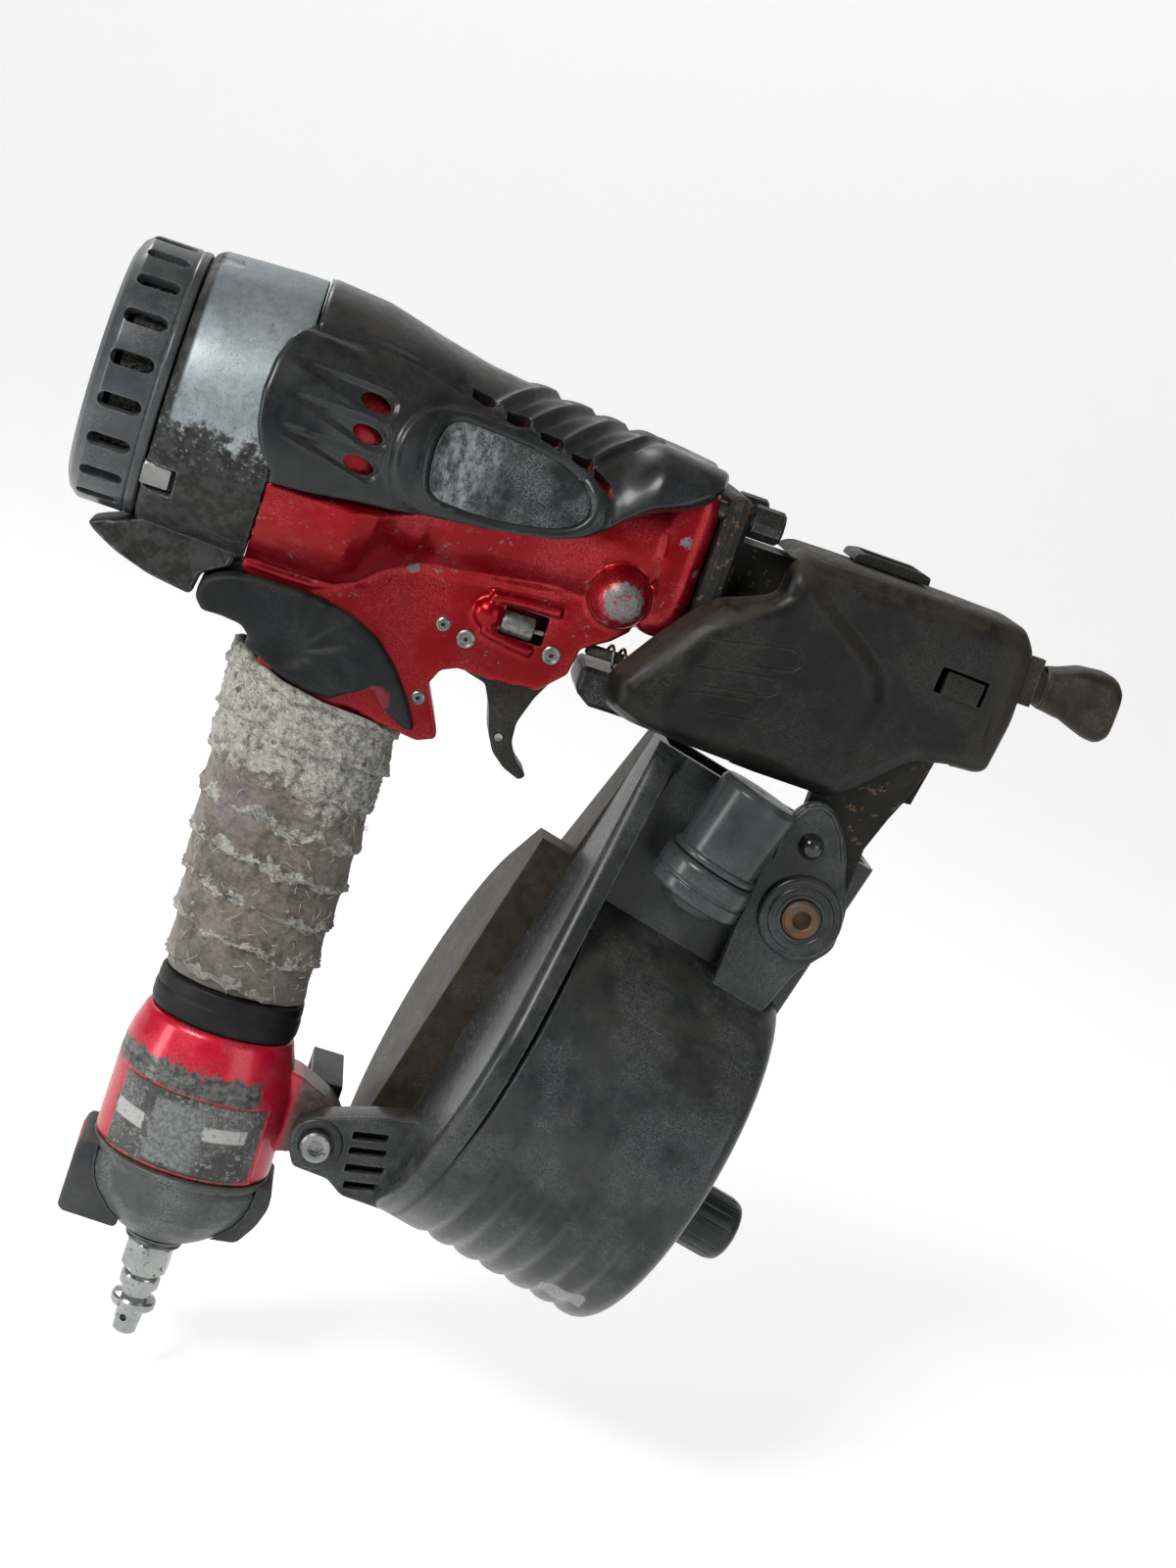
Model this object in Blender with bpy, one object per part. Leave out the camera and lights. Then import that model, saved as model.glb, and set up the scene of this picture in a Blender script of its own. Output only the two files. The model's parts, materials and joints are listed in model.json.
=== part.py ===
"""Pneumatic coil nail gun: driver body, grip, nose and coil magazine as separate pieces.

Frame: origin at the grip centre, +X towards the nose, +Z up, +Y to the user's left.
All driving sizes are in millimetres and scaled to metres where a mesh is made.
"""
import bpy
import bmesh
import math
from mathutils import Vector

MM = 0.001
FINE = 0.62                     # facet count factor of round pieces

# barrel
BZ = 102.8                      # barrel axis height
CAP_X0, CAP_X1, CAP_R = -76.0, -58.4, 33.2
SLOTS, SLOT_L, SLOT_W = 20, 10.4, 3.6
HEAD_X0, HEAD_X1, HEAD_R = -58.0, -30.0, 36.0
BODY_X0, BODY_X1 = -29.7, 77.2
BORE_R, LINER_R = 16.0, 14.0
STROKE = 78.0
# nose
NOSE_X0, NOSE_X1 = 77.5, 161.5
CHANNEL_R = 3.2
BOLT_OFF = 15.0
TIP_X1 = 190.9
# magazine: drum axis A is tilted nose-down, N is its normal
TILT = math.radians(13.5)
AX, NX = (math.cos(TILT), -math.sin(TILT)), (math.sin(TILT), math.cos(TILT))
DRUM_R, DRUM_N = 51.2, -15.8
DRUM_S0, LID_S0, DRUM_S1 = 66.5, 56.8, 131.4   # rear faces of shell and cover, front face
THROAT_TOP = 76.0
WALL = 2.3
# grip
GRIP_BOTTOM = -80.0
# trigger
PIVOT = (49.0, 70.5)

for ob in list(bpy.data.objects):
    bpy.data.objects.remove(ob, do_unlink=True)

MATS = {}


def mat(name, rgb, rough=0.5, metal=0.0, alpha=1.0):
    if name in MATS:
        return MATS[name]
    m = bpy.data.materials.new(name)
    m.use_nodes = True
    b = m.node_tree.nodes["Principled BSDF"]
    b.inputs["Base Color"].default_value = (*rgb, 1.0)
    b.inputs["Roughness"].default_value = rough
    b.inputs["Metallic"].default_value = metal
    b.inputs["Alpha"].default_value = alpha
    m.diffuse_color = (*rgb, alpha)
    MATS[name] = m
    return m


def make(name, bm, material=None, smooth=True, cutter=False, angle=35.0):
    bmesh.ops.remove_doubles(bm, verts=bm.verts, dist=1e-7)
    bmesh.ops.recalc_face_normals(bm, faces=bm.faces)
    if bm.calc_volume(signed=True) < 0:
        bmesh.ops.reverse_faces(bm, faces=bm.faces)
    me = bpy.data.meshes.new(name)
    for f in bm.faces:
        f.smooth = smooth
    if smooth:
        for e in bm.edges:
            if len(e.link_faces) == 2 and e.calc_face_angle(0.0) > math.radians(angle):
                e.smooth = False
    bm.to_mesh(me)
    bm.free()
    ob = bpy.data.objects.new(name, me)
    bpy.context.scene.collection.objects.link(ob)
    if material:
        me.materials.append(material)
    if cutter:
        ob.hide_render = True
        ob.display_type = 'WIRE'
    return ob


def cut(ob, other, op='DIFFERENCE'):
    md = ob.modifiers.new(op.lower(), 'BOOLEAN')
    md.operation = op
    md.solver = 'EXACT'
    md.object = other
    return md


def bevel(ob, width, segments=2, angle=30.0):
    md = ob.modifiers.new('edge', 'BEVEL')
    md.width = width * MM
    md.segments = segments
    md.limit_method = 'ANGLE'
    md.angle_limit = math.radians(angle)
    md.use_clamp_overlap = True
    return md


def rings(bm, loops, closed_ends=True, loop_around=False):
    """Skin equal-count rings of points given in millimetres."""
    rows = [[bm.verts.new((p[0] * MM, p[1] * MM, p[2] * MM)) for p in lp] for lp in loops]
    n = len(rows[0])
    last = len(rows) if loop_around else len(rows) - 1
    for i in range(last):
        a, b = rows[i], rows[(i + 1) % len(rows)]
        for k in range(n):
            bm.faces.new((a[k], a[(k + 1) % n], b[(k + 1) % n], b[k]))
    if closed_ends and not loop_around:
        bm.faces.new(list(reversed(rows[0])))
        bm.faces.new(rows[-1])
    return rows


def lathe_bm(profile, origin, axis, seg=36, bm=None):
    """Revolve (along, radius) pairs. A profile touching the axis is closed there,
    any other profile is treated as a closed loop."""
    bm = bm or bmesh.new()
    seg = max(8, 2 * round(seg * FINE / 2))
    a = Vector(axis).normalized()
    u = Vector((0, 1, 0)) if abs(a.y) < 0.9 else Vector((1, 0, 0))
    u = (u - a * u.dot(a)).normalized()
    v = a.cross(u)
    o = Vector(origin)
    solid = profile[0][1] == 0
    rows = []
    for h, r in profile:
        if r == 0:
            rows.append([bm.verts.new(tuple((o + a * h) * MM))])
        else:
            rows.append([bm.verts.new(tuple((o + a * h + (u * math.cos(t) + v * math.sin(t)) * r) * MM))
                         for t in (2 * math.pi * k / seg for k in range(seg))])
    n = len(rows)
    for i in range(n - 1 if solid else n):
        p, q = rows[i], rows[(i + 1) % n]
        for k in range(seg):
            k2 = (k + 1) % seg
            if len(p) == 1 and len(q) == 1:
                continue
            if len(p) == 1:
                bm.faces.new((p[0], q[k], q[k2]))
            elif len(q) == 1:
                bm.faces.new((p[k], p[k2], q[0]))
            else:
                bm.faces.new((p[k], p[k2], q[k2], q[k]))
    return bm


def lathe(name, profile, origin, axis, material=None, seg=36, **kw):
    return make(name, lathe_bm(profile, origin, axis, seg), material, **kw)


def prism_bm(points, y0, y1, bm=None):
    """Extrude an XZ outline from y0 to y1."""
    bm = bm or bmesh.new()
    rings(bm, [[(x, y0, z) for x, z in points], [(x, y1, z) for x, z in points]])
    return bm


def prism(name, points, y0, y1, material=None, **kw):
    return make(name, prism_bm(points, y0, y1), material, **kw)


def box_bm(x0, x1, y0, y1, z0, z1, bm=None):
    return prism_bm([(x0, z0), (x1, z0), (x1, z1), (x0, z1)], y0, y1, bm)


def box(name, x0, x1, y0, y1, z0, z1, material=None, **kw):
    return make(name, box_bm(x0, x1, y0, y1, z0, z1), material, **kw)


def ellipse(cx, z, a, b, seg=32, power=2.0):
    pts = []
    for k in range(seg):
        t = 2 * math.pi * k / seg
        c, s = math.cos(t), math.sin(t)
        e = 2.0 / power
        pts.append((cx + a * math.copysign(abs(c) ** e, c), b * math.copysign(abs(s) ** e, s), z))
    return pts


def stack(name, table, material=None, seg=24, power=2.0, grow=0.0, **kw):
    """Solid of elliptical sections: rows of (z, centre x, half length, half width)."""
    bm = bmesh.new()
    rings(bm, [ellipse(cx, z, a + grow, b + grow, seg, power) for z, cx, a, b in table])
    return make(name, bm, material, **kw)


def sleeve(name, outer, inner, material=None, seg=24, power=2.0, **kw):
    """Closed tube between two section tables with the same end heights."""
    bm = bmesh.new()
    loops = [ellipse(cx, z, a, b, seg, power) for z, cx, a, b in outer]
    loops += [ellipse(cx, z, a, b, seg, power) for z, cx, a, b in reversed(inner)]
    rings(bm, loops, loop_around=True)
    return make(name, bm, material, **kw)


def lerp(table, x):
    if x <= table[0][0]:
        return table[0][1]
    for (x0, y0), (x1, y1) in zip(table, table[1:]):
        if x <= x1:
            return y0 + (y1 - y0) * (x - x0) / (x1 - x0)
    return table[-1][1]


def sy(s, y, n):
    """Magazine coordinates (along drum axis, sideways, normal) to the part frame."""
    return (s * AX[0] + n * NX[0], y, s * AX[1] + n * NX[1])


DA = (AX[0], 0.0, AX[1])

# ---------------------------------------------------------------- materials
M_CAP = mat('cap_black_plastic', (0.02, 0.02, 0.022), 0.6)
M_FILTER = mat('filter_mesh', (0.2, 0.16, 0.09), 0.9)
M_HEAD = mat('head_grey_metal', (0.22, 0.23, 0.24), 0.5, 0.7)
M_RED = mat('body_red_paint', (0.45, 0.01, 0.03), 0.3, 0.4)
M_RUBBER = mat('guard_black_rubber', (0.02, 0.022, 0.025), 0.55)
M_BADGE = mat('badge_film', (0.015, 0.015, 0.018), 0.35)
M_STEEL = mat('bright_steel', (0.6, 0.6, 0.6), 0.25, 1.0)
M_DSTEEL = mat('dark_steel', (0.09, 0.085, 0.08), 0.4, 1.0)
M_ALU = mat('liner_aluminium', (0.5, 0.5, 0.52), 0.35, 1.0)
M_BUMP = mat('bumper_urethane', (0.35, 0.22, 0.05), 0.6)
M_NOSE = mat('nose_casting_black', (0.05, 0.05, 0.05), 0.5, 0.6)
M_COVER = mat('nose_cover_plastic', (0.022, 0.022, 0.022), 0.5)
M_DRUM = mat('drum_black_plastic', (0.025, 0.03, 0.034), 0.4)
M_SMOKE = mat('cover_smoky_plastic', (0.1, 0.08, 0.06), 0.2, 0.0, 0.75)
M_TAPE = mat('grip_tape', (0.25, 0.21, 0.16), 0.95)
M_RING = mat('grip_ring_rubber', (0.015, 0.015, 0.016), 0.5)
M_CUP = mat('cup_grey', (0.06, 0.06, 0.065), 0.4, 0.4)
M_FOOT = mat('foot_rubber', (0.02, 0.02, 0.022), 0.7)
M_LABEL = mat('blank_label', (0.05, 0.05, 0.05), 0.5)
M_CHROME = mat('plug_chrome', (0.7, 0.69, 0.67), 0.2, 1.0)
M_TRIG = mat('trigger_black', (0.03, 0.03, 0.03), 0.4, 0.5)
M_SPRING = mat('spring_steel', (0.35, 0.35, 0.36), 0.35, 1.0)
M_RUST = mat('rusty_bolt', (0.12, 0.07, 0.04), 0.7, 0.7)
M_BRASS = mat('valve_brass', (0.5, 0.36, 0.15), 0.35, 1.0)
M_HOOK = mat('hook_black_steel', (0.03, 0.03, 0.028), 0.5, 0.6)

XAX = (1, 0, 0)
YAX = (0, 1, 0)
O_B = (0, 0, BZ)

# ---------------------------------------------------------------- exhaust cap
cap = lathe('exhaust_cap', [(-73.6, 3.3), (-73.6, 9.0), (CAP_X0, 11.0), (CAP_X0, 28.0), (-74.6, 31.4), (-72.0, CAP_R),
                            (-60.0, CAP_R), (CAP_X1, 32.5), (CAP_X1, 30.4), (-70.8, 30.4), (-72.6, 28.0),
                            (-72.6, 12.0), (-71.0, 9.5), (-71.0, 3.3)], O_B, XAX, M_CAP, seg=64)
bm = bmesh.new()
for k in range(SLOTS):
    t = 2 * math.pi * (k + 0.5) / SLOTS
    er = Vector((0, math.sin(t), math.cos(t)))
    et = Vector((0, math.cos(t), -math.sin(t)))
    out = []
    xa, xb, hw = -62.2 - SLOT_L, -62.2, SLOT_W / 2
    for cx, a0 in ((xb - hw, -90), (xa + hw, 90)):
        for j in range(5):
            a = math.radians(a0 + 45 * j)
            out.append((cx + hw * math.cos(a), hw * math.sin(a)))
    loops = []
    for r in (28.9, 36.0):
        loops.append([tuple(Vector((px, 0, BZ)) + er * r + et * pt) for px, pt in out])
    rings(bm, loops)
cap_slots = make('cut_cap_slots', bm, cutter=True)
cut(cap, cap_slots)

lathe('exhaust_filter', [(-70.3, 27.2), (-70.3, 29.9), (-59.5, 29.9), (-59.5, 27.2)], O_B, XAX, M_FILTER, seg=48)

# ---------------------------------------------------------------- cylinder head
head = lathe('cylinder_head', [(-70.7, 3.0), (-70.7, 6.5), (-58.6, 6.5), (HEAD_X0, 8.0), (HEAD_X0, 30.5), (-57.9, 33.4), (-55.5, 34.8),
                               (-36.0, HEAD_R), (HEAD_X1, HEAD_R), (HEAD_X1, 27.0), (-53.5, 27.0),
                               (-53.5, 7.0), (-55.0, 3.0)], O_B, XAX, M_HEAD, seg=60)
fin = prism('add_fin', [(-68.2, 65.2), (-60.0, 61.4), (-50.0, 58.8), (-39.2, 57.2), (-38.3, 62.9), (-31.4, 67.2),
                        (-31.4, 73.6), (-50.0, 73.6), (-57.6, 70.2), (-62.0, 67.6)], -15.0, 15.0, M_HEAD, cutter=True)
cut(head, fin, 'UNION')
bm = bmesh.new()
for k in range(6):
    t = math.radians(60 * k + 30)
    lathe_bm([(-60.0, 0), (-60.0, 4.0), (-51.0, 4.0), (-51.0, 0)], (0, 17 * math.cos(t), BZ + 17 * math.sin(t)), XAX, 14, bm)
head_ports = make('cut_head_ports', bm, cutter=True)
cut(head, head_ports)

lathe('cap_screw', [(-76.0, 0), (-76.0, 3.6), (-75.3, 5.2), (-73.9, 5.2), (-73.9, 2.6), (-59.0, 2.6), (-58.0, 0)], O_B, XAX,
      M_DSTEEL, seg=24)

# ---------------------------------------------------------------- head valve and its spring
lathe('head_valve', [(-48.5, 0), (-48.5, 5.5), (-33.0, 5.5), (-33.0, 20.5), (-32.0, 21.5), (-27.4, 21.5), (-27.4, 0)],
      O_B, XAX, M_ALU, seg=36)


def spring(name, p0, axis, length, r, wire, turns, material, seg=12, ring=5):
    a = Vector(axis).normalized()
    u = Vector((0, 1, 0)) if abs(a.y) < 0.9 else Vector((1, 0, 0))
    u = (u - a * u.dot(a)).normalized()
    v = a.cross(u)
    o = Vector(p0)
    loops = []
    steps = int(turns * seg)
    for i in range(steps + 1):
        t = 2 * math.pi * i / seg
        h = wire + (length - 2 * wire) * i / steps
        c = o + a * h + (u * math.cos(t) + v * math.sin(t)) * r
        er = u * math.cos(t) + v * math.sin(t)
        tan = (-u * math.sin(t) + v * math.cos(t)) * r * 2 * math.pi / seg + a * (length - 2 * wire) / steps
        tan.normalize()
        bn = tan.cross(er).normalized()
        loops.append([tuple(c + (er * math.cos(q) + bn * math.sin(q)) * wire)
                      for q in (2 * math.pi * j / ring for j in range(ring))])
    bm = bmesh.new()
    rings(bm, loops)
    return make(name, bm, material)


spring('head_valve_spring', (-53.2, 0, BZ), XAX, 19.9, 11.5, 1.0, 3.5, M_SPRING)

# ---------------------------------------------------------------- body casting
GUARD_R = [(-36, 36.6), (-29.7, 36.4), (-14.2, 35.2), (-0.5, 31.8), (13.2, 28.9), (23.8, 27.7), (40.0, 25.4), (52.8, 25.2),
           (66.3, 24.0), (77.0, 22.6)]


def body_r(x):
    return lerp(GUARD_R, x) - 3.9


prof = [(BODY_X0, 0)] + [(x, body_r(x)) for x in (BODY_X0, -14.2, -0.5, 13.2, 23.8, 40.0, 52.8, 64.6)]
prof += [(70.0, 18.0), (70.0, 0)]
body = lathe('body_housing', prof, O_B, XAX, M_RED, seg=48)

HAND = [(45.0, -2.9, 20.0, 14.5), (38.0, -2.7, 19.3, 14.2), (16.0, -1.7, 18.5, 13.8), (-4.0, -1.0, 17.8, 13.4),
        (-26.0, -0.2, 16.4, 12.6), (-47.0, 0.9, 15.2, 12.2), (GRIP_BOTTOM, 1.2, 15.2, 12.2)]
core = [(72.0, -4.0, 21.0, 14.5)] + HAND
handle_core = stack('add_handle_core', core, M_RED, cutter=True)
under = prism('add_underbody', [(-29.7, 92.0), (-29.7, 67.3), (-22.0, 62.0), (-19.0, 46.0), (14.0, 41.0), (24.0, 40.0),
                                (27.4, 43.0), (21.6, 54.6), (27.4, 60.0), (37.4, 59.9), (48.4, 61.2), (54.2, 67.0),
                                (55.5, 74.2), (62.0, 78.3), (65.7, 82.0), (65.7, 92.0), (10.0, 96.0)],
              -14.0, 14.0, M_RED, cutter=True)
flange = box('add_body_flange', 64.0, BODY_X1, -20.0, 20.0, BZ - 20.0, BZ + 20.0, M_RED, cutter=True)
bevel(flange, 5.5, 3, 60.0)
bm = bmesh.new()
for sgn in (-1, 1):
    lathe_bm([(-7.5, 0), (-6.8, 3.2), (-5.3, 5.3), (-2.9, 6.9), (0, 7.5), (2.9, 6.9), (5.3, 5.3), (6.8, 3.2), (7.5, 0)],
             (59.6, sgn * 21.0, 90.5), YAX, 20, bm)
bumps = make('add_body_bumps', bm, M_RED, cutter=True)
for o in (handle_core, under, flange, bumps):
    cut(body, o, 'UNION')
bore = lathe('cut_body_bore', [(-32.0, 0), (-32.0, 27.0), (-8.0, 27.0), (-8.0, BORE_R), (62.6, BORE_R), (62.6, 14.6), (80.0, 14.6), (80.0, 0)],
             O_B, XAX, cutter=True, seg=48)
cut(body, bore)
void_t = [(z, cx, a - 3.2, b - 3.2) for z, cx, a, b in [(81.0, -4.0, 17.0, 12.0)] + HAND[:-1] + [(-84.0, 1.2, 15.2, 12.2)]]
air_void = stack('cut_handle_air', void_t, cutter=True, seg=24)
cut(body, air_void)
bm = box_bm(39.2, 54.3, -8.0, 8.0, 50.0, 78.3)
bay_a = make('cut_trigger_bay', bm, cutter=True)
cut(body, bay_a)
bay_b = box('cut_trigger_bay_rear', 24.5, 39.8, -8.0, 8.0, 50.0, 65.2, cutter=True)
cut(body, bay_b)
VX = 34.2
valve_hole = lathe('cut_valve_hole', [(60.0, 0), (60.0, 4.9), (82.0, 4.9), (82.0, 0)], (VX, 0, 0), (0, 0, 1), cutter=True, seg=24)
cut(body, valve_hole)
window = box('cut_link_window', 31.5, 46.0, -22.0, -7.5, 70.7, 78.3, cutter=True)
cut(body, window)
rod_hole = lathe('cut_rod_hole', [(46.6, 0), (46.6, 1.9), (70.0, 1.9), (70.0, 0)], (0, -11.0, 74.5), XAX, cutter=True, seg=16)
cut(body, rod_hole)
PINS = {'s1': (21.3, 69.6), 's2': (27.7, 67.8), 's3': PIVOT, 's4': (21.1, 50.2)}
bm = bmesh.new()
for key in PINS:
    px, pz = PINS[key]
    lathe_bm([(-16.0, 0), (-16.0, 1.8), (16.0, 1.8), (16.0, 0)], (px, 0, pz), YAX, 16, bm)
for sy_ in (-1, 1):
    for sz_ in (-1, 1):
        lathe_bm([(66.0, 0), (66.0, 2.7), (79.0, 2.7), (79.0, 0)], (0, sy_ * BOLT_OFF, BZ + sz_ * BOLT_OFF), XAX, 14, bm)
pin_holes = make('cut_pin_holes', bm, cutter=True)
cut(body, pin_holes)

for key, length in (('s1', 14.6), ('s2', 14.6), ('s3', 14.6), ('s4', 14.6)):
    px, pz = PINS[key]
    r = 1.5
    lathe('body_pin_' + key[1], [(-length, r - 0.35), (-length + 0.3, r), (length - 0.3, r), (length, r - 0.35), (length - 0.6, 0.7), (-length + 0.6, 0.7)],
          (px, 0, pz), YAX, M_STEEL, seg=14)

# ---------------------------------------------------------------- liner, bumper, driver
lathe('cylinder_liner', [(-27.1, LINER_R), (-27.1, 15.6), (62.3, 15.6), (62.3, LINER_R)], O_B, XAX, M_ALU, seg=40)
lathe('piston_bumper', [(63.2, 5.0), (63.2, 11.0), (66.0, 14.2), (77.0, 14.2), (77.0, 5.0)], O_B, XAX, M_BUMP, seg=32)
lathe('driver', [(-26.6, 0), (-26.6, 12.6), (-25.6, 13.7), (-18.4, 13.7), (-17.4, 12.6), (-17.4, 4.5), (-14.0, 2.5), (107.5, 2.5),
                 (108.5, 2.0), (108.5, 0)], O_B, XAX, M_STEEL, seg=28)

# ---------------------------------------------------------------- rubber body guard
START = [(0, -29.6), (47, -29.6), (50, -30.6), (55, -32.4), (64, -34.4), (76, -35.8), (88, -35.2), (97, -33.0), (101, -31.2), (103, -29.6), (107.5, -29.6)]
END = [(0, 76.6), (30, 76.6), (42, 75.6), (52, 73.0), (60, 68.0), (68, 59.0), (76, 54.5), (85, 51.0), (92, 47.0), (98, 40.0),
       (102, 27.0), (105, 10.0), (107.5, -6.0)]


def guard_outer(x, th):
    t = math.radians(th)
    r = lerp(GUARD_R, x)
    lobe = max(0.0, min(1.0, (abs(th) - 42) / 14.0))
    r += 2.4 * lobe * max(0.0, min(1.0, (-12.0 - x) / 14.0))
    k = max(0.0, min(1.0, (x - 50.0) / 14.0))
    r += k * 6.6 * math.sin(2 * t) ** 2 * (1 if abs(th) < 90 else 0)
    return r


def guard_inner(x, th):
    t = math.radians(th)
    if x <= -29.6:
        return HEAD_R + 0.45
    r = lerp(GUARD_R, max(x, -29.7)) - 3.0 + 0.7 * max(0.0, min(1.0, (abs(th) - 90.0) / 8.0))
    if x <= -29.4:
        return HEAD_R + 0.45
    k = max(0.0, min(1.0, (x - 50.0) / 12.0))
    r += k * 7.0 * math.sin(2 * t) ** 2 * (1 if abs(th) < 90 else 0)
    if x > 62.0:
        c, s = abs(math.cos(t)), abs(math.sin(t))
        flat = 20.35 / max(c, s)
        r = max(r, min(flat, 26.3))
    return r


def guard_mesh(name, material):
    bm = bmesh.new()
    ths = [-107.5 + 215.0 * i / 28 for i in range(29)]
    us = [0.0, 0.05, 0.058, 0.064, 0.1, 0.26, 0.4, 0.55, 0.7, 0.82, 0.91, 1.0]
    loops = []
    for th in ths:
        x0, x1 = lerp(START, abs(th)), lerp(END, abs(th))
        outer, inner = [], []
        xs = [x0 + (x1 - x0) * u for u in us]
        xs = [x0, (x0 - 29.5) / 2, -29.5, -28.5] + [-28.5 + (x1 + 28.5) * u for u in us[4:]]
        t = math.radians(th)
        for x in xs:
            ro, ri = guard_outer(x, th), guard_inner(x, th)
            ro = max(ro, ri + 1.6)
            outer.append((x, ro * math.sin(t), BZ + ro * math.cos(t)))
            inner.append((x, ri * math.sin(t), BZ + ri * math.cos(t)))
        loops.append(outer + list(reversed(inner)))
    rings(bm, loops)
    return make(name, bm, material)


guard = guard_mesh('body_guard', M_RUBBER)
bm = bmesh.new()
for sgn in (-1, 1):
    for cx, cz in ((-11.2, 116.8), (-10.9, 109.2), (-10.8, 101.8)):
        loops = []
        for yy in (sgn * 26.0, sgn * 42.0):
            loops.append([(cx + 3.9 * math.cos(q), yy, cz + 2.1 * math.sin(q)) for q in (2 * math.pi * j / 12 for j in range(10))])
        rings(bm, loops)
guard_ovals = make('cut_guard_ovals', bm, cutter=True)
cut(guard, guard_ovals)

# teardrop badge recess and badge on each side
BADGE = [(5.6, 114.6), (6.0, 108.0), (8.6, 101.6), (15.0, 100.9), (24.0, 101.6), (33.0, 103.0), (40.5, 105.6), (43.2, 108.6),
         (41.5, 111.0), (34.0, 113.8), (24.0, 115.8), (12.0, 117.0), (7.5, 116.8)]


def badge_shell(name, sgn, d0, d1, grow, material=None, **kw):
    cx = sum(p[0] for p in BADGE) / len(BADGE)
    cz = sum(p[1] for p in BADGE) / len(BADGE)
    loops = []
    for d in (d0, d1):
        lp = []
        for x, z in BADGE:
            l = math.hypot(x - cx, z - cz)
            x2, z2 = cx + (x - cx) * (l + grow) / l, cz + (z - cz) * (l + grow) / l
            r = lerp(GUARD_R, x2) + d
            lp.append((x2, sgn * math.sqrt(max(r * r - (z2 - BZ) ** 2, 1.0)), z2))
        loops.append(lp)
    bm = bmesh.new()
    a, b = rings(bm, loops, closed_ends=False)
    for row, d in ((a, d0), (b, d1)):
        # crown of the panel follows the guard
        mid = []
        for x, z in BADGE:
            l = math.hypot(x - cx, z - cz)
            x2, z2 = cx + (x - cx) * 0.5, cz + (z - cz) * 0.5
            r = lerp(GUARD_R, x2) + d
            mid.append(bm.verts.new((x2 * MM, sgn * math.sqrt(r * r - (z2 - BZ) ** 2) * MM, z2 * MM)))
        r = lerp(GUARD_R, cx) + d
        c = bm.verts.new((cx * MM, sgn * math.sqrt(r * r - (cz - BZ) ** 2) * MM, cz * MM))
        n = len(row)
        for k in range(n):
            k2 = (k + 1) % n
            bm.faces.new((row[k], row[k2], mid[k2], mid[k]))
            bm.faces.new((mid[k], mid[k2], c))
    return make(name, bm, material, **kw)


for sgn, side in ((-1, 'right'), (1, 'left')):
    rec = badge_shell('cut_badge_' + side, sgn, -0.9, 6.0, 0.4, cutter=True)
    cut(guard, rec)
    badge_shell('badge_' + side, sgn, -0.6, 0.1, 0.0, M_BADGE)

# ---------------------------------------------------------------- nose casting
CB = (129.4, 27.8)              # front magazine bolt
nose = box('nose_casting', 84.0, NOSE_X1, -9.0, 9.0, 88.0, 111.6, M_NOSE, smooth=False)
nfl = box('add_nose_flange', NOSE_X0, 84.6, -20.0, 20.0, BZ - 20.0, BZ + 20.0, M_NOSE, cutter=True)
bevel(nfl, 6.0, 3, 60.0)
arm = prism('add_nose_arm', [(112.0, 91.0), (150.0, 91.0), (149.0, 74.2), (145.2, 62.9), (143.0, 57.7), (139.9, 48.6), (139.6, 36.0), (139.2, 22.4),
                             (132.0, 14.0), (124.0, 15.0), (118.6, 22.0), (118.0, 34.0), (122.0, 45.0), (122.0, 62.0), (112.0, 76.0)],
            -16.0, -12.3, M_NOSE, cutter=True)
root = box('add_arm_root', 113.0, 151.0, -15.6, -6.0, 79.0, 90.0, M_NOSE, cutter=True)
neck = prism('add_nose_neck', [(96.0, 89.0), (152.0, 89.0), (152.0, 80.0), (149.0, 62.0), (112.0, 60.0), (104.0, 80.0)], -9.0, 9.0, M_NOSE, cutter=True)
for o in (nfl, neck, arm, root):
    cut(nose, o, 'UNION')
bm = bmesh.new()
lathe_bm([(75.0, 0), (75.0, CHANNEL_R), (165.0, CHANNEL_R), (165.0, 0)], O_B, XAX, 18, bm)
chan = make('cut_drive_channel', bm, cutter=True)
cut(nose, chan)
bm = bmesh.new()
for sy_ in (-1, 1):
    for sz_ in (-1, 1):
        lathe_bm([(75.0, 0), (75.0, 2.8), (90.0, 2.8), (90.0, 0)], (0, sy_ * BOLT_OFF, BZ + sz_ * BOLT_OFF), XAX, 14, bm)
lathe_bm([(-18.0, 0), (-18.0, 3.3), (-10.0, 3.3), (-10.0, 0)], (CB[0], 0, CB[1]), YAX, 18, bm)
nose_holes = make('cut_nose_holes', bm, cutter=True)
cut(nose, nose_holes)
# feed gate: nails enter the channel from below
gate = box('cut_feed_gate', 114.0, 147.0, -2.9, 2.9, 50.0, BZ, cutter=True)
cut(nose, gate)

for i, (sy_, sz_) in enumerate(((-1, 1), (1, 1), (-1, -1), (1, -1))):
    b = lathe('nose_bolt_%d' % (i + 1), [(67.0, 0), (67.0, 2.4), (84.9, 2.4), (84.9, 4.3), (92.0, 4.3), (92.7, 3.7), (92.7, 2.2), (89.5, 2.2), (89.5, 0)],
              (0, sy_ * BOLT_OFF, BZ + sz_ * BOLT_OFF), XAX, M_DSTEEL, seg=18)

# ---------------------------------------------------------------- nose cover
COV = [(64.0, 64.5), (71.0, 61.2), (86.4, 59.9), (106.0, 58.6), (126.0, 58.1), (143.7, 73.5), (162.2, 75.9), (164.6, 90.8), (164.1, 108.8),
       (160.0, 114.2), (130.0, 115.2), (111.6, 115.4), (99.0, 115.3), (95.6, 112.0), (94.9, 104.0), (82.0, 98.5), (70.0, 84.0), (60.0, 69.5)]


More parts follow.
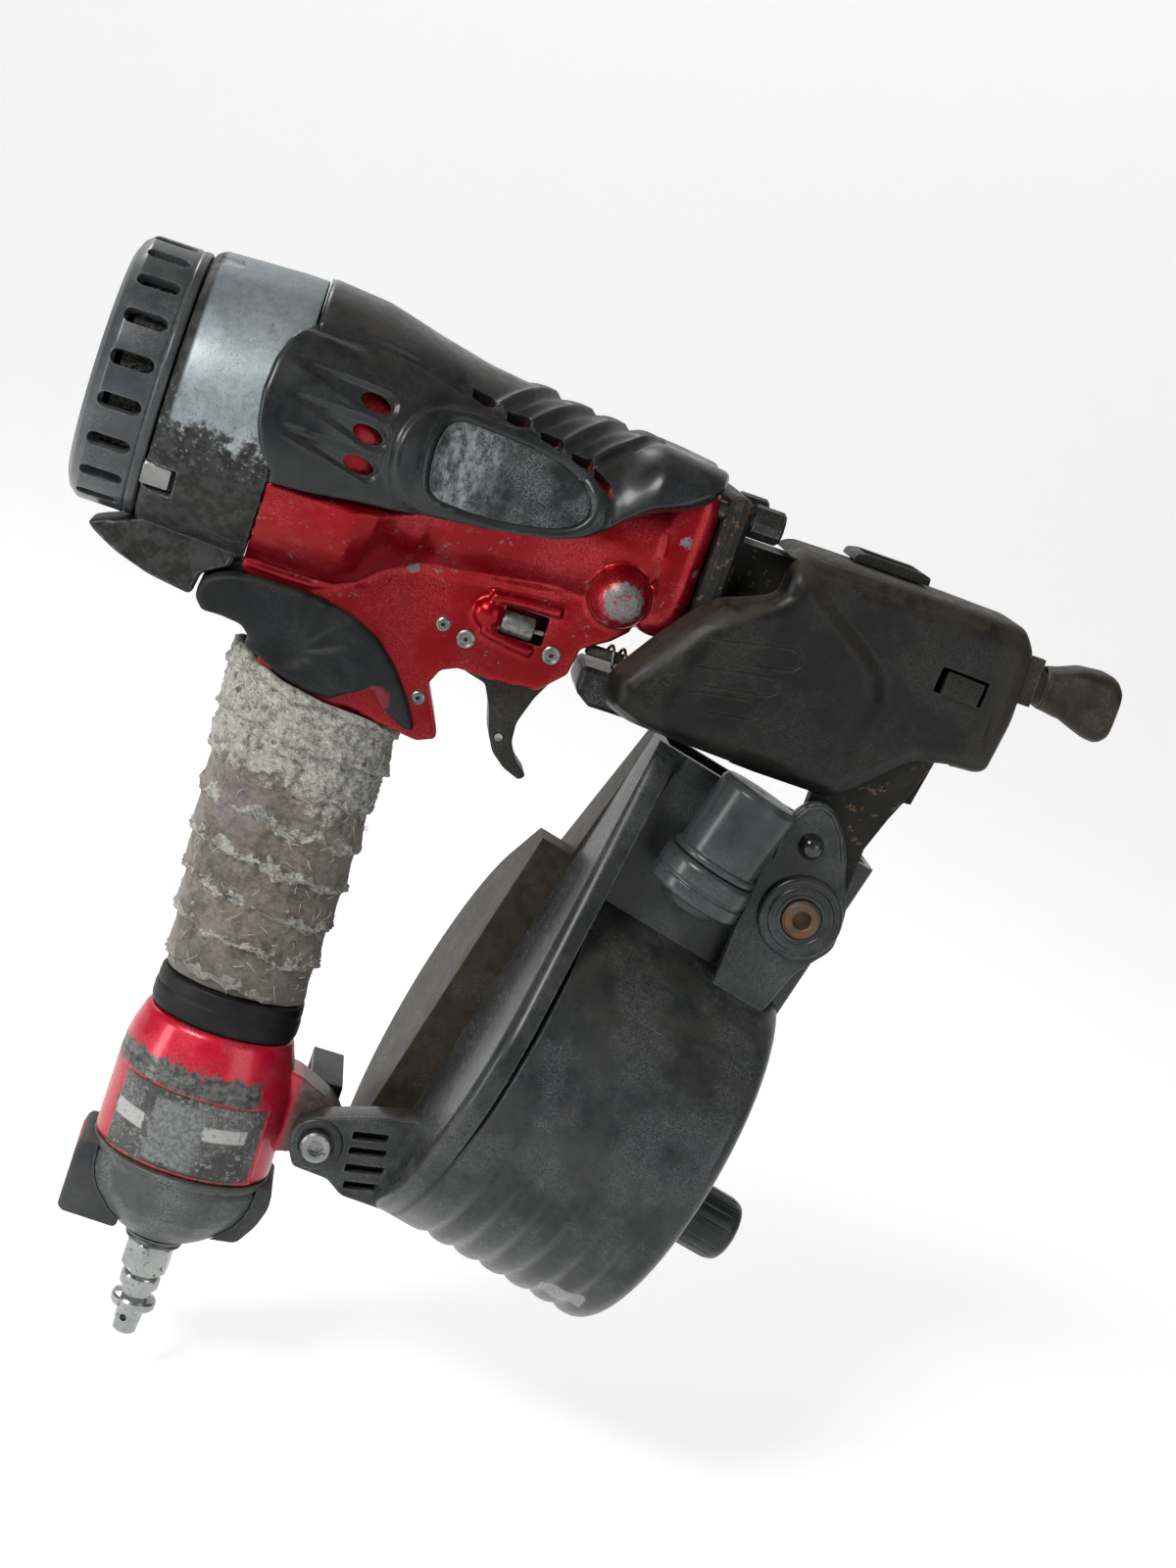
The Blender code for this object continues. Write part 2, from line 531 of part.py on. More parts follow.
def inset(points, d, cx=118.0, cz=88.0):
    """Shrink an outline by moving each corner in along its edge normals."""
    n = len(points)
    out = []
    for i in range(n):
        p0, p1, p2 = Vector(points[i - 1]), Vector(points[i]), Vector(points[(i + 1) % n])
        e1, e2 = (p1 - p0).normalized(), (p2 - p1).normalized()
        n1, n2 = Vector((-e1.y, e1.x)), Vector((-e2.y, e2.x))
        m = (n1 + n2)
        m = m / max(m.length_squared / 2.0, 0.6)
        out.append((p1.x + m.x * d, p1.y + m.y * d))
    return out


def cover_loops(levels, pts):
    loops = []
    for y, d, lean in levels:
        loops.append([(x, y + lean * (x - 110.0), z) for x, z in inset(pts, d)])
    return loops


bm = bmesh.new()
rings(bm, cover_loops([(8.6, 0.0, 0.0), (-14.0, 0.0, 0.03), (-20.0, 1.2, 0.07), (-23.6, 3.6, 0.09), (-25.2, 8.0, 0.10)], COV))
cover = make('nose_cover', bm, M_COVER, angle=50.0)
bm = bmesh.new()
rings(bm, cover_loops([(12.0, 2.4, 0.0), (-13.0, 2.4, 0.03), (-18.6, 3.6, 0.07), (-21.6, 6.0, 0.09), (-22.9, 10.0, 0.10)], COV))
cov_in = make('cut_cover_inside', bm, cutter=True)
cut(cover, cov_in)
# open underside, open nose end and the gap at the body flange
cov_cut = prism('cut_cover_mouth', [(97.0, 50.0), (154.0, 50.0), (154.0, 84.0), (104.0, 84.0), (97.0, 76.0)], -16.6, 20.0, cutter=True)
cut(cover, cov_cut)
cov_nose = box('cut_cover_nose', 152.0, 170.0, -13.0, 20.0, 84.5, 112.4, cutter=True)
cut(cover, cov_nose)
cov_back = box('cut_cover_back', 50.0, 99.5, -20.4, 20.0, 50.0, 112.8, cutter=True)
cut(cover, cov_back)
cov_win = box('cut_cover_window', 143.5, 152.0, -30.0, -10.0, 93.4, 99.6, cutter=True)
cut(cover, cov_win)

# ---------------------------------------------------------------- contact arm
carm = box('contact_arm', 98.0, 176.0, -12.4, -9.4, 95.5, 108.0, M_DSTEEL, smooth=False)
ctip = lathe('add_contact_tip', [(172.5, 4.2), (172.5, 9.3), (176.0, 8.4), (182.0, 7.0), (187.5, 8.0), (TIP_X1, 9.0), (TIP_X1, 4.2)],
             (0, 0, BZ - 2.6 + 1.0), XAX, M_DSTEEL, cutter=True, seg=24)
cheek = prism('add_contact_cheek', [(172.2, 95.8), (174.0, 94.6), (181.0, 91.2), (189.2, 92.4), (190.6, 106.0), (187.5, 107.6), (176.0, 107.2), (172.2, 106.0)],
              -10.6, -4.6, M_DSTEEL, cutter=True)
leg = prism('add_contact_leg', [(103.6, 100.0), (103.6, 72.6), (110.4, 72.6), (110.4, 100.0)],
            -12.2, -9.8, M_DSTEEL, cutter=True)
rod = lathe('add_contact_rod', [(57.0, 0), (57.0, 1.0), (57.6, 1.5), (106.0, 1.5), (106.0, 0)], (0, -11.0, 74.5), XAX, M_DSTEEL, cutter=True, seg=12)
for o in (ctip, cheek, leg, rod):
    cut(carm, o, 'UNION')
tip_bore = lathe('cut_tip_bore', [(164.0, 0), (164.0, 4.2), (195.0, 4.2), (195.0, 0)], (0, 0, BZ - 1.0), XAX, cutter=True, seg=20)
cut(carm, tip_bore)
spring('contact_spring', (62.0, -11.0, 74.5), XAX, 28.0, 2.6, 0.45, 6.0, M_SPRING, seg=8, ring=4)

# depth adjuster roller seen in the side window
lathe('depth_roller', [(34.6, 1.0), (34.6, 2.6), (35.0, 3.0), (42.8, 3.0), (43.2, 2.6), (43.2, 1.0)], (0, -11.4, 74.5), XAX, M_STEEL, seg=20)
lathe('roller_pin', [(31.8, 0), (31.8, 0.7), (45.7, 0.7), (45.7, 0)], (0, -11.4, 74.5), XAX, M_DSTEEL, seg=10)

# ---------------------------------------------------------------- nose door and latch
door = prism('nose_door', [(108.0, 84.6), (156.0, 84.6), (158.0, 90.0), (158.0, 108.0), (154.0, 111.2), (112.0, 111.2), (108.0, 107.0)], 9.3, 13.0, M_NOSE)
bevel(door, 0.8, 1)
latch = prism('door_latch', [(115.0, 115.7), (135.0, 115.5), (134.6, 118.0), (117.0, 118.3)], -3.0, 13.4, M_COVER, smooth=False)
latch_hook = box('add_latch_hook', 117.0, 133.0, 9.4, 13.4, 111.7, 117.0, M_COVER, cutter=True)
cut(latch, latch_hook, 'UNION')
bevel(latch, 0.5, 1)

# ---------------------------------------------------------------- trigger group
trig = prism('trigger', [(53.4, 68.4), (53.2, 72.6), (50.6, 75.0), (46.6, 74.8), (44.0, 71.0), (41.7, 65.4), (38.7, 61.9), (30.6, 61.5), (30.2, 59.0),
                         (36.6, 57.4), (39.4, 52.0), (41.2, 46.0), (43.6, 41.6), (47.6, 38.4), (52.4, 36.6), (53.8, 38.2), (50.0, 41.2),
                         (47.6, 45.4), (47.2, 50.4), (49.4, 57.6), (52.4, 63.6)], -6.5, 6.5, M_TRIG)
bm = bmesh.new()
lathe_bm([(-9.0, 0), (-9.0, 1.85), (9.0, 1.85), (9.0, 0)], (PIVOT[0], 0, PIVOT[1]), YAX, 16, bm)
lathe_bm([(-9.0, 0), (-9.0, 1.3), (9.0, 1.3), (9.0, 0)], (44.0, 0, 45.6), YAX, 12, bm)
trig_holes = make('cut_trigger_holes', bm, cutter=True)
cut(trig, trig_holes)
bevel(trig, 0.8, 1)
lathe('trigger_cross_pin', [(-6.9, 0), (-6.9, 1.0), (6.9, 1.0), (6.9, 0)], (44.0, 0, 45.6), YAX, M_STEEL, seg=12)
lathe('trigger_valve', [(66.0, 1.9), (66.0, 4.6), (81.6, 4.6), (81.6, 0), (74.0, 0), (74.0, 1.9)], (VX, 0, 0), (0, 0, 1), M_BRASS, seg=20)
lathe('trigger_plunger', [(62.7, 0), (63.0, 1.5), (70.5, 1.5), (70.5, 0)], (VX, 0, 0), (0, 0, 1), M_STEEL, seg=12)

# ---------------------------------------------------------------- coil magazine
def drum_outline(r, top, half_w, tear, arc=15):
    """Half outline (sideways, normal): drum circle joined to a throat.

    tear 1 joins them by a straight tangent, 0 by an upright throat wall."""
    d = math.hypot(half_w, top - DRUM_N)
    ta = math.atan2(top - DRUM_N, half_w) - math.acos(min(1.0, r / d))
    ka = math.acos(half_w / r)
    a0 = ka + (ta - ka) * tear
    end = (r * math.cos(a0), DRUM_N + r * math.sin(a0))
    pts = [(0.0, top), (half_w, top)]
    for f in (0.34, 0.67):
        pts.append((half_w + (end[0] - half_w) * f, top + (end[1] - top) * f))
    for i in range(arc + 1):
        a = a0 + (-math.pi / 2 - a0) * i / arc
        pts.append((r * math.cos(a), DRUM_N + r * math.sin(a)))
    return pts                    # ends at the bottom centre


THROAT = 11.9


def half_drum(name, sgn, s0, material, extra=()):
    e = 0.15
    bm = bmesh.new()
    loops = []
    deep = s0 < 60.0
    low = DRUM_N + DRUM_R + 2.0
    table = ((s0, 1.2, 1.0, low if deep else THROAT_TOP), (s0 + 1.6, 0.0, 1.0, low if deep else THROAT_TOP),
             (65.4 if deep else 70.0, 0.0, 1.0, low if deep else THROAT_TOP), (67.0 if deep else 71.0, 0.0, 1.0, THROAT_TOP),
             (72.6, 0.0, 1.0, THROAT_TOP), (74.0, 0.0, 0.0, THROAT_TOP), (110.0, 0.0, 0.0, THROAT_TOP),
             (DRUM_S1 - 5.0, 0.0, 0.0, THROAT_TOP), (DRUM_S1 - 1.4, 1.4, 0.0, THROAT_TOP), (DRUM_S1, 4.5, 0.0, THROAT_TOP))
    for s, r_off, tear, top in table:
        out = drum_outline(DRUM_R - r_off, top, THROAT - 0.4 * r_off, tear)
        loops.append([sy(s, sgn * max(y, e), n) for y, n in out])
    rings(bm, loops)
    shell = make(name, bm, material, angle=40.0)
    for o in extra:
        cut(shell, o, 'UNION')
    bm = bmesh.new()
    loops = []
    inn = drum_outline(DRUM_R - WALL, THROAT_TOP, THROAT - WALL, 0.0)
    for s in (max(s0, 66.0) + WALL + 0.6, DRUM_S1 - WALL):
        lp = [sy(s, -sgn * 3.0, THROAT_TOP + 3.0), sy(s, sgn * inn[1][0], THROAT_TOP + 3.0)]
        lp += [sy(s, sgn * max(y, e), n) for y, n in inn[2:]]
        lp += [sy(s, -sgn * 3.0, inn[-1][1])]
        loops.append(lp)
    rings(bm, loops)
    if deep:
        # the deeper rear part of the cover is a plain round pan
        lp = []
        for s in (s0 + WALL, 70.5):
            ring = [sy(s, -sgn * 3.0, DRUM_N + DRUM_R - WALL)]
            for i in range(16):
                a = math.pi / 2 - math.pi * i / 15
                ring.append(sy(s, sgn * max((DRUM_R - WALL) * math.cos(a), 0.15), DRUM_N + (DRUM_R - WALL) * math.sin(a)))
            ring.append(sy(s, -sgn * 3.0, DRUM_N - DRUM_R + WALL))
            lp.append(ring)
        bm2 = bmesh.new()
        rings(bm2, lp)
        pan = make('cut_pan_' + name, bm2, cutter=True)
        cut(shell, pan)
    hol = make('cut_' + name, bm, cutter=True)
    cut(shell, hol)
    return shell


RB = (32.5, -67.0)              # rear magazine bolt
brk = prism('add_rear_bracket', [(26.6, -64.4), (32.7, -60.0), (44.5, -56.2), (62.0, -52.0), (60.5, -72.0), (57.5, -79.4), (42.7, -78.6),
                                 (38.0, -75.4), (28.5, -74.6), (26.0, -70.0)], -16.5, -6.4, M_DRUM, cutter=True)
fbr = prism('add_front_bracket', [(117.0, 49.5), (121.0, 55.5), (124.4, 57.6), (128.6, 56.6), (133.4, 51.0), (136.0, 45.0), (137.0, 41.0), (140.6, 32.0), (140.6, 22.0),
                                  (133.5, 13.6), (127.0, -4.0), (114.0, 0.0), (114.5, 14.0), (115.5, 37.0)],
            -19.9, -16.3, M_DRUM, cutter=True)
fbm = bmesh.new()
lathe_bm([(-22.6, 0), (-22.6, 9.4), (-21.2, 11.0), (-16.3, 11.0), (-16.3, 0)], (CB[0], 0, CB[1]), YAX, 32, fbm)
fboss = make('add_front_boss', fbm, M_DRUM, cutter=True)
shell = half_drum('magazine_shell', -1, DRUM_S0, M_DRUM, (brk, fbr, fboss))
lid = half_drum('magazine_cover', 1, LID_S0, M_SMOKE)
KY, KN = -11.0, -25.4
bm = bmesh.new()
lathe_bm([(-26.0, 0), (-26.0, 5.4), (-20.4, 5.4), (-20.4, 3.3), (-15.0, 3.3), (-15.0, 0)], (CB[0], 0, CB[1]), YAX, 18, bm)
lathe_bm([(-20.0, 0), (-20.0, 3.3), (-3.0, 3.3), (-3.0, 0)], (RB[0], 0, RB[1]), YAX, 18, bm)
lathe_bm([(-22.0, 0), (-22.0, 1.8), (-15.0, 1.8), (-15.0, 0)], (125.9, 0, 45.8), YAX, 14, bm)
k0 = sy(0, KY, KN)
lathe_bm([(DRUM_S1 - 6, 0), (DRUM_S1 - 6, 3.4), (DRUM_S1 + 3, 3.4), (DRUM_S1 + 3, 0)], k0, DA, 18, bm)
mag_holes = make('cut_magazine_holes', bm, cutter=True)
cut(shell, mag_holes)

# platform with its post, and the adjusting knob with its screw
plat_o = sy(0, 0, DRUM_N)
plat = lathe('nail_platform', [(78.0, 0), (78.0, 41.0), (80.6, 41.0), (80.6, 7.0), (114.0, 7.0), (115.0, 6.0), (115.0, 0)], plat_o, DA, M_DRUM, seg=40)
pl_hole2 = lathe('cut_platform_post', [(74.0, 0), (74.0, 4.0), (84.0, 4.0), (84.0, 0)], sy(0, KY, KN), DA, cutter=True, seg=18)
cut(plat, pl_hole2)
lathe('platform_knob', [(72.0, 0), (72.0, 3.0), (DRUM_S1 + 0.4, 3.0), (DRUM_S1 + 0.4, 8.2), (DRUM_S1 + 1.4, 8.8), (151.6, 8.8), (153.2, 7.4), (153.2, 0)],
      k0, DA, M_DRUM, seg=24)

# ---------------------------------------------------------------- magazine fasteners
lathe('front_mount_bolt', [(-21.4, 0), (-21.4, 2.2), (-23.4, 2.2), (-23.9, 3.0), (-23.9, 4.3), (-23.3, 4.9), (-20.7, 4.9),
                           (-20.7, 2.9), (-12.7, 2.9), (-12.7, 0)], (CB[0], 0, CB[1]), YAX, M_RUST, seg=20)
lathe('dome_screw', [(-22.9, 0), (-22.7, 1.6), (-21.7, 2.8), (-20.2, 3.25), (-20.2, 1.5), (-16.6, 1.5), (-16.6, 0)], (125.9, 0, 45.8), YAX, M_DSTEEL, seg=16)
lathe('rear_mount_bolt', [(-20.2, 0), (-20.2, 3.6), (-19.8, 4.0), (-16.8, 4.0), (-16.8, 2.9), (5.8, 2.9), (5.8, 0)], (RB[0], 0, RB[1]), YAX, M_STEEL, seg=20)

# ---------------------------------------------------------------- feeder
FEED_TILT = math.radians(15.0)
DN = (math.sin(FEED_TILT), 0.0, math.cos(FEED_TILT))
FO = (90.4 * math.cos(FEED_TILT), -25.0, -90.4 * math.sin(FEED_TILT))
feeder = lathe('feeder_cylinder', [(60.3, 7.6), (60.3, 11.4), (62.0, 11.4), (62.0, 10.8), (82.0, 10.8), (82.0, 0), (79.0, 0), (79.0, 7.6)], FO, DN, M_DRUM, seg=30)
lathe('feeder_cap', [(47.4, 0), (47.4, 7.0), (49.0, 7.8), (50.2, 8.0), (50.2, 11.6), (51.2, 12.5), (59.0, 12.5), (60.0, 11.8), (60.0, 7.2),
                     (53.0, 7.2), (53.0, 0)], FO, DN, M_DRUM, seg=30)
lathe('feed_piston', [(61.0, 0), (61.0, 6.6), (61.8, 7.2), (66.0, 7.2), (66.0, 2.4), (70.5, 2.4), (70.5, 0)], FO, DN, M_ALU, seg=20)

# ---------------------------------------------------------------- grip pieces
WO = [(38.6, -2.6, 22.4, 17.4), (30.0, -2.2, 22.1, 17.2), (12.0, -1.5, 21.4, 16.7), (-4.0, -0.9, 20.7, 16.2), (-20.0, -0.2, 19.5, 15.6),
      (-36.9, 0.6, 18.4, 15.0)]


def hand_at(z, grow):
    tab = sorted(HAND)
    for p, q in zip(tab, tab[1:]):
        if p[0] <= z <= q[0]:
            t = (z - p[0]) / (q[0] - p[0])
            return (z, p[1] + (q[1] - p[1]) * t, p[2] + (q[2] - p[2]) * t + grow, p[3] + (q[3] - p[3]) * t + grow)
    return None


def hand_inner(z0, z1):
    zs = [z0] + [r[0] for r in HAND if z1 < r[0] < z0] + [z1]
    return [hand_at(z, 0.35) for z in zs]


sleeve('grip_wrap', WO, hand_inner(38.6, -36.9), M_TAPE)
sleeve('grip_ring', [(-37.2, 0.6, 18.6, 15.4), (-39.0, 0.7, 19.1, 16.2), (-45.6, 0.8, 19.3, 17.0), (-47.0, 0.9, 18.9, 16.8)],
       hand_inner(-37.2, -47.0), M_RING)

over = prism('grip_overmould', [(-37.5, 62.0), (-31.0, 65.9), (-29.0, 66.6), (-15.0, 66.8), (-2.8, 67.0), (7.6, 62.0), (15.2, 54.2), (22.6, 43.4), (20.4, 41.6),
                                (10.6, 40.0), (-0.8, 39.4), (-15.1, 39.2), (-24.6, 39.2), (-21.6, 45.0), (-21.8, 51.0), (-27.0, 54.6), (-35.6, 53.2), (-38.0, 57.6)],
             -17.4, 17.4, M_RUBBER)
bevel(over, 1.6, 1, 50.0)
under_clear = prism('cut_over_body', [(-29.4, 95.0), (-29.4, 66.4), (-21.6, 61.6), (-18.6, 45.6), (13.6, 40.4), (14.0, 30.0), (40.0, 30.0), (40.0, 95.0)],
                    -14.35, 14.35, cutter=True)
under_clear2 = prism('cut_over_front', [(-30.2, 95.0), (-30.2, 67.0), (-22.6, 62.4), (-19.6, 45.4), (13.4, 40.2), (24.4, 39.4), (28.0, 42.8), (22.0, 54.4), (28.0, 95.0)],
                     -14.35, 14.35, cutter=True)
bpy.data.objects.remove(under_clear, do_unlink=True)
cut(over, under_clear2)
core_clear = stack('cut_over_core', [(80.0, -4.0, 21.4, 15.0), (72.0, -4.0, 21.4, 15.0), (45.0, -2.9, 20.4, 14.9), (38.0, -2.9, 19.9, 14.6), (30.0, -2.9, 19.9, 14.6)],
                   cutter=True)
cut(over, core_clear)
barrel_clear = lathe('cut_over_barrel', [(-34.0, 0), (-34.0, 36.3), (-29.8, 36.3), (-29.8, 33.4), (0.0, 29.0), (24.0, 25.0), (60.0, 23.0), (60.0, 0)],
                     O_B, XAX, cutter=True, seg=48)
cut(over, barrel_clear)

# ---------------------------------------------------------------- end cap, cup, feet
EC = [(-47.4, 0.7, 19.0, 17.2), (-50.0, 0.6, 20.0, 18.2), (-57.0, 0.8, 22.2, 20.4), (-62.0, 1.1, 22.9, 21.2), (-84.0, 1.4, 23.3, 21.6)]
ecap = sleeve('end_cap', EC, [(-47.4, 0.9, 15.55, 12.55), (-80.4, 1.2, 15.55, 12.55), (-81.0, 1.3, 19.0, 17.5), (-84.0, 1.4, 19.0, 17.5)], M_RED, seg=30)
lug = prism('add_lug', [(18.0, -54.4), (24.0, -54.4), (34.7, -59.9), (38.2, -64.0), (38.2, -69.0), (34.0, -73.2), (26.0, -74.9), (18.0, -77.0)], -6.0, 6.0, M_RED, cutter=True)
cut(ecap, lug, 'UNION')
lug_hole = lathe('cut_lug_hole', [(-8.0, 0), (-8.0, 3.3), (8.0, 3.3), (8.0, 0)], (RB[0], 0, RB[1]), YAX, cutter=True, seg=18)
cut(ecap, lug_hole)
core_keep = stack('cut_lug_core', [(-47.0, 0.9, 15.55, 12.55), (-83.0, 1.2, 15.55, 12.55)], cutter=True)
cut(ecap, core_keep)

CUP = [(-84.4, 22.6), (-88.0, 23.2), (-94.0, 22.2), (-99.0, 19.2), (-104.0, 14.4), (-106.8, 10.4), (-107.6, 8.0)]
cup = lathe('end_cup', CUP + [(-107.6, 5.6), (-103.6, 5.6), (-97.0, 15.5), (-90.0, 19.0), (-84.4, 19.2)], (1.4, 0, 0), (0, 0, 1), M_CUP, seg=40)
cup_fat = [(z, r + 0.35) for z, r in [(-84.0, 22.6)] + CUP[1:-1]] + [(-108.4, 8.6), (-108.4, 0)]
for nm, pts in (('foot_rear', [(-18.0, -84.9), (-23.9, -84.9), (-24.8, -88.0), (-25.0, -104.6), (-23.6, -105.8), (-9.0, -106.4), (-9.0, -98.0)]),
                ('foot_front', [(21.0, -84.9), (26.4, -84.9), (26.8, -90.0), (25.2, -95.4), (21.6, -101.4), (13.0, -102.6), (13.0, -96.0)])):
    ft = prism(nm, pts, -11.0, 11.0, M_FOOT)
    bevel(ft, 1.2, 1, 50.0)
    cc = lathe('cut_' + nm, [(-80.0, 0), (-80.0, 22.95)] + cup_fat, (1.4, 0, 0), (0, 0, 1), cutter=True, seg=40)
    cut(ft, cc)


def patch(name, table, t0, t1, d0, d1, material, nt=12):
    """Thin film on an elliptical wall: rows of (z, cx, a, b), angles from +X."""
    bm = bmesh.new()
    loops = []
    for i in range(nt + 1):
        t = math.radians(t0 + (t1 - t0) * i / nt)
        lp = []
        for d, rows in ((d0, table), (d1, list(reversed(table)))):
            for z, cx, a, b in rows:
                lp.append((cx + (a + d) * math.cos(t), (b + d) * math.sin(t), z))
        loops.append(lp)
    rings(bm, loops)
    return make(name, bm, material)


LT = [(-83.2, 1.39, 23.28, 21.58), (-63.0, 1.12, 22.92, 21.22)]
patch('rating_label', LT, -146.0, -42.0, 0.25, 0.7, M_LABEL, nt=14)

# ---------------------------------------------------------------- air plug
P0 = (1.4, 0, 0)
lathe('plug_collar', [(-110.4, 5.4), (-110.4, 7.6), (-107.9, 8.6), (-107.9, 5.4)], P0, (0, 0, 1), M_DSTEEL, seg=28)
bm = bmesh.new()
rows = []
prof = [(-100.0, 4.9, 0), (-110.7, 4.9, 0), (-110.7, 6.3, 1), (-118.6, 6.3, 1), (-118.6, 5.2, 0), (-119.8, 4.4, 0), (-121.0, 5.2, 0), (-123.6, 5.2, 0),
        (-124.6, 4.0, 0), (-126.0, 4.0, 0), (-127.0, 5.0, 0), (-129.0, 5.0, 0), (-130.0, 3.9, 0), (-133.0, 3.3, 0), (-137.2, 3.0, 0),
        (-137.2, 1.6, 0), (-104.0, 1.6, 0), (-100.0, 1.6, 0)]
seg = 18
for z, r, hexed in prof:
    row = []
    for k in range(seg):
        t = 2 * math.pi * k / seg
        rr = r
        if hexed:
            q = (t + math.pi / 6) % (math.pi / 3) - math.pi / 6
            rr = 5.75 / math.cos(q)
        row.append((P0[0] + rr * math.cos(t), rr * math.sin(t), z))
    rows.append(row)
rings(bm, rows, loop_around=True)
plug = make('air_plug', bm, M_CHROME)

# ---------------------------------------------------------------- belt hook on the far side of the lug
hook = prism('belt_hook', [(32.5 + 5 * math.cos(a), -67.0 + 5 * math.sin(a)) for a in [math.radians(d) for d in range(150, 391, 20)]]
             + [(36.5, -61.0), (36.5, -58.4), (28.0, -58.4), (28.0, -61.0)], 6.4, 9.0, M_HOOK)
hk2 = box('add_hook_bar', 28.0, 36.5, 6.4, 34.0, -61.0, -58.4, M_HOOK, cutter=True)
hk3 = box('add_hook_end', 28.0, 36.5, 31.4, 34.0, -70.0, -58.4, M_HOOK, cutter=True)
cut(hook, hk2, 'UNION')
cut(hook, hk3, 'UNION')
hh = lathe('cut_hook_hole', [(0.0, 0), (0.0, 2.7), (12.0, 2.7), (12.0, 0)], (RB[0], 0, RB[1]), YAX, cutter=True, seg=16)
cut(hook, hh)
bevel(hook, 0.5, 1)
lathe('hook_screw', [(6.2, 0), (6.2, 2.4), (9.4, 2.4), (9.4, 4.6), (11.6, 4.6), (12.4, 3.6), (12.4, 0)], (RB[0], 0, RB[1]), YAX, M_DSTEEL, seg=18)

# ---------------------------------------------------------------- guide that carries the contact rod
guide = prism('rod_guide', [(57.4, 64.0), (62.0, 61.0), (76.0, 61.0), (80.0, 62.6), (96.0, 62.6), (96.0, 70.6), (84.0, 70.6), (66.0, 70.6), (57.4, 70.6)], -13.6, 8.0, M_NOSE)
bevel(guide, 1.2, 1, 50.0)
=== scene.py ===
import bpy
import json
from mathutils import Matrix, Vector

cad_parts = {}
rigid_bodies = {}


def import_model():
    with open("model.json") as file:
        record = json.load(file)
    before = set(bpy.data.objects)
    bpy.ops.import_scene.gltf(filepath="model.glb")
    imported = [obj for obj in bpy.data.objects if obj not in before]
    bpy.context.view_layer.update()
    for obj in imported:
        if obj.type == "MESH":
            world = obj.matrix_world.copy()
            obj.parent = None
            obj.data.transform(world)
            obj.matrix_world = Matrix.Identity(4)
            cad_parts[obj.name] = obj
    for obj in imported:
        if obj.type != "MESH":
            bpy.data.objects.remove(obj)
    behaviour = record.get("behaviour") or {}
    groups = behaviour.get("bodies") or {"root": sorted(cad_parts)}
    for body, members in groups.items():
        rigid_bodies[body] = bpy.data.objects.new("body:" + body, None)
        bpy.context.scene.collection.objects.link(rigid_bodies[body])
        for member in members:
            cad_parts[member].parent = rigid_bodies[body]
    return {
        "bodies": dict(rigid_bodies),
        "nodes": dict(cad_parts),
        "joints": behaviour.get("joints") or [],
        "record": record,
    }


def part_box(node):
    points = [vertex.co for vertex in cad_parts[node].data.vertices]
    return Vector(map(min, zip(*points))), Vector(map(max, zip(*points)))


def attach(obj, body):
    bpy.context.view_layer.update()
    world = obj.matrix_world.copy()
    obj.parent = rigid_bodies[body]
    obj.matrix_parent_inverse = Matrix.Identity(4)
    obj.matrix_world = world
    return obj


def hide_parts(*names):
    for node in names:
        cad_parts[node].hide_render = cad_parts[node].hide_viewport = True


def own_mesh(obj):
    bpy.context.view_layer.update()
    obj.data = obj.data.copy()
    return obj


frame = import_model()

for _n in ("Cube", "Light", "Camera"):
    _o = bpy.data.objects.get(_n)
    if _o is not None:
        bpy.data.objects.remove(_o, do_unlink=True)
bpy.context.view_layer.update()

import bmesh
import json
import math
from mathutils import Matrix, Vector, noise

# The pneumatic coil nailer's visible pieces. Sizes in this script are in millimetres
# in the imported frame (grip centre origin, +X nose, +Z up) and scaled when a mesh is made.
MM = 0.001
BZ = 102.8
XAX, YAX, ZAX = (1, 0, 0), (0, 1, 0), (0, 0, 1)
O_B = (0, 0, BZ)
TILT = math.radians(13.5)
AX, NX = (math.cos(TILT), -math.sin(TILT)), (math.sin(TILT), math.cos(TILT))
DA = (AX[0], 0.0, AX[1])
BODIES = frame["bodies"]
NODES = frame["nodes"]
COLL = bpy.context.scene.collection


# ------------------------------------------------------------------ mesh helpers
def smooth01(a, b, x):
    if a == b:
        return 0.0 if x < a else 1.0
    t = max(0.0, min(1.0, (x - a) / (b - a)))
    return t * t * (3 - 2 * t)


def lerp(table, x):
    if x <= table[0][0]:
        return table[0][1]
    for (x0, y0), (x1, y1) in zip(table, table[1:]):
        if x <= x1:
            return y0 + (y1 - y0) * (x - x0) / (x1 - x0)
    return table[-1][1]


def slerp(table, x):
    """lerp with eased joins, for outlines that should not look faceted."""
    d = 1.2
    return (lerp(table, x - d) + 2 * lerp(table, x) + lerp(table, x + d)) / 4.0


def fbm(x, y, z, scale, octaves=3):
    return noise.fractal(Vector((x * scale, y * scale, z * scale)), 0.7, 2.1, octaves)


def make(name, bm, smooth=True, angle=38.0, weld=1e-7):
    if weld:
        bmesh.ops.remove_doubles(bm, verts=bm.verts, dist=weld)
    bmesh.ops.recalc_face_normals(bm, faces=bm.faces)
    if bm.calc_volume(signed=True) < 0:
        bmesh.ops.reverse_faces(bm, faces=bm.faces)
    for f in bm.faces:
        f.smooth = smooth
    me = bpy.data.meshes.new(name)
    bm.to_mesh(me)
    bm.free()
    ob = bpy.data.objects.new(name, me)
    COLL.objects.link(ob)
    if smooth:
        sharpen(me, angle)
    return ob


def sharpen(me, angle=38.0):
    bm = bmesh.new()
    bm.from_mesh(me)
    lim = math.radians(angle)
    for e in bm.edges:
        e.smooth = not (len(e.link_faces) == 2 and e.calc_face_angle(0.0) > lim)
    for f in bm.faces:
        f.smooth = True
    bm.to_mesh(me)
    bm.free()


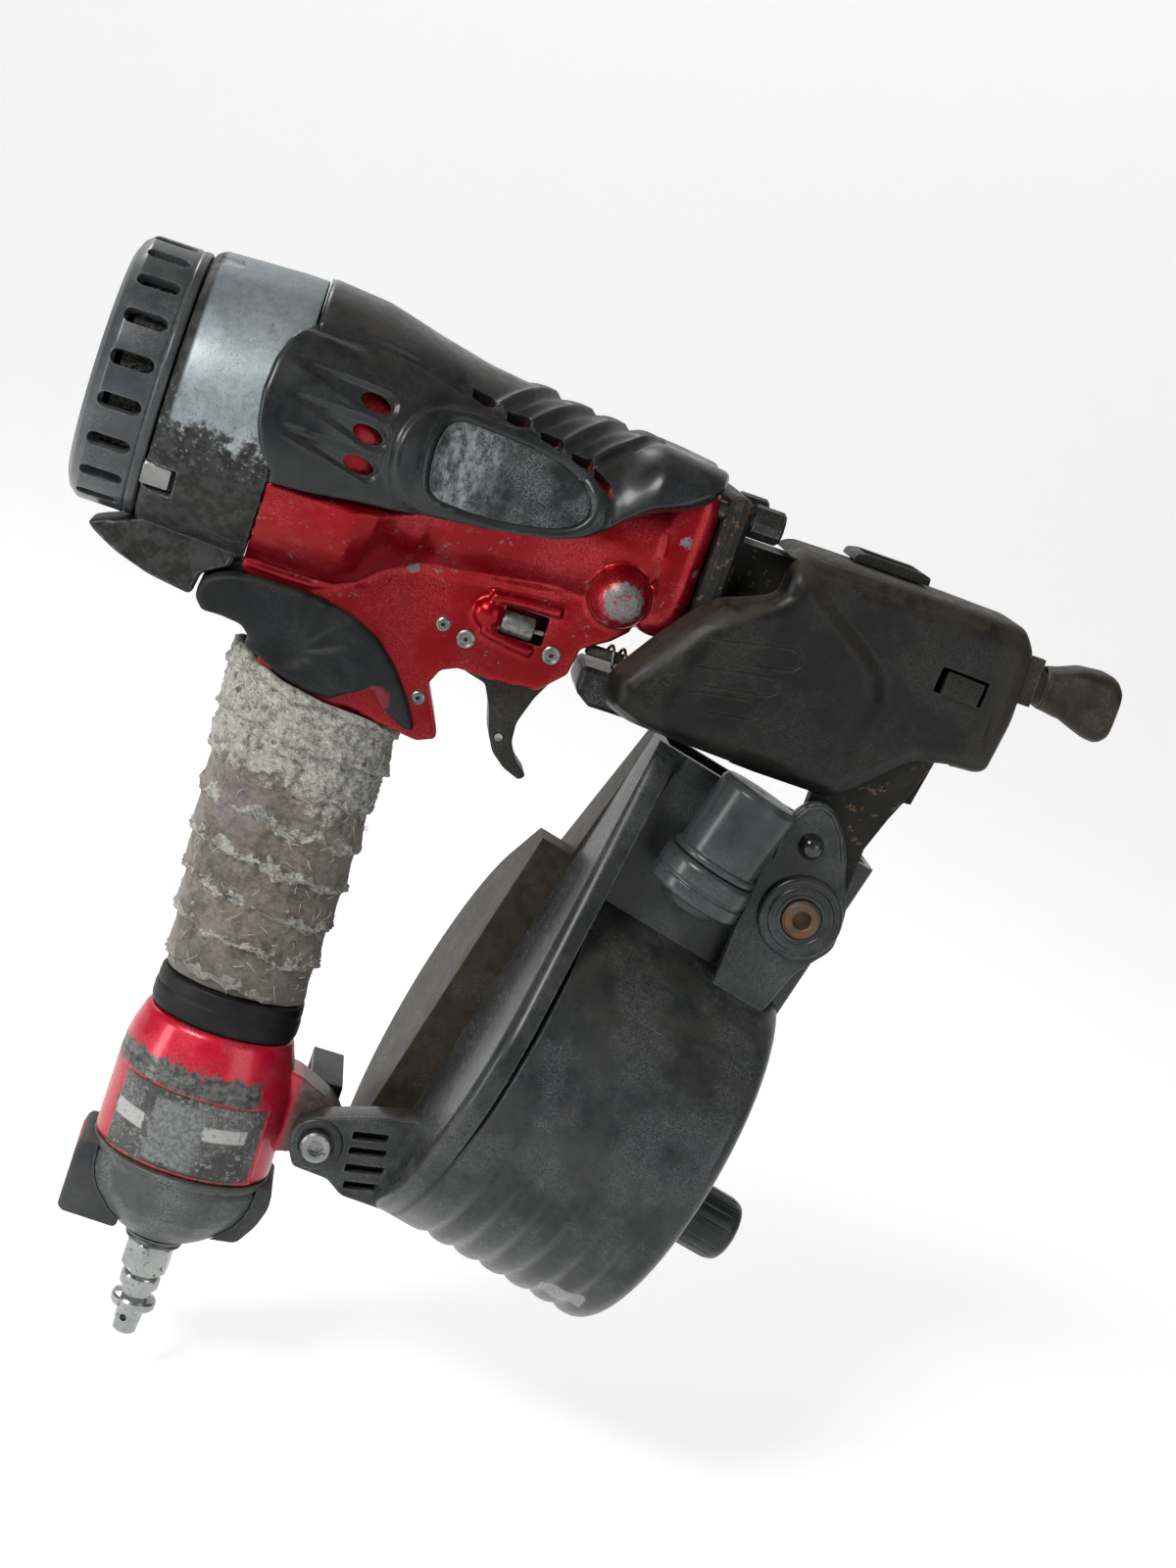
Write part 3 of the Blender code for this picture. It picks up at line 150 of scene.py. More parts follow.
def bake(ob):
    """Replace an object's mesh by the result of its modifiers."""
    bpy.context.view_layer.update()
    dg = bpy.context.evaluated_depsgraph_get()
    me = bpy.data.meshes.new_from_object(ob.evaluated_get(dg))
    ob.modifiers.clear()
    old = ob.data
    ob.data = me
    me.name = ob.name
    if old.users == 0:
        bpy.data.meshes.remove(old)
    return ob


def drop(*obs):
    for o in obs:
        bpy.data.objects.remove(o, do_unlink=True)


def boole(ob, others, op='DIFFERENCE', keep=False):
    for o in others:
        n0 = len(ob.data.vertices)
        for solver in ('MANIFOLD', 'EXACT') if n0 < 40000 else ('MANIFOLD',):
            md = ob.modifiers.new('b', 'BOOLEAN')
            md.operation = op
            md.object = o
            md.solver = solver
            bpy.context.view_layer.update()
            dg = bpy.context.evaluated_depsgraph_get()
            me = bpy.data.meshes.new_from_object(ob.evaluated_get(dg))
            ob.modifiers.clear()
            if len(me.vertices) > 8 and len(me.vertices) != n0:
                ob.data = me
                break
            bpy.data.meshes.remove(me)
    if not keep:
        drop(*others)
    return ob


def remesh(ob, voxel, its=6, factor=0.5):
    md = ob.modifiers.new('r', 'REMESH')
    md.mode = 'VOXEL'
    md.voxel_size = voxel * MM
    md.use_smooth_shade = True
    if its:
        sm = ob.modifiers.new('s', 'SMOOTH')
        sm.factor = factor
        sm.iterations = its
    bake(ob)
    for p in ob.data.polygons:
        p.use_smooth = True
    return ob


def bevel(ob, width, segments=3, angle=30.0, harden=False):
    md = ob.modifiers.new('edge', 'BEVEL')
    md.width = width * MM
    md.segments = segments
    md.limit_method = 'ANGLE'
    md.angle_limit = math.radians(angle)
    md.use_clamp_overlap = True
    bake(ob)
    sharpen(ob.data, 40.0)
    return ob


def displace(ob, fn):
    """Move each vertex along its normal by fn(x, y, z, normal), all in millimetres."""
    me = ob.data
    nor = [v.normal.copy() for v in me.vertices]
    for v, n in zip(me.vertices, nor):
        c = v.co
        d = fn(c.x * 1000, c.y * 1000, c.z * 1000, n)
        if d:
            v.co = c + n * (d * MM)
    me.update()
    return ob


def rings(bm, loops, closed_ends=True, loop_around=False, closed_rows=True):
    rows = [[bm.verts.new((p[0] * MM, p[1] * MM, p[2] * MM)) for p in lp] for lp in loops]
    n = len(rows[0])
    last = len(rows) if loop_around else len(rows) - 1
    for i in range(last):
        a, b = rows[i], rows[(i + 1) % len(rows)]
        for k in range(n if closed_rows else n - 1):
            bm.faces.new((a[k], a[(k + 1) % n], b[(k + 1) % n], b[k]))
    if closed_ends and not loop_around:
        bm.faces.new(list(reversed(rows[0])))
        bm.faces.new(rows[-1])
    return rows


def round_profile(profile, r, seg=4):
    """Round the corners of an open (along, radius) profile by up to r."""
    out = [profile[0]]
    for i in range(1, len(profile) - 1):
        p0, p, p1 = Vector(profile[i - 1]), Vector(profile[i]), Vector(profile[i + 1])
        a, b = p0 - p, p1 - p
        la, lb = a.length, b.length
        if la < 1e-6 or lb < 1e-6 or a.angle(b, math.pi) > math.radians(172):
            out.append(tuple(p))
            continue
        d = min(r, la * 0.42, lb * 0.42)
        q0, q1 = p + a.normalized() * d, p + b.normalized() * d
        for k in range(seg + 1):
            t = k / seg
            out.append(tuple(q0 * (1 - t) ** 2 + p * 2 * t * (1 - t) + q1 * t * t))
    out.append(profile[-1])
    return out


def round_outline(points, r, seg=4):
    """Round the corners of a closed outline by up to r."""
    out = []
    n = len(points)
    for i in range(n):
        p0, p, p1 = Vector(points[i - 1]), Vector(points[i]), Vector(points[(i + 1) % n])
        a, b = p0 - p, p1 - p
        d = min(r, a.length * 0.45, b.length * 0.45)
        q0, q1 = p + a.normalized() * d, p + b.normalized() * d
        for k in range(seg + 1):
            t = k / seg
            q = q0 * (1 - t) ** 2 + p * 2 * t * (1 - t) + q1 * t * t
            out.append((q.x, q.y))
    return out


def lathe_bm(profile, origin, axis, seg=96, bm=None, rnd=0.0, rseg=3):
    bm = bm or bmesh.new()
    a = Vector(axis).normalized()
    u = Vector((0, 1, 0)) if abs(a.y) < 0.9 else Vector((1, 0, 0))
    u = (u - a * u.dot(a)).normalized()
    v = a.cross(u)
    o = Vector(origin)
    solid = profile[0][1] == 0
    if rnd:
        if solid:
            profile = round_profile(profile, rnd, rseg)
        else:
            profile = round_outline(profile, rnd, rseg)
    rows = []
    for h, r in profile:
        if r <= 0:
            rows.append([bm.verts.new(tuple((o + a * h) * MM))])
        else:
            rows.append([bm.verts.new(tuple((o + a * h + (u * math.cos(t) + v * math.sin(t)) * r) * MM))
                         for t in (2 * math.pi * k / seg for k in range(seg))])
    n = len(rows)
    for i in range(n - 1 if solid else n):
        p, q = rows[i], rows[(i + 1) % n]
        for k in range(seg):
            k2 = (k + 1) % seg
            if len(p) == 1 and len(q) == 1:
                continue
            if len(p) == 1:
                bm.faces.new((p[0], q[k], q[k2]))
            elif len(q) == 1:
                bm.faces.new((p[k], p[k2], q[0]))
            else:
                bm.faces.new((p[k], p[k2], q[k2], q[k]))
    return bm


def lathe(name, profile, origin, axis, seg=96, rnd=0.0, **kw):
    return make(name, lathe_bm(profile, origin, axis, seg, rnd=rnd), **kw)


def prism_bm(points, y0, y1, bm=None):
    bm = bm or bmesh.new()
    rings(bm, [[(x, y0, z) for x, z in points], [(x, y1, z) for x, z in points]])
    return bm


def prism(name, points, y0, y1, rnd=0.0, **kw):
    if rnd:
        points = round_outline(points, rnd)
    return make(name, prism_bm(points, y0, y1), **kw)


def box_bm(x0, x1, y0, y1, z0, z1, bm=None):
    return prism_bm([(x0, z0), (x1, z0), (x1, z1), (x0, z1)], y0, y1, bm)


def ellipse(cx, z, a, b, seg=96, power=2.0):
    pts = []
    e = 2.0 / power
    for k in range(seg):
        t = 2 * math.pi * k / seg
        c, s = math.cos(t), math.sin(t)
        pts.append((cx + a * math.copysign(abs(c) ** e, c), b * math.copysign(abs(s) ** e, s), z))
    return pts


def fine_rows(table, step=1.5):
    """Rows of (z, cx, a, b) filled in between, from the highest down."""
    tab = sorted(table, reverse=True)
    out = []
    for p, q in zip(tab, tab[1:]):
        n = max(1, int(round((p[0] - q[0]) / step)))
        for i in range(n):
            t = i / n
            out.append(tuple(p[j] + (q[j] - p[j]) * t for j in range(4)))
    out.append(tab[-1])
    return out


def stack(name, table, seg=96, **kw):
    bm = bmesh.new()
    rings(bm, [ellipse(cx, z, a, b, seg) for z, cx, a, b in table])
    return make(name, bm, **kw)


def tube(name, pts, r, seg=8, **kw):
    """A closed round bar along points in millimetres."""
    bm = bmesh.new()
    P = [Vector(p) for p in pts]
    loops = []
    for i, p in enumerate(P):
        t = (P[min(i + 1, len(P) - 1)] - P[max(i - 1, 0)]).normalized()
        u = Vector((0, 1, 0)).cross(t)
        if u.length < 0.1:
            u = Vector((1, 0, 0)).cross(t)
        u.normalize()
        v = t.cross(u)
        loops.append([tuple(p + (u * math.cos(q) + v * math.sin(q)) * r) for q in (2 * math.pi * j / seg for j in range(seg))])
    rings(bm, loops)
    return make(name, bm, **kw)


def join(name, obs):
    """One object from several, meshes simply put together."""
    bm = bmesh.new()
    for o in obs:
        bm.from_mesh(o.data)
    me = bpy.data.meshes.new(name)
    bm.to_mesh(me)
    bm.free()
    ob = bpy.data.objects.new(name, me)
    COLL.objects.link(ob)
    drop(*obs)
    for p in me.polygons:
        p.use_smooth = True
    return ob


def sy(s, y, n):
    return (s * AX[0] + n * NX[0], y, s * AX[1] + n * NX[1])


def attr(ob, name, fn):
    """A per-vertex number from fn(x, y, z) in millimetres."""
    me = ob.data
    a = me.attributes.new(name, 'FLOAT', 'POINT')
    a.data.foreach_set('value', [float(fn(v.co.x * 1000, v.co.y * 1000, v.co.z * 1000)) for v in me.vertices])
    return ob


MATS = {}


def put(ob, mat, body='tool', node=None):
    """Give a finished piece its material and body, and hide the CAD node it stands for."""
    ob.data.validate()
    ob.data.update()
    ob.data.materials.clear()
    ob.data.materials.append(MATS[mat])
    for p in ob.data.polygons:
        p.material_index = 0
    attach(ob, body)
    if node:
        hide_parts(*([node] if isinstance(node, str) else node))
    return ob


# ================================================================== materials
def C(r, g, b):
    def f(v):
        v /= 255.0
        return v / 12.92 if v <= 0.04045 else ((v + 0.055) / 1.055) ** 2.4
    return (f(r), f(g), f(b), 1.0)


class Mat:
    """A material being wired: every texture runs on object coordinates in millimetres."""

    def __init__(self, name):
        self.m = bpy.data.materials.new(name)
        self.m.use_nodes = True
        self.t = self.m.node_tree
        self.b = next(n for n in self.t.nodes if n.type == 'BSDF_PRINCIPLED')
        tc = self.t.nodes.new('ShaderNodeTexCoord')
        s = self.new('ShaderNodeVectorMath', operation='SCALE')
        s.inputs['Scale'].default_value = 1000.0
        self.t.links.new(tc.outputs['Object'], s.inputs[0])
        self.co = s.outputs[0]
        x = self.new('ShaderNodeSeparateXYZ')
        self.t.links.new(self.co, x.inputs[0])
        self.x, self.y, self.z = x.outputs

    def new(self, kind, **kw):
        n = self.t.nodes.new(kind)
        for k, v in kw.items():
            setattr(n, k, v)
        return n

    def put(self, sock, v):
        if isinstance(v, (int, float)):
            sock.default_value = v
        elif isinstance(v, (tuple, list)):
            sock.default_value = v
        else:
            self.t.links.new(v, sock)

    def math(self, op, a, b=0.0, c=0.0, clamp=False):
        n = self.new('ShaderNodeMath', operation=op, use_clamp=clamp)
        self.put(n.inputs[0], a)
        self.put(n.inputs[1], b)
        if len(n.inputs) > 2:
            self.put(n.inputs[2], c)
        return n.outputs[0]

    def add(self, a, b): return self.math('ADD', a, b)
    def sub(self, a, b): return self.math('SUBTRACT', a, b)
    def mul(self, a, b): return self.math('MULTIPLY', a, b)
    def mx(self, a, b): return self.math('MAXIMUM', a, b)
    def inv(self, a): return self.math('SUBTRACT', 1.0, a)

    def step(self, v, a, b, lo=0.0, hi=1.0):
        if a > b:
            a, b, lo, hi = b, a, hi, lo
        n = self.new('ShaderNodeMapRange', interpolation_type='SMOOTHSTEP')
        self.put(n.inputs['Value'], v)
        n.inputs['From Min'].default_value = a
        n.inputs['From Max'].default_value = b
        n.inputs['To Min'].default_value = lo
        n.inputs['To Max'].default_value = hi
        return n.outputs['Result']

    def band(self, v, a, b, soft=1.0):
        return self.mul(self.step(v, a - soft, a + soft), self.step(v, b + soft, b - soft))

    def vec(self, sx=1.0, sy=1.0, sz=1.0, rot=(0, 0, 0), off=(0, 0, 0)):
        n = self.new('ShaderNodeMapping')
        n.inputs['Scale'].default_value = (sx, sy, sz)
        n.inputs['Rotation'].default_value = rot
        n.inputs['Location'].default_value = off
        self.t.links.new(self.co, n.inputs['Vector'])
        return n.outputs[0]

    def noise(self, scale, detail=4.0, rough=0.6, vec=None, dist=0.0, colour=False):
        n = self.new('ShaderNodeTexNoise')
        n.inputs['Scale'].default_value = scale
        n.inputs['Detail'].default_value = detail
        n.inputs['Roughness'].default_value = rough
        n.inputs['Distortion'].default_value = dist
        self.t.links.new(vec or self.co, n.inputs['Vector'])
        return n.outputs['Color' if colour else 'Fac']

    def voro(self, scale, vec=None, feature='F1', out='Distance', rnd=1.0):
        n = self.new('ShaderNodeTexVoronoi', feature=feature)
        n.inputs['Scale'].default_value = scale
        n.inputs['Randomness'].default_value = rnd
        self.t.links.new(vec or self.co, n.inputs['Vector'])
        return n.outputs[out]

    def mix(self, f, a, b):
        n = self.new('ShaderNodeMix', data_type='RGBA')
        self.put(n.inputs[0], f)
        self.put(n.inputs[6], a)
        self.put(n.inputs[7], b)
        return n.outputs[2]

    def attr(self, name):
        n = self.new('ShaderNodeAttribute', attribute_name=name)
        return n.outputs['Fac']

    def up(self, a=0.2, b=0.9):
        g = self.new('ShaderNodeNewGeometry')
        s = self.new('ShaderNodeSeparateXYZ')
        self.t.links.new(g.outputs['Normal'], s.inputs[0])
        return self.step(s.outputs[2], a, b)

    def edge(self, r, lo=0.015, hi=0.14):
        g = self.new('ShaderNodeNewGeometry')
        b = self.new('ShaderNodeBevel', samples=3)
        b.inputs['Radius'].default_value = r * MM
        d = self.new('ShaderNodeVectorMath', operation='DOT_PRODUCT')
        self.t.links.new(g.outputs['Normal'], d.inputs[0])
        self.t.links.new(b.outputs['Normal'], d.inputs[1])
        return self.step(self.sub(1.0, d.outputs['Value']), lo, hi)

    def near(self, p, r, soft=0.6, wob=None):
        d = self.new('ShaderNodeVectorMath', operation='DISTANCE')
        self.t.links.new(self.co, d.inputs[0])
        d.inputs[1].default_value = p
        v = d.outputs['Value']
        if wob is not None:
            v = self.add(v, wob)
        return self.step(v, r + soft, r - soft)

    def scratches(self, seed=0, amount=0.5):
        """Fine hair scratches in three directions, gathered in patches."""
        out = None
        for i, rot in enumerate(((0.3, 0.2, 0.5), (1.1, 0.7, -0.4), (-0.6, 1.3, 1.2))):
            v = self.vec(0.9, 0.035, 0.9, rot=rot, off=(seed * 7.3 + i * 3.1, seed, i))
            n = self.noise(1.6, 2.0, 0.5, v)
            line = self.step(self.math('ABSOLUTE', self.sub(n, 0.5)), 0.016, 0.003)
            out = line if out is None else self.mx(out, line)
        patch = self.step(self.noise(0.07, 3.0, 0.6, self.vec(off=(seed * 11.0, 3, 5))), 0.40, 0.60)
        return self.mul(self.mul(out, patch), amount)

    def bump(self, h, strength=0.3, dist=0.1, normal=None):
        n = self.new('ShaderNodeBump')
        n.inputs['Strength'].default_value = strength
        n.inputs['Distance'].default_value = dist * MM
        self.t.links.new(h, n.inputs['Height'])
        if normal is not None:
            self.t.links.new(normal, n.inputs['Normal'])
        return n.outputs[0]

    def done(self, colour, rough, normal=None, metal=None, **kw):
        self.put(self.b.inputs['Base Color'], colour)
        self.put(self.b.inputs['Roughness'], rough)
        self.b.inputs['Specular IOR Level'].default_value = 0.16
        if normal is not None:
            self.t.links.new(normal, self.b.inputs['Normal'])
        if metal is not None:
            self.put(self.b.inputs['Metallic'], metal)
        for k, v in kw.items():
            self.b.inputs[k.replace('_', ' ').title().replace('Ior', 'IOR')].default_value = v
        return self.m


KS = {'head_grey_metal': 0.75, 'tab_metal': 0.7, 'body_red_paint': 0.72, 'pin_steel': 0.7, 'bright_steel': 0.7, 'liner_aluminium': 0.8, 'bumper_urethane': 0.8, 'plug_chrome': 0.8,
      'tape_threads': 0.75, 'end_cap_paint': 1.0, 'cup_grey': 0.6, 'foot_rubber': 0.65, 'foot_inset_orange': 1.0, 'blank_label': 0.5, 'spring_steel': 0.7, 'rusty_bolt': 0.6,
      'valve_brass': 0.85, 'roller_steel': 0.9, 'collar_steel': 0.8, 'dark_steel': 0.55, 'feeder_satin': 0.34, 'drum_black_plastic': 0.42, 'guard_black_rubber': 0.25, 'overmould_rubber': 0.22, 'grip_ring_rubber': 0.25, 'hook_black_steel': 0.1, 'trigger_black': 0.32, 'nose_casting_black': 0.35,
      'nose_cover_plastic': 0.25, 'contact_steel': 0.5, 'badge_film': 0.6}


def dim(c, k):
    return (c[0] * k, c[1] * k, c[2] * k, 1.0)


def surf(name, base, alt, rough=0.5, metal=0.0, grain=(3.0, 0.12, 0.05), mottle=0.06, dust=None, wear=None, scratch=None,
         flecks=None, extra=None, seed=0.0, **kw):
    """Worn plastic or metal: mottled colour, dust on upward faces, rubbed edges, hair scratches and grain."""
    m = Mat(name)
    k = KS.get(name, 0.45)
    base, alt = dim(base, k), dim(alt, k)
    dust = dust and (dim(dust[0], k * 1.3), dust[1])
    wear = wear and (dim(wear[0], min(1.0, k * 1.3)),) + tuple(wear[1:])
    scratch = scratch and (dim(scratch[0], min(1.0, k * 1.6)), scratch[1])
    big = m.noise(mottle, 5.0, 0.65, m.vec(off=(seed, seed * 2, 0)))
    small = m.noise(mottle * 9, 4.0, 0.6)
    f = m.step(m.add(m.mul(big, 0.7), m.mul(small, 0.3)), 0.34, 0.66)
    col = m.mix(f, base, alt)
    r = m.add(m.mul(m.sub(small, 0.5), 0.25), m.add(m.mul(m.sub(big, 0.5), 0.2), rough))
    h = m.noise(grain[0], 3.0, 0.6)
    met = metal
    if flecks:
        c, scale, th = flecks
        fl = m.step(m.noise(scale, 3.0, 0.7, m.vec(off=(seed + 4, 9, 2))), th, th + 0.03)
        col = m.mix(fl, col, c)
    if dust:
        c, amount = dust
        d = m.mul(m.mul(m.up(0.1, 0.95), m.step(m.noise(0.11, 5.0, 0.7, m.vec(off=(seed, 1, 8))), 0.36, 0.62)), amount)
        d = m.mx(d, m.mul(m.step(m.noise(1.2, 3.0, 0.7), 0.64, 0.74), amount * 0.5))
        col = m.mix(d, col, c)
        r = m.add(r, m.mul(d, 0.25))
    if scratch:
        c, amount = scratch
        s = m.scratches(seed, amount)
        col = m.mix(s, col, c)
        h = m.sub(h, m.mul(s, 0.6))
    if extra:
        col, r, h, met = extra(m, col, r, h, met)
    if wear:
        c, rad, amount = wear[:3]
        e = m.edge(rad)
        e = m.mul(e, m.step(m.add(m.mul(m.noise(0.5, 4.0, 0.7, m.vec(off=(seed, 5, 3))), 0.7), m.mul(m.noise(3.0, 3.0, 0.7), 0.3)), 0.40, 0.58))
        e = m.mul(e, amount)
        col = m.mix(e, col, c)
        if len(wear) > 3:
            met = m.add(m.mul(e, wear[3]), metal) if isinstance(met, (int, float)) else met
    nrm = m.bump(h, grain[1], grain[2])
    return m.done(col, r, nrm, met, **kw)


def tape():
    m = Mat('grip_tape')
    w = m.attr('white')
    turn = m.attr('turn')
    fine = m.noise(2.2, 4.0, 0.75)
    mid = m.noise(0.45, 5.0, 0.7)
    big = m.noise(0.09, 4.0, 0.6)
    white = m.mix(m.step(m.add(m.mul(fine, 0.5), m.mul(mid, 0.5)), 0.36, 0.62), C(76, 75, 68), C(156, 156, 148))
    olive = m.mix(m.step(m.add(m.mul(mid, 0.6), m.mul(big, 0.4)), 0.36, 0.62), C(54, 49, 40), C(104, 96, 86))
    # threads run along the turns
    thread = m.noise(1.3, 3.0, 0.6, m.vec(0.25, 0.25, 3.2, rot=(0.17, 0.0, 0.0)))
    olive = m.mix(m.mul(m.step(thread, 0.5, 0.72), 0.35), olive, C(132, 126, 116))
    f = m.step(m.add(w, m.mul(m.sub(m.add(m.mul(fine, 0.6), m.mul(mid, 0.4)), 0.5), 1.1)), 0.48, 0.70)
    col = m.mix(f, olive, white)
    seam = m.mul(m.mx(m.step(turn, 0.955, 0.995), m.step(turn, 0.03, 0.0)), 0.75)
    col = m.mix(seam, col, C(48, 44, 41))
    crack = m.step(m.voro(0.55, m.vec(1, 1, 1.3), 'DISTANCE_TO_EDGE'), 0.03, 0.0)
    col = m.mix(m.mul(m.mul(crack, f), 0.45), col, C(84, 80, 76))
    spots = m.step(m.noise(1.0, 3.0, 0.7, m.vec(off=(30, 4, 6))), 0.63, 0.70)
    col = m.mix(m.mul(spots, 0.7), col, C(62, 58, 56))
    stain = m.mul(m.near((-12.0, -14.0, 9.0), 6.0, 4.0, m.mul(m.sub(mid, 0.5), 12.0)), 0.2)
    col = m.mix(stain, col, C(112, 92, 120))
    grime = m.mul(m.step(m.z, -24.0, -37.0), m.step(mid, 0.4, 0.6))
    col = m.mix(m.mul(grime, 0.7), col, C(58, 56, 54))
    h = m.add(m.mul(fine, 0.8), m.add(m.mul(mid, 1.2), m.mul(thread, 0.5)))
    h = m.sub(h, m.mul(seam, 0.6))
    return m.done(col, m.add(0.78, m.mul(fine, 0.2)), m.bump(h, 0.7, 0.35), 0.0, sheen_weight=0.25, sheen_roughness=0.6)


def make_mats():
    def head_x(m, col, r, h, met):
        wob = m.mul(m.sub(m.noise(0.10, 5.0, 0.7), 0.5), 34.0)
        fine = m.mul(m.sub(m.noise(0.55, 5.0, 0.75), 0.5), 16.0)
        zz = m.add(m.add(m.z, wob), fine)
        bare = m.step(zz, 97.5, 101.5)
        bare = m.mul(bare, m.step(m.x, -56.0, -54.6))
        dark = m.mix(m.step(m.noise(0.3, 4.0, 0.7), 0.4, 0.62), C(26, 26, 25), C(46, 47, 46))
        fl = m.step(m.noise(0.9, 4.0, 0.75), 0.57, 0.63)
        zone = m.mul(m.step(m.z, 86.0, 93.0), m.step(m.z, 112.0, 102.0))
        col = m.mix(bare, dark, col)
        col = m.mix(m.mul(m.mul(fl, zone), 0.8), col, C(96, 100, 101))
        sp = m.step(m.noise(1.5, 3.0, 0.8, m.vec(off=(7, 7, 7))), 0.62, 0.66)
        col = m.mix(m.mul(sp, 0.8), col, C(46, 46, 45))
        h = m.add(h, m.mul(bare, 0.6))
        r = m.add(r, m.mul(m.inv(bare), 0.12))
        return col, r, h, m.add(0.15, m.mul(bare, 0.45))

    CHIPS = [((-7.7, -23.6, 84.9), 1.0), ((-24.5, -28.0, 84.9), 0.8), ((-19.3, -28.0, 87.7), 0.6), ((1.8, -25.0, 89.0), 0.8), ((9.9, -14.0, 80.8), 1.6), ((70.8, -20.5, 107.9), 1.5),
             ((75.9, -19.0, 101.0), 1.2), ((52.0, -27.0, 97.0), 1.1), ((47.0, -27.0, 95.0), 0.9), ((62.0, -26.0, 91.0), 1.0), ((60.0, -28.0, 90.0), 5.0), ((33.0, -24.0, 84.0), 0.7)]

    def red_x(m, col, r, h, met):
        wob = m.mul(m.sub(m.noise(0.7, 5.0, 0.8), 0.5), 6.0)
        ch = None
        for p, rad in CHIPS:
            c = m.near(p, rad, 0.25, wob)
            ch = c if ch is None else m.mx(ch, c)
        ch = m.mul(ch, m.step(m.noise(0.9, 5.0, 0.8, m.vec(off=(6, 1, 4))), 0.40, 0.47))
        area = m.step(m.noise(0.06, 3.0, 0.6, m.vec(off=(5, 2, 9))), 0.47, 0.60)
        small = m.mul(m.mul(m.step(m.noise(0.42, 4.0, 0.75, m.vec(off=(3, 33, 5))), 0.625, 0.64), area), 0.9)
        ch = m.mx(ch, small)
        seam = m.mul(m.step(m.x, -52.0, -55.5), 0.8)
        col = m.mix(seam, col, C(84, 30, 32))
        # painted shade: the red is darkened below z 66 to 78, towards the underside of the casting
        low = m.mul(m.step(m.z, 78.0, 66.0), 0.4)
        col = m.mix(low, col, C(96, 4, 10))
        col = m.mix(ch, col, m.mix(m.noise(2.0, 3.0, 0.6), C(62, 66, 66), C(120, 126, 126)))
        h = m.sub(h, m.mul(ch, 2.0))
        r = m.add(r, m.mul(ch, 0.25))
        return col, r, h, met

    def cap_x(m, col, r, h, met):
        d = m.step(m.x, -62.0, -54.0)
        col = m.mix(m.mul(d, 0.2), col, C(52, 52, 50))
        return col, r, h, met

    def ecap_x(m, col, r, h, met):
        wob = m.mul(m.sub(m.noise(0.35, 5.0, 0.75), 0.5), 9.0)
        fine = m.mul(m.sub(m.noise(1.6, 3.0, 0.7), 0.5), 2.5)
        zz = m.add(m.z, m.add(wob, fine))
        side = m.step(m.add(m.x, m.mul(wob, 0.5)), 14.5, 16.5)
        right = m.mul(side, m.step(m.x, 27.5, 25.0))
        redm = m.mx(m.step(zz, -57.2, -56.0), right)
        left = m.mul(m.step(m.add(m.x, wob), -17.5, -19.0), m.step(zz, -60.0, -66.0))
        redm = m.mx(redm, m.mul(left, 0.9))
        lug = m.step(m.x, 23.5, 26.0)
        redm = m.mul(redm, m.inv(m.mul(lug, 0.85)))
        back = m.step(m.y, -4.0, 6.0)
        redm = m.mx(redm, m.mul(back, m.mul(m.inv(lug), m.step(m.noise(0.12, 4.0, 0.7), 0.40, 0.47))))
        grey = m.mix(m.step(m.noise(0.5, 5.0, 0.7), 0.38, 0.64), C(48, 49, 48), C(88, 89, 87))
        frame = m.mul(m.band(m.z, -84.0, -62.8, 0.3), m.inv(m.band(m.z, -83.3, -63.5, 0.3)))
        redm = m.mx(redm, m.mul(m.mul(frame, m.step(m.y, -6.0, -9.0)), m.step(m.noise(0.6, 3.0, 0.6), 0.44, 0.5)))
        col = m.mix(redm, grey, col)
        r = m.add(m.mul(m.inv(redm), 0.18), r)
        h = m.add(h, m.mul(redm, 1.2))
        brown = m.mul(lug, m.step(m.noise(0.3, 4.0, 0.7), 0.4, 0.6))
        col = m.mix(m.mul(brown, 0.6), col, C(88, 58, 50))
        return col, r, h, met

    def label_x(m, col, r, h, met):
        n = m.noise(0.45, 5.0, 0.75)
        n2 = m.noise(0.9, 3.0, 0.6)
        wob = m.mul(m.sub(n, 0.5), 11.0)
        wf = m.mul(m.sub(n2, 0.5), 2.0)
        x = m.add(m.x, wob)
        z = m.add(m.z, m.add(m.mul(wob, 0.3), wf))
        torn = m.mx(m.mul(m.band(x, -9.5, 4.0, 0.6), m.band(z, -82.0, -65.5, 0.6)), m.step(m.add(m.mul(n, 0.5), m.mul(n2, 0.5)), 0.56, 0.60))
        b1 = m.mul(m.band(m.add(m.x, wf), -18.4, -11.0, 0.3), m.band(m.add(m.z, m.mul(m.x, 0.1)), -76.6, -72.4, 0.3))
        b2 = m.mul(m.band(m.add(m.x, wf), 4.0, 15.0, 0.3), m.band(m.sub(m.z, m.mul(m.x, 0.05)), -73.2, -69.6, 0.3))
        col = m.mix(m.mul(m.mx(b1, b2), 0.9), col, m.mix(n2, C(120, 122, 120), C(176, 178, 174)))
        grey = m.mix(m.step(n2, 0.3, 0.7), C(78, 80, 80), C(112, 114, 113))
        col = m.mix(m.mul(torn, 0.9), col, grey)
        return col, m.add(r, m.mul(torn, 0.2)), m.sub(h, torn), met

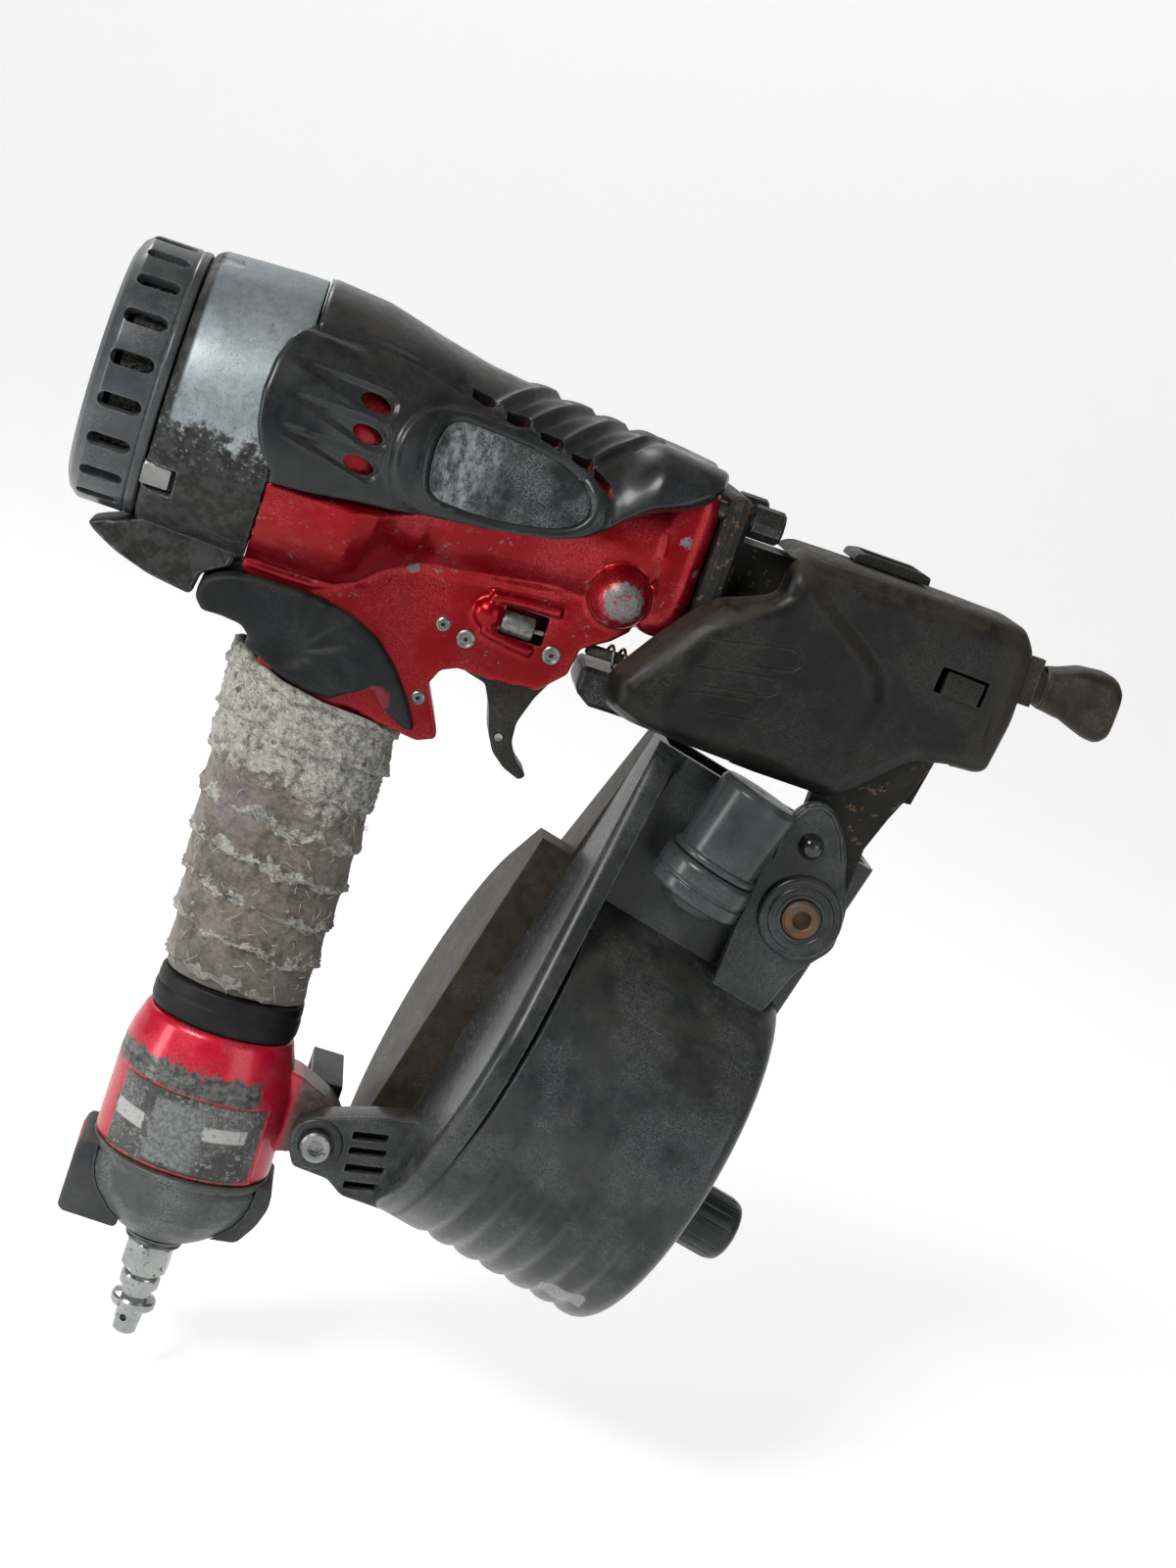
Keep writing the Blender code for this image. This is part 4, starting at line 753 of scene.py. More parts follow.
    def drum_x(m, col, r, h, met):
        n = m.mul(m.sub(m.noise(0.6, 5.0, 0.75), 0.5), 2.5)
        lab = m.mul(m.band(m.add(m.x, n), 96.0, 108.0, 0.4), m.band(m.add(m.z, m.mul(n, 0.5)), -84.0, -79.0, 0.4))
        lab = m.mul(m.mul(lab, m.step(m.y, -18.0, -24.0)), m.step(m.noise(2.2, 4.0, 0.8, m.vec(off=(2, 2, 2))), 0.30, 0.60))
        col = m.mix(m.mul(lab, 0.75), col, C(150, 151, 147))
        scuff = m.step(m.noise(0.5, 6.0, 0.8, m.vec(1, 1, 2.2)), 0.60, 0.68)
        col = m.mix(m.mul(scuff, 0.35), col, C(70, 73, 74))
        dirt = m.mul(m.step(m.noise(0.22, 5.0, 0.7, m.vec(off=(1, 9, 4))), 0.55, 0.66), 0.5)
        col = m.mix(dirt, col, C(44, 42, 39))
        return col, m.add(r, m.mul(scuff, 0.12)), m.add(h, m.mul(lab, 2.0)), met

    def smoke_x(m, col, r, h, met):
        b = m.mul(m.step(m.noise(0.15, 5.0, 0.7), 0.38, 0.6), 0.7)
        col = m.mix(b, col, C(46, 40, 31))
        return col, r, h, met

    def cover_x(m, col, r, h, met):
        up = m.mul(m.up(0.05, 0.8), m.step(m.noise(0.18, 5.0, 0.75), 0.33, 0.55))
        col = m.mix(m.mul(up, 0.75), col, C(50, 45, 38))
        spot = m.mul(m.step(m.noise(0.8, 5.0, 0.8), 0.58, 0.66), 0.45)
        col = m.mix(spot, col, C(46, 45, 42))
        tip = m.mul(m.step(m.x, 152.0, 162.0), 0.5)
        col = m.mix(tip, col, C(44, 41, 36))
        return col, m.add(r, m.mul(up, 0.2)), h, met

    def over_x(m, col, r, h, met):
        # the small worn red triangle at the trigger corner
        wob = m.mul(m.sub(m.noise(0.7, 3.0, 0.6), 0.5), 1.6)
        t = m.mul(m.near((11.4, -16.0, 47.0), 3.6, 0.5, wob), m.step(m.y, -9.0, -12.0))
        col = m.mix(m.mul(t, 0.8), col, C(98, 30, 34))
        sc = m.step(m.noise(0.35, 6.0, 0.8), 0.60, 0.68)
        col = m.mix(m.mul(sc, 0.4), col, C(44, 46, 48))
        return col, r, h, met

    def hook_x(m, col, r, h, met):
        col = m.mix(m.step(m.z, -61.5, -63.0), col, C(88, 84, 62))
        return col, r, h, met

    def filter_x(m, col, r, h, met):
        a = m.math('SINE', m.mul(m.y, 5.6))
        b = m.math('SINE', m.mul(m.z, 5.6))
        wv = m.mul(a, b)
        # painted shade: the weave's hollows, the mesh openings, get a near-black colour
        col = m.mix(m.step(wv, -0.4, 0.5), C(34, 33, 31), col)
        return col, r, m.add(m.mul(h, 0.2), wv), met

    def rubber_x(m, col, r, h, met):
        pol = m.step(m.noise(0.09, 5.0, 0.7), 0.42, 0.64)
        r = m.sub(r, m.mul(pol, 0.14))
        blotch = m.step(m.noise(0.4, 6.0, 0.8), 0.60, 0.70)
        col = m.mix(m.mul(blotch, 0.4), col, C(48, 49, 49))
        pit = m.step(m.noise(1.3, 2.0, 0.6, m.vec(off=(9, 3, 1))), 0.70, 0.74)
        col = m.mix(m.mul(pit, 0.6), col, C(12, 12, 12))
        return col, r, m.sub(h, m.mul(pit, 2.0)), met

    def badge_x(m, col, r, h, met):
        n = m.noise(0.3, 6.0, 0.8)
        sc = m.step(n, 0.53, 0.60)
        col = m.mix(m.mul(sc, 0.45), col, C(60, 63, 64))
        tw = m.mul(m.sub(m.noise(0.2, 4.0, 0.7, m.vec(off=(8, 0, 8))), 0.5), 14.0)
        torn = m.mul(m.step(m.add(m.x, tw), 6.0, 9.0), m.step(m.add(m.x, tw), 26.0, 14.0))
        torn = m.mul(torn, m.step(m.noise(0.45, 6.0, 0.8, m.vec(1.0, 1.0, 0.45, off=(1, 5, 1))), 0.40, 0.66))
        torn = m.mul(torn, 0.7)
        col = m.mix(torn, col, C(132, 136, 137))
        return col, m.add(r, m.mul(sc, 0.2)), m.add(h, torn), met

    DUST = C(96, 88, 76)
    hair = C(118, 122, 124)
    M = MATS
    M['cap'] = surf('cap_black_plastic', C(58, 62, 65), C(76, 80, 83), 0.34, grain=(2.6, 0.22, 0.06), dust=(C(88, 85, 78), 0.35), wear=(C(128, 134, 138), 0.7, 0.7), scratch=(hair, 0.5),
                    extra=cap_x, seed=1, coat_weight=0.25, coat_roughness=0.2)
    M['filter'] = surf('filter_mesh', C(72, 70, 64), C(92, 88, 80), 0.6, 0.35, grain=(5.0, 0.9, 0.15), extra=filter_x, wear=(C(120, 116, 108), 0.4, 0.5), seed=2)
    M['dsteel'] = surf('dark_steel', C(60, 61, 62), C(48, 49, 49), 0.38, 0.8, grain=(4.0, 0.15, 0.04), dust=(C(84, 70, 56), 0.4), wear=(C(150, 152, 152), 0.35, 0.8), scratch=(C(140, 140, 138), 0.5), seed=3)
    M['head'] = surf('head_grey_metal', C(128, 138, 142), C(160, 168, 172), 0.42, 0.6, grain=(2.0, 0.35, 0.09), wear=(C(172, 178, 180), 0.7, 0.55), scratch=(C(86, 90, 92), 0.5), extra=head_x, seed=4)
    M['tab'] = surf('tab_metal', C(110, 112, 112), C(150, 152, 150), 0.35, 0.8, grain=(4.0, 0.15, 0.04), wear=(C(190, 190, 190), 0.3, 0.7), seed=5)
    M['red'] = surf('body_red_paint', C(132, 0, 10), C(150, 0, 18), 0.32, 0.7, grain=(6.0, 0.10, 0.03), mottle=0.05, wear=(C(120, 118, 116), 0.55, 0.75), scratch=(C(190, 88, 96), 0.45), extra=red_x, seed=6,
                    coat_weight=0.15, coat_roughness=0.12)
    M['pin'] = surf('pin_steel', C(104, 108, 108), C(140, 142, 140), 0.36, 0.85, grain=(5.0, 0.2, 0.04), wear=(C(180, 182, 180), 0.3, 0.8), flecks=(C(82, 64, 50), 0.7, 0.6), seed=7)
    M['rubber'] = surf('guard_black_rubber', C(38, 42, 45), C(54, 56, 58), 0.38, grain=(3.4, 0.35, 0.08), dust=(C(92, 86, 78), 0.55), wear=(C(104, 108, 110), 0.9, 0.5), scratch=(C(96, 100, 102), 0.5), extra=rubber_x, seed=8,
                       coat_weight=0.3, coat_roughness=0.22)
    M['over'] = surf('overmould_rubber', C(34, 38, 41), C(50, 53, 55), 0.50, grain=(3.4, 0.35, 0.08), dust=(C(92, 86, 78), 0.4), wear=(C(96, 100, 102), 0.9, 0.45), scratch=(C(96, 100, 102), 0.45), extra=over_x, seed=9)
    M['badge'] = surf('badge_film', C(26, 30, 32), C(44, 47, 49), 0.40, grain=(2.4, 0.25, 0.05), dust=(C(88, 84, 76), 0.3), wear=(C(104, 108, 110), 0.4, 0.8), scratch=(C(130, 134, 136), 0.75), extra=badge_x, seed=10)
    M['steel'] = surf('bright_steel', C(122, 126, 126), C(158, 160, 158), 0.32, 0.9, grain=(5.0, 0.15, 0.03), wear=(C(200, 202, 200), 0.3, 0.8), flecks=(C(92, 70, 52), 0.6, 0.62), scratch=(C(190, 190, 190), 0.4), seed=11)
    M['alu'] = surf('liner_aluminium', C(150, 154, 156), C(176, 178, 178), 0.3, 0.95, grain=(4.0, 0.1, 0.03), wear=(C(210, 212, 212), 0.4, 0.7), scratch=(C(110, 112, 112), 0.4), seed=12)
    M['bumper'] = surf('bumper_urethane', C(128, 92, 40), C(150, 112, 52), 0.5, grain=(2.0, 0.2, 0.05), wear=(C(180, 150, 90), 0.5, 0.5), scratch=(C(90, 62, 30), 0.3), seed=13)
    M['nose'] = surf('nose_casting_black', C(40, 41, 40), C(58, 57, 54), 0.5, 0.35, grain=(1.6, 0.45, 0.12), dust=(DUST, 0.5), wear=(C(128, 126, 120), 0.5, 0.8, 0.4), flecks=(C(78, 62, 48), 0.5, 0.6), seed=14)
    M['cover'] = surf('nose_cover_plastic', C(30, 31, 31), C(44, 44, 42), 0.36, grain=(3.0, 0.30, 0.07), dust=(DUST, 0.3), wear=(C(98, 98, 94), 0.8, 0.65), scratch=(C(96, 96, 92), 0.6), extra=cover_x, seed=15)
    M['latch'] = surf('latch_plastic', C(26, 26, 25), C(36, 36, 34), 0.45, grain=(3.0, 0.30, 0.07), dust=(DUST, 0.35), wear=(C(90, 90, 86), 0.5, 0.6), scratch=(C(96, 96, 92), 0.4), seed=16)
    M['drum'] = surf('drum_black_plastic', C(42, 46, 48), C(62, 65, 66), 0.30, grain=(2.6, 0.25, 0.07), dust=(C(84, 78, 68), 0.35), wear=(C(122, 128, 130), 0.9, 0.6), scratch=(C(128, 132, 134), 0.45), extra=drum_x, seed=17,
                     coat_weight=0.2, coat_roughness=0.25)
    M['drum_in'] = surf('platform_plastic', C(40, 43, 45), C(58, 60, 60), 0.42, grain=(2.6, 0.25, 0.07), dust=(C(84, 78, 68), 0.4), wear=(C(110, 114, 116), 0.7, 0.5), scratch=(C(118, 122, 124), 0.5), seed=18)
    M['knob'] = surf('knob_plastic', C(42, 47, 48), C(56, 60, 60), 0.34, grain=(2.6, 0.25, 0.06), wear=(C(110, 116, 118), 0.5, 0.6), scratch=(C(118, 122, 124), 0.5), seed=19, coat_weight=0.2, coat_roughness=0.25)
    M['satin'] = surf('feeder_satin', C(60, 66, 68), C(78, 83, 85), 0.32, grain=(3.0, 0.15, 0.04), dust=(C(88, 84, 76), 0.35), wear=(C(130, 136, 138), 0.6, 0.6), scratch=(C(124, 128, 130), 0.5), seed=20, coat_weight=0.3, coat_roughness=0.2)
    M['gloss'] = surf('screw_black_gloss', C(26, 28, 29), C(38, 40, 41), 0.18, 0.3, grain=(3.0, 0.1, 0.03), wear=(C(110, 112, 112), 0.4, 0.6), scratch=(C(118, 120, 120), 0.4), seed=21, coat_weight=0.6, coat_roughness=0.08)
    M['smoke'] = surf('cover_smoky_plastic', C(38, 36, 32), C(52, 47, 39), 0.5, grain=(2.0, 0.15, 0.05), dust=(C(88, 78, 62), 0.4), wear=(C(108, 100, 86), 0.8, 0.6), scratch=(C(110, 104, 92), 0.7), extra=smoke_x, seed=22)
    M['tape'] = tape()
    M['thread'] = surf('tape_threads', C(160, 158, 150), C(205, 204, 198), 0.85, grain=(4.0, 0.3, 0.05), wear=(C(220, 220, 214), 0.1, 0.3), seed=23)
    M['ring'] = surf('grip_ring_rubber', C(30, 31, 34), C(44, 45, 48), 0.46, grain=(3.0, 0.3, 0.07), dust=(C(96, 92, 86), 0.35), wear=(C(90, 92, 96), 0.6, 0.6), scratch=(C(92, 94, 96), 0.4), seed=24)
    M['ecap'] = surf('end_cap_paint', C(158, 6, 34), C(176, 12, 44), 0.34, 0.3, grain=(4.0, 0.25, 0.06), wear=(C(104, 104, 102), 0.7, 0.7), scratch=(C(120, 118, 116), 0.5), extra=ecap_x, seed=25,
                     coat_weight=0.35, coat_roughness=0.15)
    M['cup'] = surf('cup_grey', C(74, 78, 78), C(92, 95, 94), 0.40, 0.25, grain=(2.4, 0.3, 0.07), dust=(C(96, 92, 84), 0.4), wear=(C(150, 152, 150), 0.8, 0.7), scratch=(C(132, 134, 132), 0.8), flecks=(C(48, 50, 50), 0.9, 0.62), seed=26)
    M['foot'] = surf('foot_rubber', C(50, 52, 55), C(66, 67, 68), 0.55, grain=(3.0, 0.35, 0.08), dust=(C(98, 92, 84), 0.5), wear=(C(104, 106, 108), 0.8, 0.6), scratch=(C(98, 100, 102), 0.4), seed=27)
    M['orange'] = surf('foot_inset_orange', C(168, 72, 62), C(184, 92, 78), 0.5, grain=(3.0, 0.2, 0.05), wear=(C(200, 130, 112), 0.4, 0.5), flecks=(C(110, 52, 48), 0.8, 0.6), seed=28)
    M['label'] = surf('blank_label', C(62, 63, 62), C(92, 93, 92), 0.42, grain=(2.6, 0.3, 0.05), wear=(C(150, 152, 150), 0.3, 0.7), scratch=(C(160, 162, 160), 0.7), extra=label_x, seed=29)
    M['chrome'] = surf('plug_chrome', C(150, 154, 153), C(176, 178, 176), 0.20, 0.95, grain=(4.0, 0.2, 0.04), wear=(C(214, 216, 214), 0.3, 0.6), flecks=(C(96, 84, 70), 0.6, 0.62), scratch=(C(110, 112, 110), 0.5), seed=30)
    M['collar'] = surf('collar_steel', C(84, 88, 88), C(112, 114, 112), 0.4, 0.8, grain=(4.0, 0.2, 0.04), wear=(C(160, 162, 160), 0.4, 0.7), flecks=(C(96, 70, 50), 0.6, 0.6), seed=31)
    M['trigger'] = surf('trigger_black', C(48, 47, 44), C(64, 62, 57), 0.42, 0.2, grain=(2.6, 0.3, 0.07), dust=(C(92, 84, 72), 0.45), wear=(C(132, 130, 124), 0.6, 0.8, 0.4), scratch=(C(118, 116, 110), 0.5), seed=32)
    M['spring'] = surf('spring_steel', C(104, 104, 100), C(136, 136, 132), 0.32, 0.9, grain=(6.0, 0.2, 0.03), wear=(C(170, 170, 166), 0.2, 0.6), flecks=(C(96, 66, 44), 0.7, 0.6), seed=33)
    M['rust'] = surf('rusty_bolt', C(86, 82, 76), C(110, 100, 88), 0.55, 0.6, grain=(2.2, 0.6, 0.12), wear=(C(140, 132, 122), 0.4, 0.7), flecks=(C(112, 66, 40), 0.5, 0.53), seed=34)
    M['brass'] = surf('valve_brass', C(170, 134, 72), C(190, 154, 88), 0.3, 0.9, grain=(4.0, 0.15, 0.03), wear=(C(220, 190, 120), 0.3, 0.6), flecks=(C(100, 76, 46), 0.6, 0.62), seed=35)
    M['hook'] = surf('hook_black_steel', C(26, 26, 26), C(38, 38, 37), 0.42, 0.3, grain=(3.0, 0.3, 0.06), wear=(C(112, 112, 108), 0.5, 0.8, 0.5), scratch=(C(96, 96, 92), 0.5), extra=hook_x, seed=36)
    M['tip'] = surf('contact_steel', C(54, 50, 45), C(72, 66, 58), 0.5, 0.55, grain=(1.8, 0.5, 0.1), dust=(C(88, 76, 62), 0.35), wear=(C(132, 128, 120), 0.5, 0.85, 0.3), flecks=(C(44, 38, 32), 0.6, 0.57), scratch=(C(120, 116, 108), 0.5), seed=37)
    M['roller'] = surf('roller_steel', C(96, 96, 92), C(128, 127, 122), 0.4, 0.85, grain=(4.0, 0.3, 0.05), wear=(C(170, 170, 166), 0.25, 0.8), flecks=(C(88, 64, 46), 0.6, 0.58), seed=38)


CARRIED = {'contact_spring': 'spring', 'cylinder_liner': 'alu', 'driver': 'steel', 'feed_piston': 'alu', 'head_valve': 'alu', 'head_valve_spring': 'spring', 'hook_screw': 'steel',
           'nose_bolt_1': 'dsteel', 'nose_bolt_2': 'dsteel', 'nose_bolt_3': 'dsteel', 'nose_bolt_4': 'dsteel', 'nose_casting': 'nose', 'nose_door': 'nose', 'piston_bumper': 'bumper',
           'rod_guide': 'dsteel', 'roller_pin': 'steel', 'trigger_plunger': 'brass', 'trigger_valve': 'brass'}


# ================================================================== exhaust cap and filter
GUARD_R = [(-36, 36.6), (-29.7, 36.4), (-14.2, 35.2), (-0.5, 31.8), (13.2, 28.9), (23.8, 27.7), (40.0, 25.4), (52.8, 25.2),
           (66.3, 24.0), (77.0, 22.6)]


def exhaust_cap():
    prof = [(-73.6, 3.3), (-73.6, 9.0), (-76.0, 11.0), (-76.0, 28.4), (-74.7, 31.2), (-72.4, 33.1), (-61.4, 33.2),
            (-61.0, 32.75), (-60.5, 33.2), (-58.9, 33.15), (-58.4, 32.7), (-58.4, 30.4), (-70.8, 30.4), (-72.6, 28.0), (-72.6, 12.0), (-71.0, 9.5), (-71.0, 3.3)]
    cap = lathe('exhaust_cap_v', prof, O_B, XAX, seg=200, rnd=0.45)
    hw, n = 1.75, 20
    cuts = []
    for r0, r1, g in ((28.9, 37.0, 0.0), (32.6, 37.0, 0.5)):
        bm = bmesh.new()
        for k in range(n):
            t = 2 * math.pi * (k + 0.5) / n
            er = Vector((0, math.sin(t), math.cos(t)))
            et = Vector((0, math.cos(t), -math.sin(t)))
            xa, xb = -72.7, -62.3
            loops = []
            for r, w in ((r0, hw), (r1, hw + g * 3)):
                out = []
                for cx, a0 in ((xb - hw, -90), (xa + hw, 90)):
                    for j in range(9):
                        a = math.radians(a0 + 22.5 * j)
                        out.append((cx + w * math.cos(a), w * math.sin(a)))
                loops.append([tuple(Vector((px, 0, BZ)) + er * r + et * pt) for px, pt in out])
            rings(bm, loops)
        cuts.append(make('cc', bm, smooth=False, weld=0))
    boole(cap, cuts)
    sharpen(cap.data, 32.0)
    put(cap, 'cap', 'tool', 'exhaust_cap')
    # the dusty filter band behind the slots
    bm = bmesh.new()
    loops = []
    rows = 44
    for i in range(rows + 1):
        x = -70.3 + 10.8 * i / rows
        lp = []
        for k in range(320):
            t = 2 * math.pi * k / 320
            y, z = math.sin(t), math.cos(t)
            r = 29.45 + 0.75 * fbm(x, y * 29, z * 29, 0.8, 2) * (0 if i in (0, rows) else 1)
            lp.append((x, r * y, BZ + r * z))
        loops.append(lp)
    inner = [[(x, 27.2 * math.sin(2 * math.pi * k / 320), BZ + 27.2 * math.cos(2 * math.pi * k / 320)) for k in range(320)] for x in (-59.5, -70.3)]
    rings(bm, loops + inner, loop_around=True)
    f = make('exhaust_filter_v', bm, angle=180)
    put(f, 'filter', 'tool', 'exhaust_filter')
    s = lathe('cap_screw_v', [(-76.0, 0), (-76.0, 2.0), (-75.9, 3.8), (-75.2, 5.2), (-73.9, 5.2), (-73.9, 2.6), (-59.0, 2.6), (-58.0, 0)], O_B, XAX, seg=48, rnd=0.3)
    hx = lathe('hx', [(-80.0, 0), (-80.0, 2.2), (-74.2, 2.2), (-74.2, 0)], O_B, XAX, seg=6)
    boole(s, [hx])
    sharpen(s.data)
    put(s, 'dsteel', 'tool', 'cap_screw')


# ================================================================== cylinder head
def cylinder_head():
    prof = [(-70.7, 3.0), (-70.7, 6.5), (-58.6, 6.5), (-58.0, 8.0), (-58.0, 30.5), (-57.9, 33.1), (-57.0, 34.1), (-55.3, 34.9),
            (-50.0, 35.25), (-36.0, 36.0), (-30.0, 36.0), (-30.0, 27.0), (-53.5, 27.0), (-53.5, 7.0), (-55.0, 3.0)]
    head = lathe('cylinder_head_v', prof, O_B, XAX, seg=220, rnd=0.5)
    # the fin under the head: a thin tapered blade, crowned across
    side = [(-68.4, 65.4), (-66.0, 63.6), (-60.0, 61.2), (-50.0, 58.6), (-39.2, 57.0), (-38.3, 62.9), (-31.4, 67.2), (-31.4, 74.6), (-50.0, 75.6), (-56.0, 71.2), (-62.0, 68.2), (-66.5, 66.6)]
    bm = bmesh.new()
    loops = []
    pts = round_outline(side, 1.4, 3)
    cx, cz = -47.0, 66.0
    for y, g in ((-15.4, 0.90), (-15.0, 0.955), (-14.0, 0.985), (-12.0, 1.0), (12.0, 1.0), (14.0, 0.985), (15.0, 0.955), (15.4, 0.90)):
        loops.append([(cx + (x - cx) * g, y * (1 - 0.5 * smooth01(-52, -70, x)), cz + (z - cz) * g) for x, z in pts])
    rings(bm, loops)
    fin = make('fin', bm)
    boole(head, [fin], 'UNION')
    # notch with the snap tab of the cap, one on each side, and a small one on top
    cuts = []
    for ang, w in ((124.5, 4.3), (-124.5, 4.3), (-17.0, 3.0), (17.0, 3.0)):
        t = math.radians(ang)
        er = Vector((0, -math.sin(t), math.cos(t)))
        et = Vector((0, -math.cos(t), -math.sin(t)))
        bm = bmesh.new()
        out = round_outline([(-60.0, -w), (-50.2, -w), (-50.2, w), (-60.0, w)], 0.8, 3)
        rings(bm, [[tuple(Vector((px, 0, BZ)) + er * r + et * pt) for px, pt in out] for r in (32.2 if w > 4 else 34.3, 40.0)])
        cuts.append(make('n', bm, smooth=False))
    bm = bmesh.new()
    for k in range(6):
        t = math.radians(60 * k + 30)
        lathe_bm([(-60.0, 0), (-60.0, 4.0), (-51.0, 4.0), (-51.0, 0)], (0, 17 * math.cos(t), BZ + 17 * math.sin(t)), XAX, 20, bm)
    cuts.append(make('ports', bm, smooth=False))
    boole(head, cuts)
    bevel(head, 0.35, 2, 40.0)
    sharpen(head.data, 34.0)
    put(head, 'head', 'tool', 'cylinder_head')
    tabs = []
    for ang in (124.5, -124.5):
        t = math.radians(ang)
        er = Vector((0, -math.sin(t), math.cos(t)))
        et = Vector((0, -math.cos(t), -math.sin(t)))
        bm = bmesh.new()
        out = round_outline([(-58.3, -3.4), (-51.6, -3.4), (-51.6, 3.4), (-58.3, 3.4)], 0.6, 3)
        rings(bm, [[tuple(Vector((px, 0, BZ)) + er * r + et * pt * q) for px, pt in out] for r, q in ((32.3, 1.0), (33.6, 1.0), (34.0, 0.9))])
        tabs.append(make('t', bm))
    tab = join('head_snap_tabs', tabs)
    sharpen(tab.data)
    put(tab, 'tab', 'tool')


# ================================================================== red body casting
BODY_BIG = [(-29.7, 35.4), (-7.7, 35.4), (-2.8, 33.5), (2.3, 29.3), (6.0, 27.4), (9.9, 26.2)]
HAND = [(45.0, -2.9, 20.0, 14.5), (38.0, -2.7, 19.3, 14.2), (16.0, -1.7, 18.5, 13.8), (-4.0, -1.0, 17.8, 13.4),
        (-26.0, -0.2, 16.4, 12.6), (-47.0, 0.9, 15.2, 12.2), (-80.0, 1.2, 15.2, 12.2)]
PINS = {'1': (21.3, 69.6), '2': (27.7, 67.8), '3': (49.0, 70.5), '4': (21.1, 50.2)}
BOLT_OFF = 15.0


def body_r(x):
    return lerp(GUARD_R, x) - 3.9


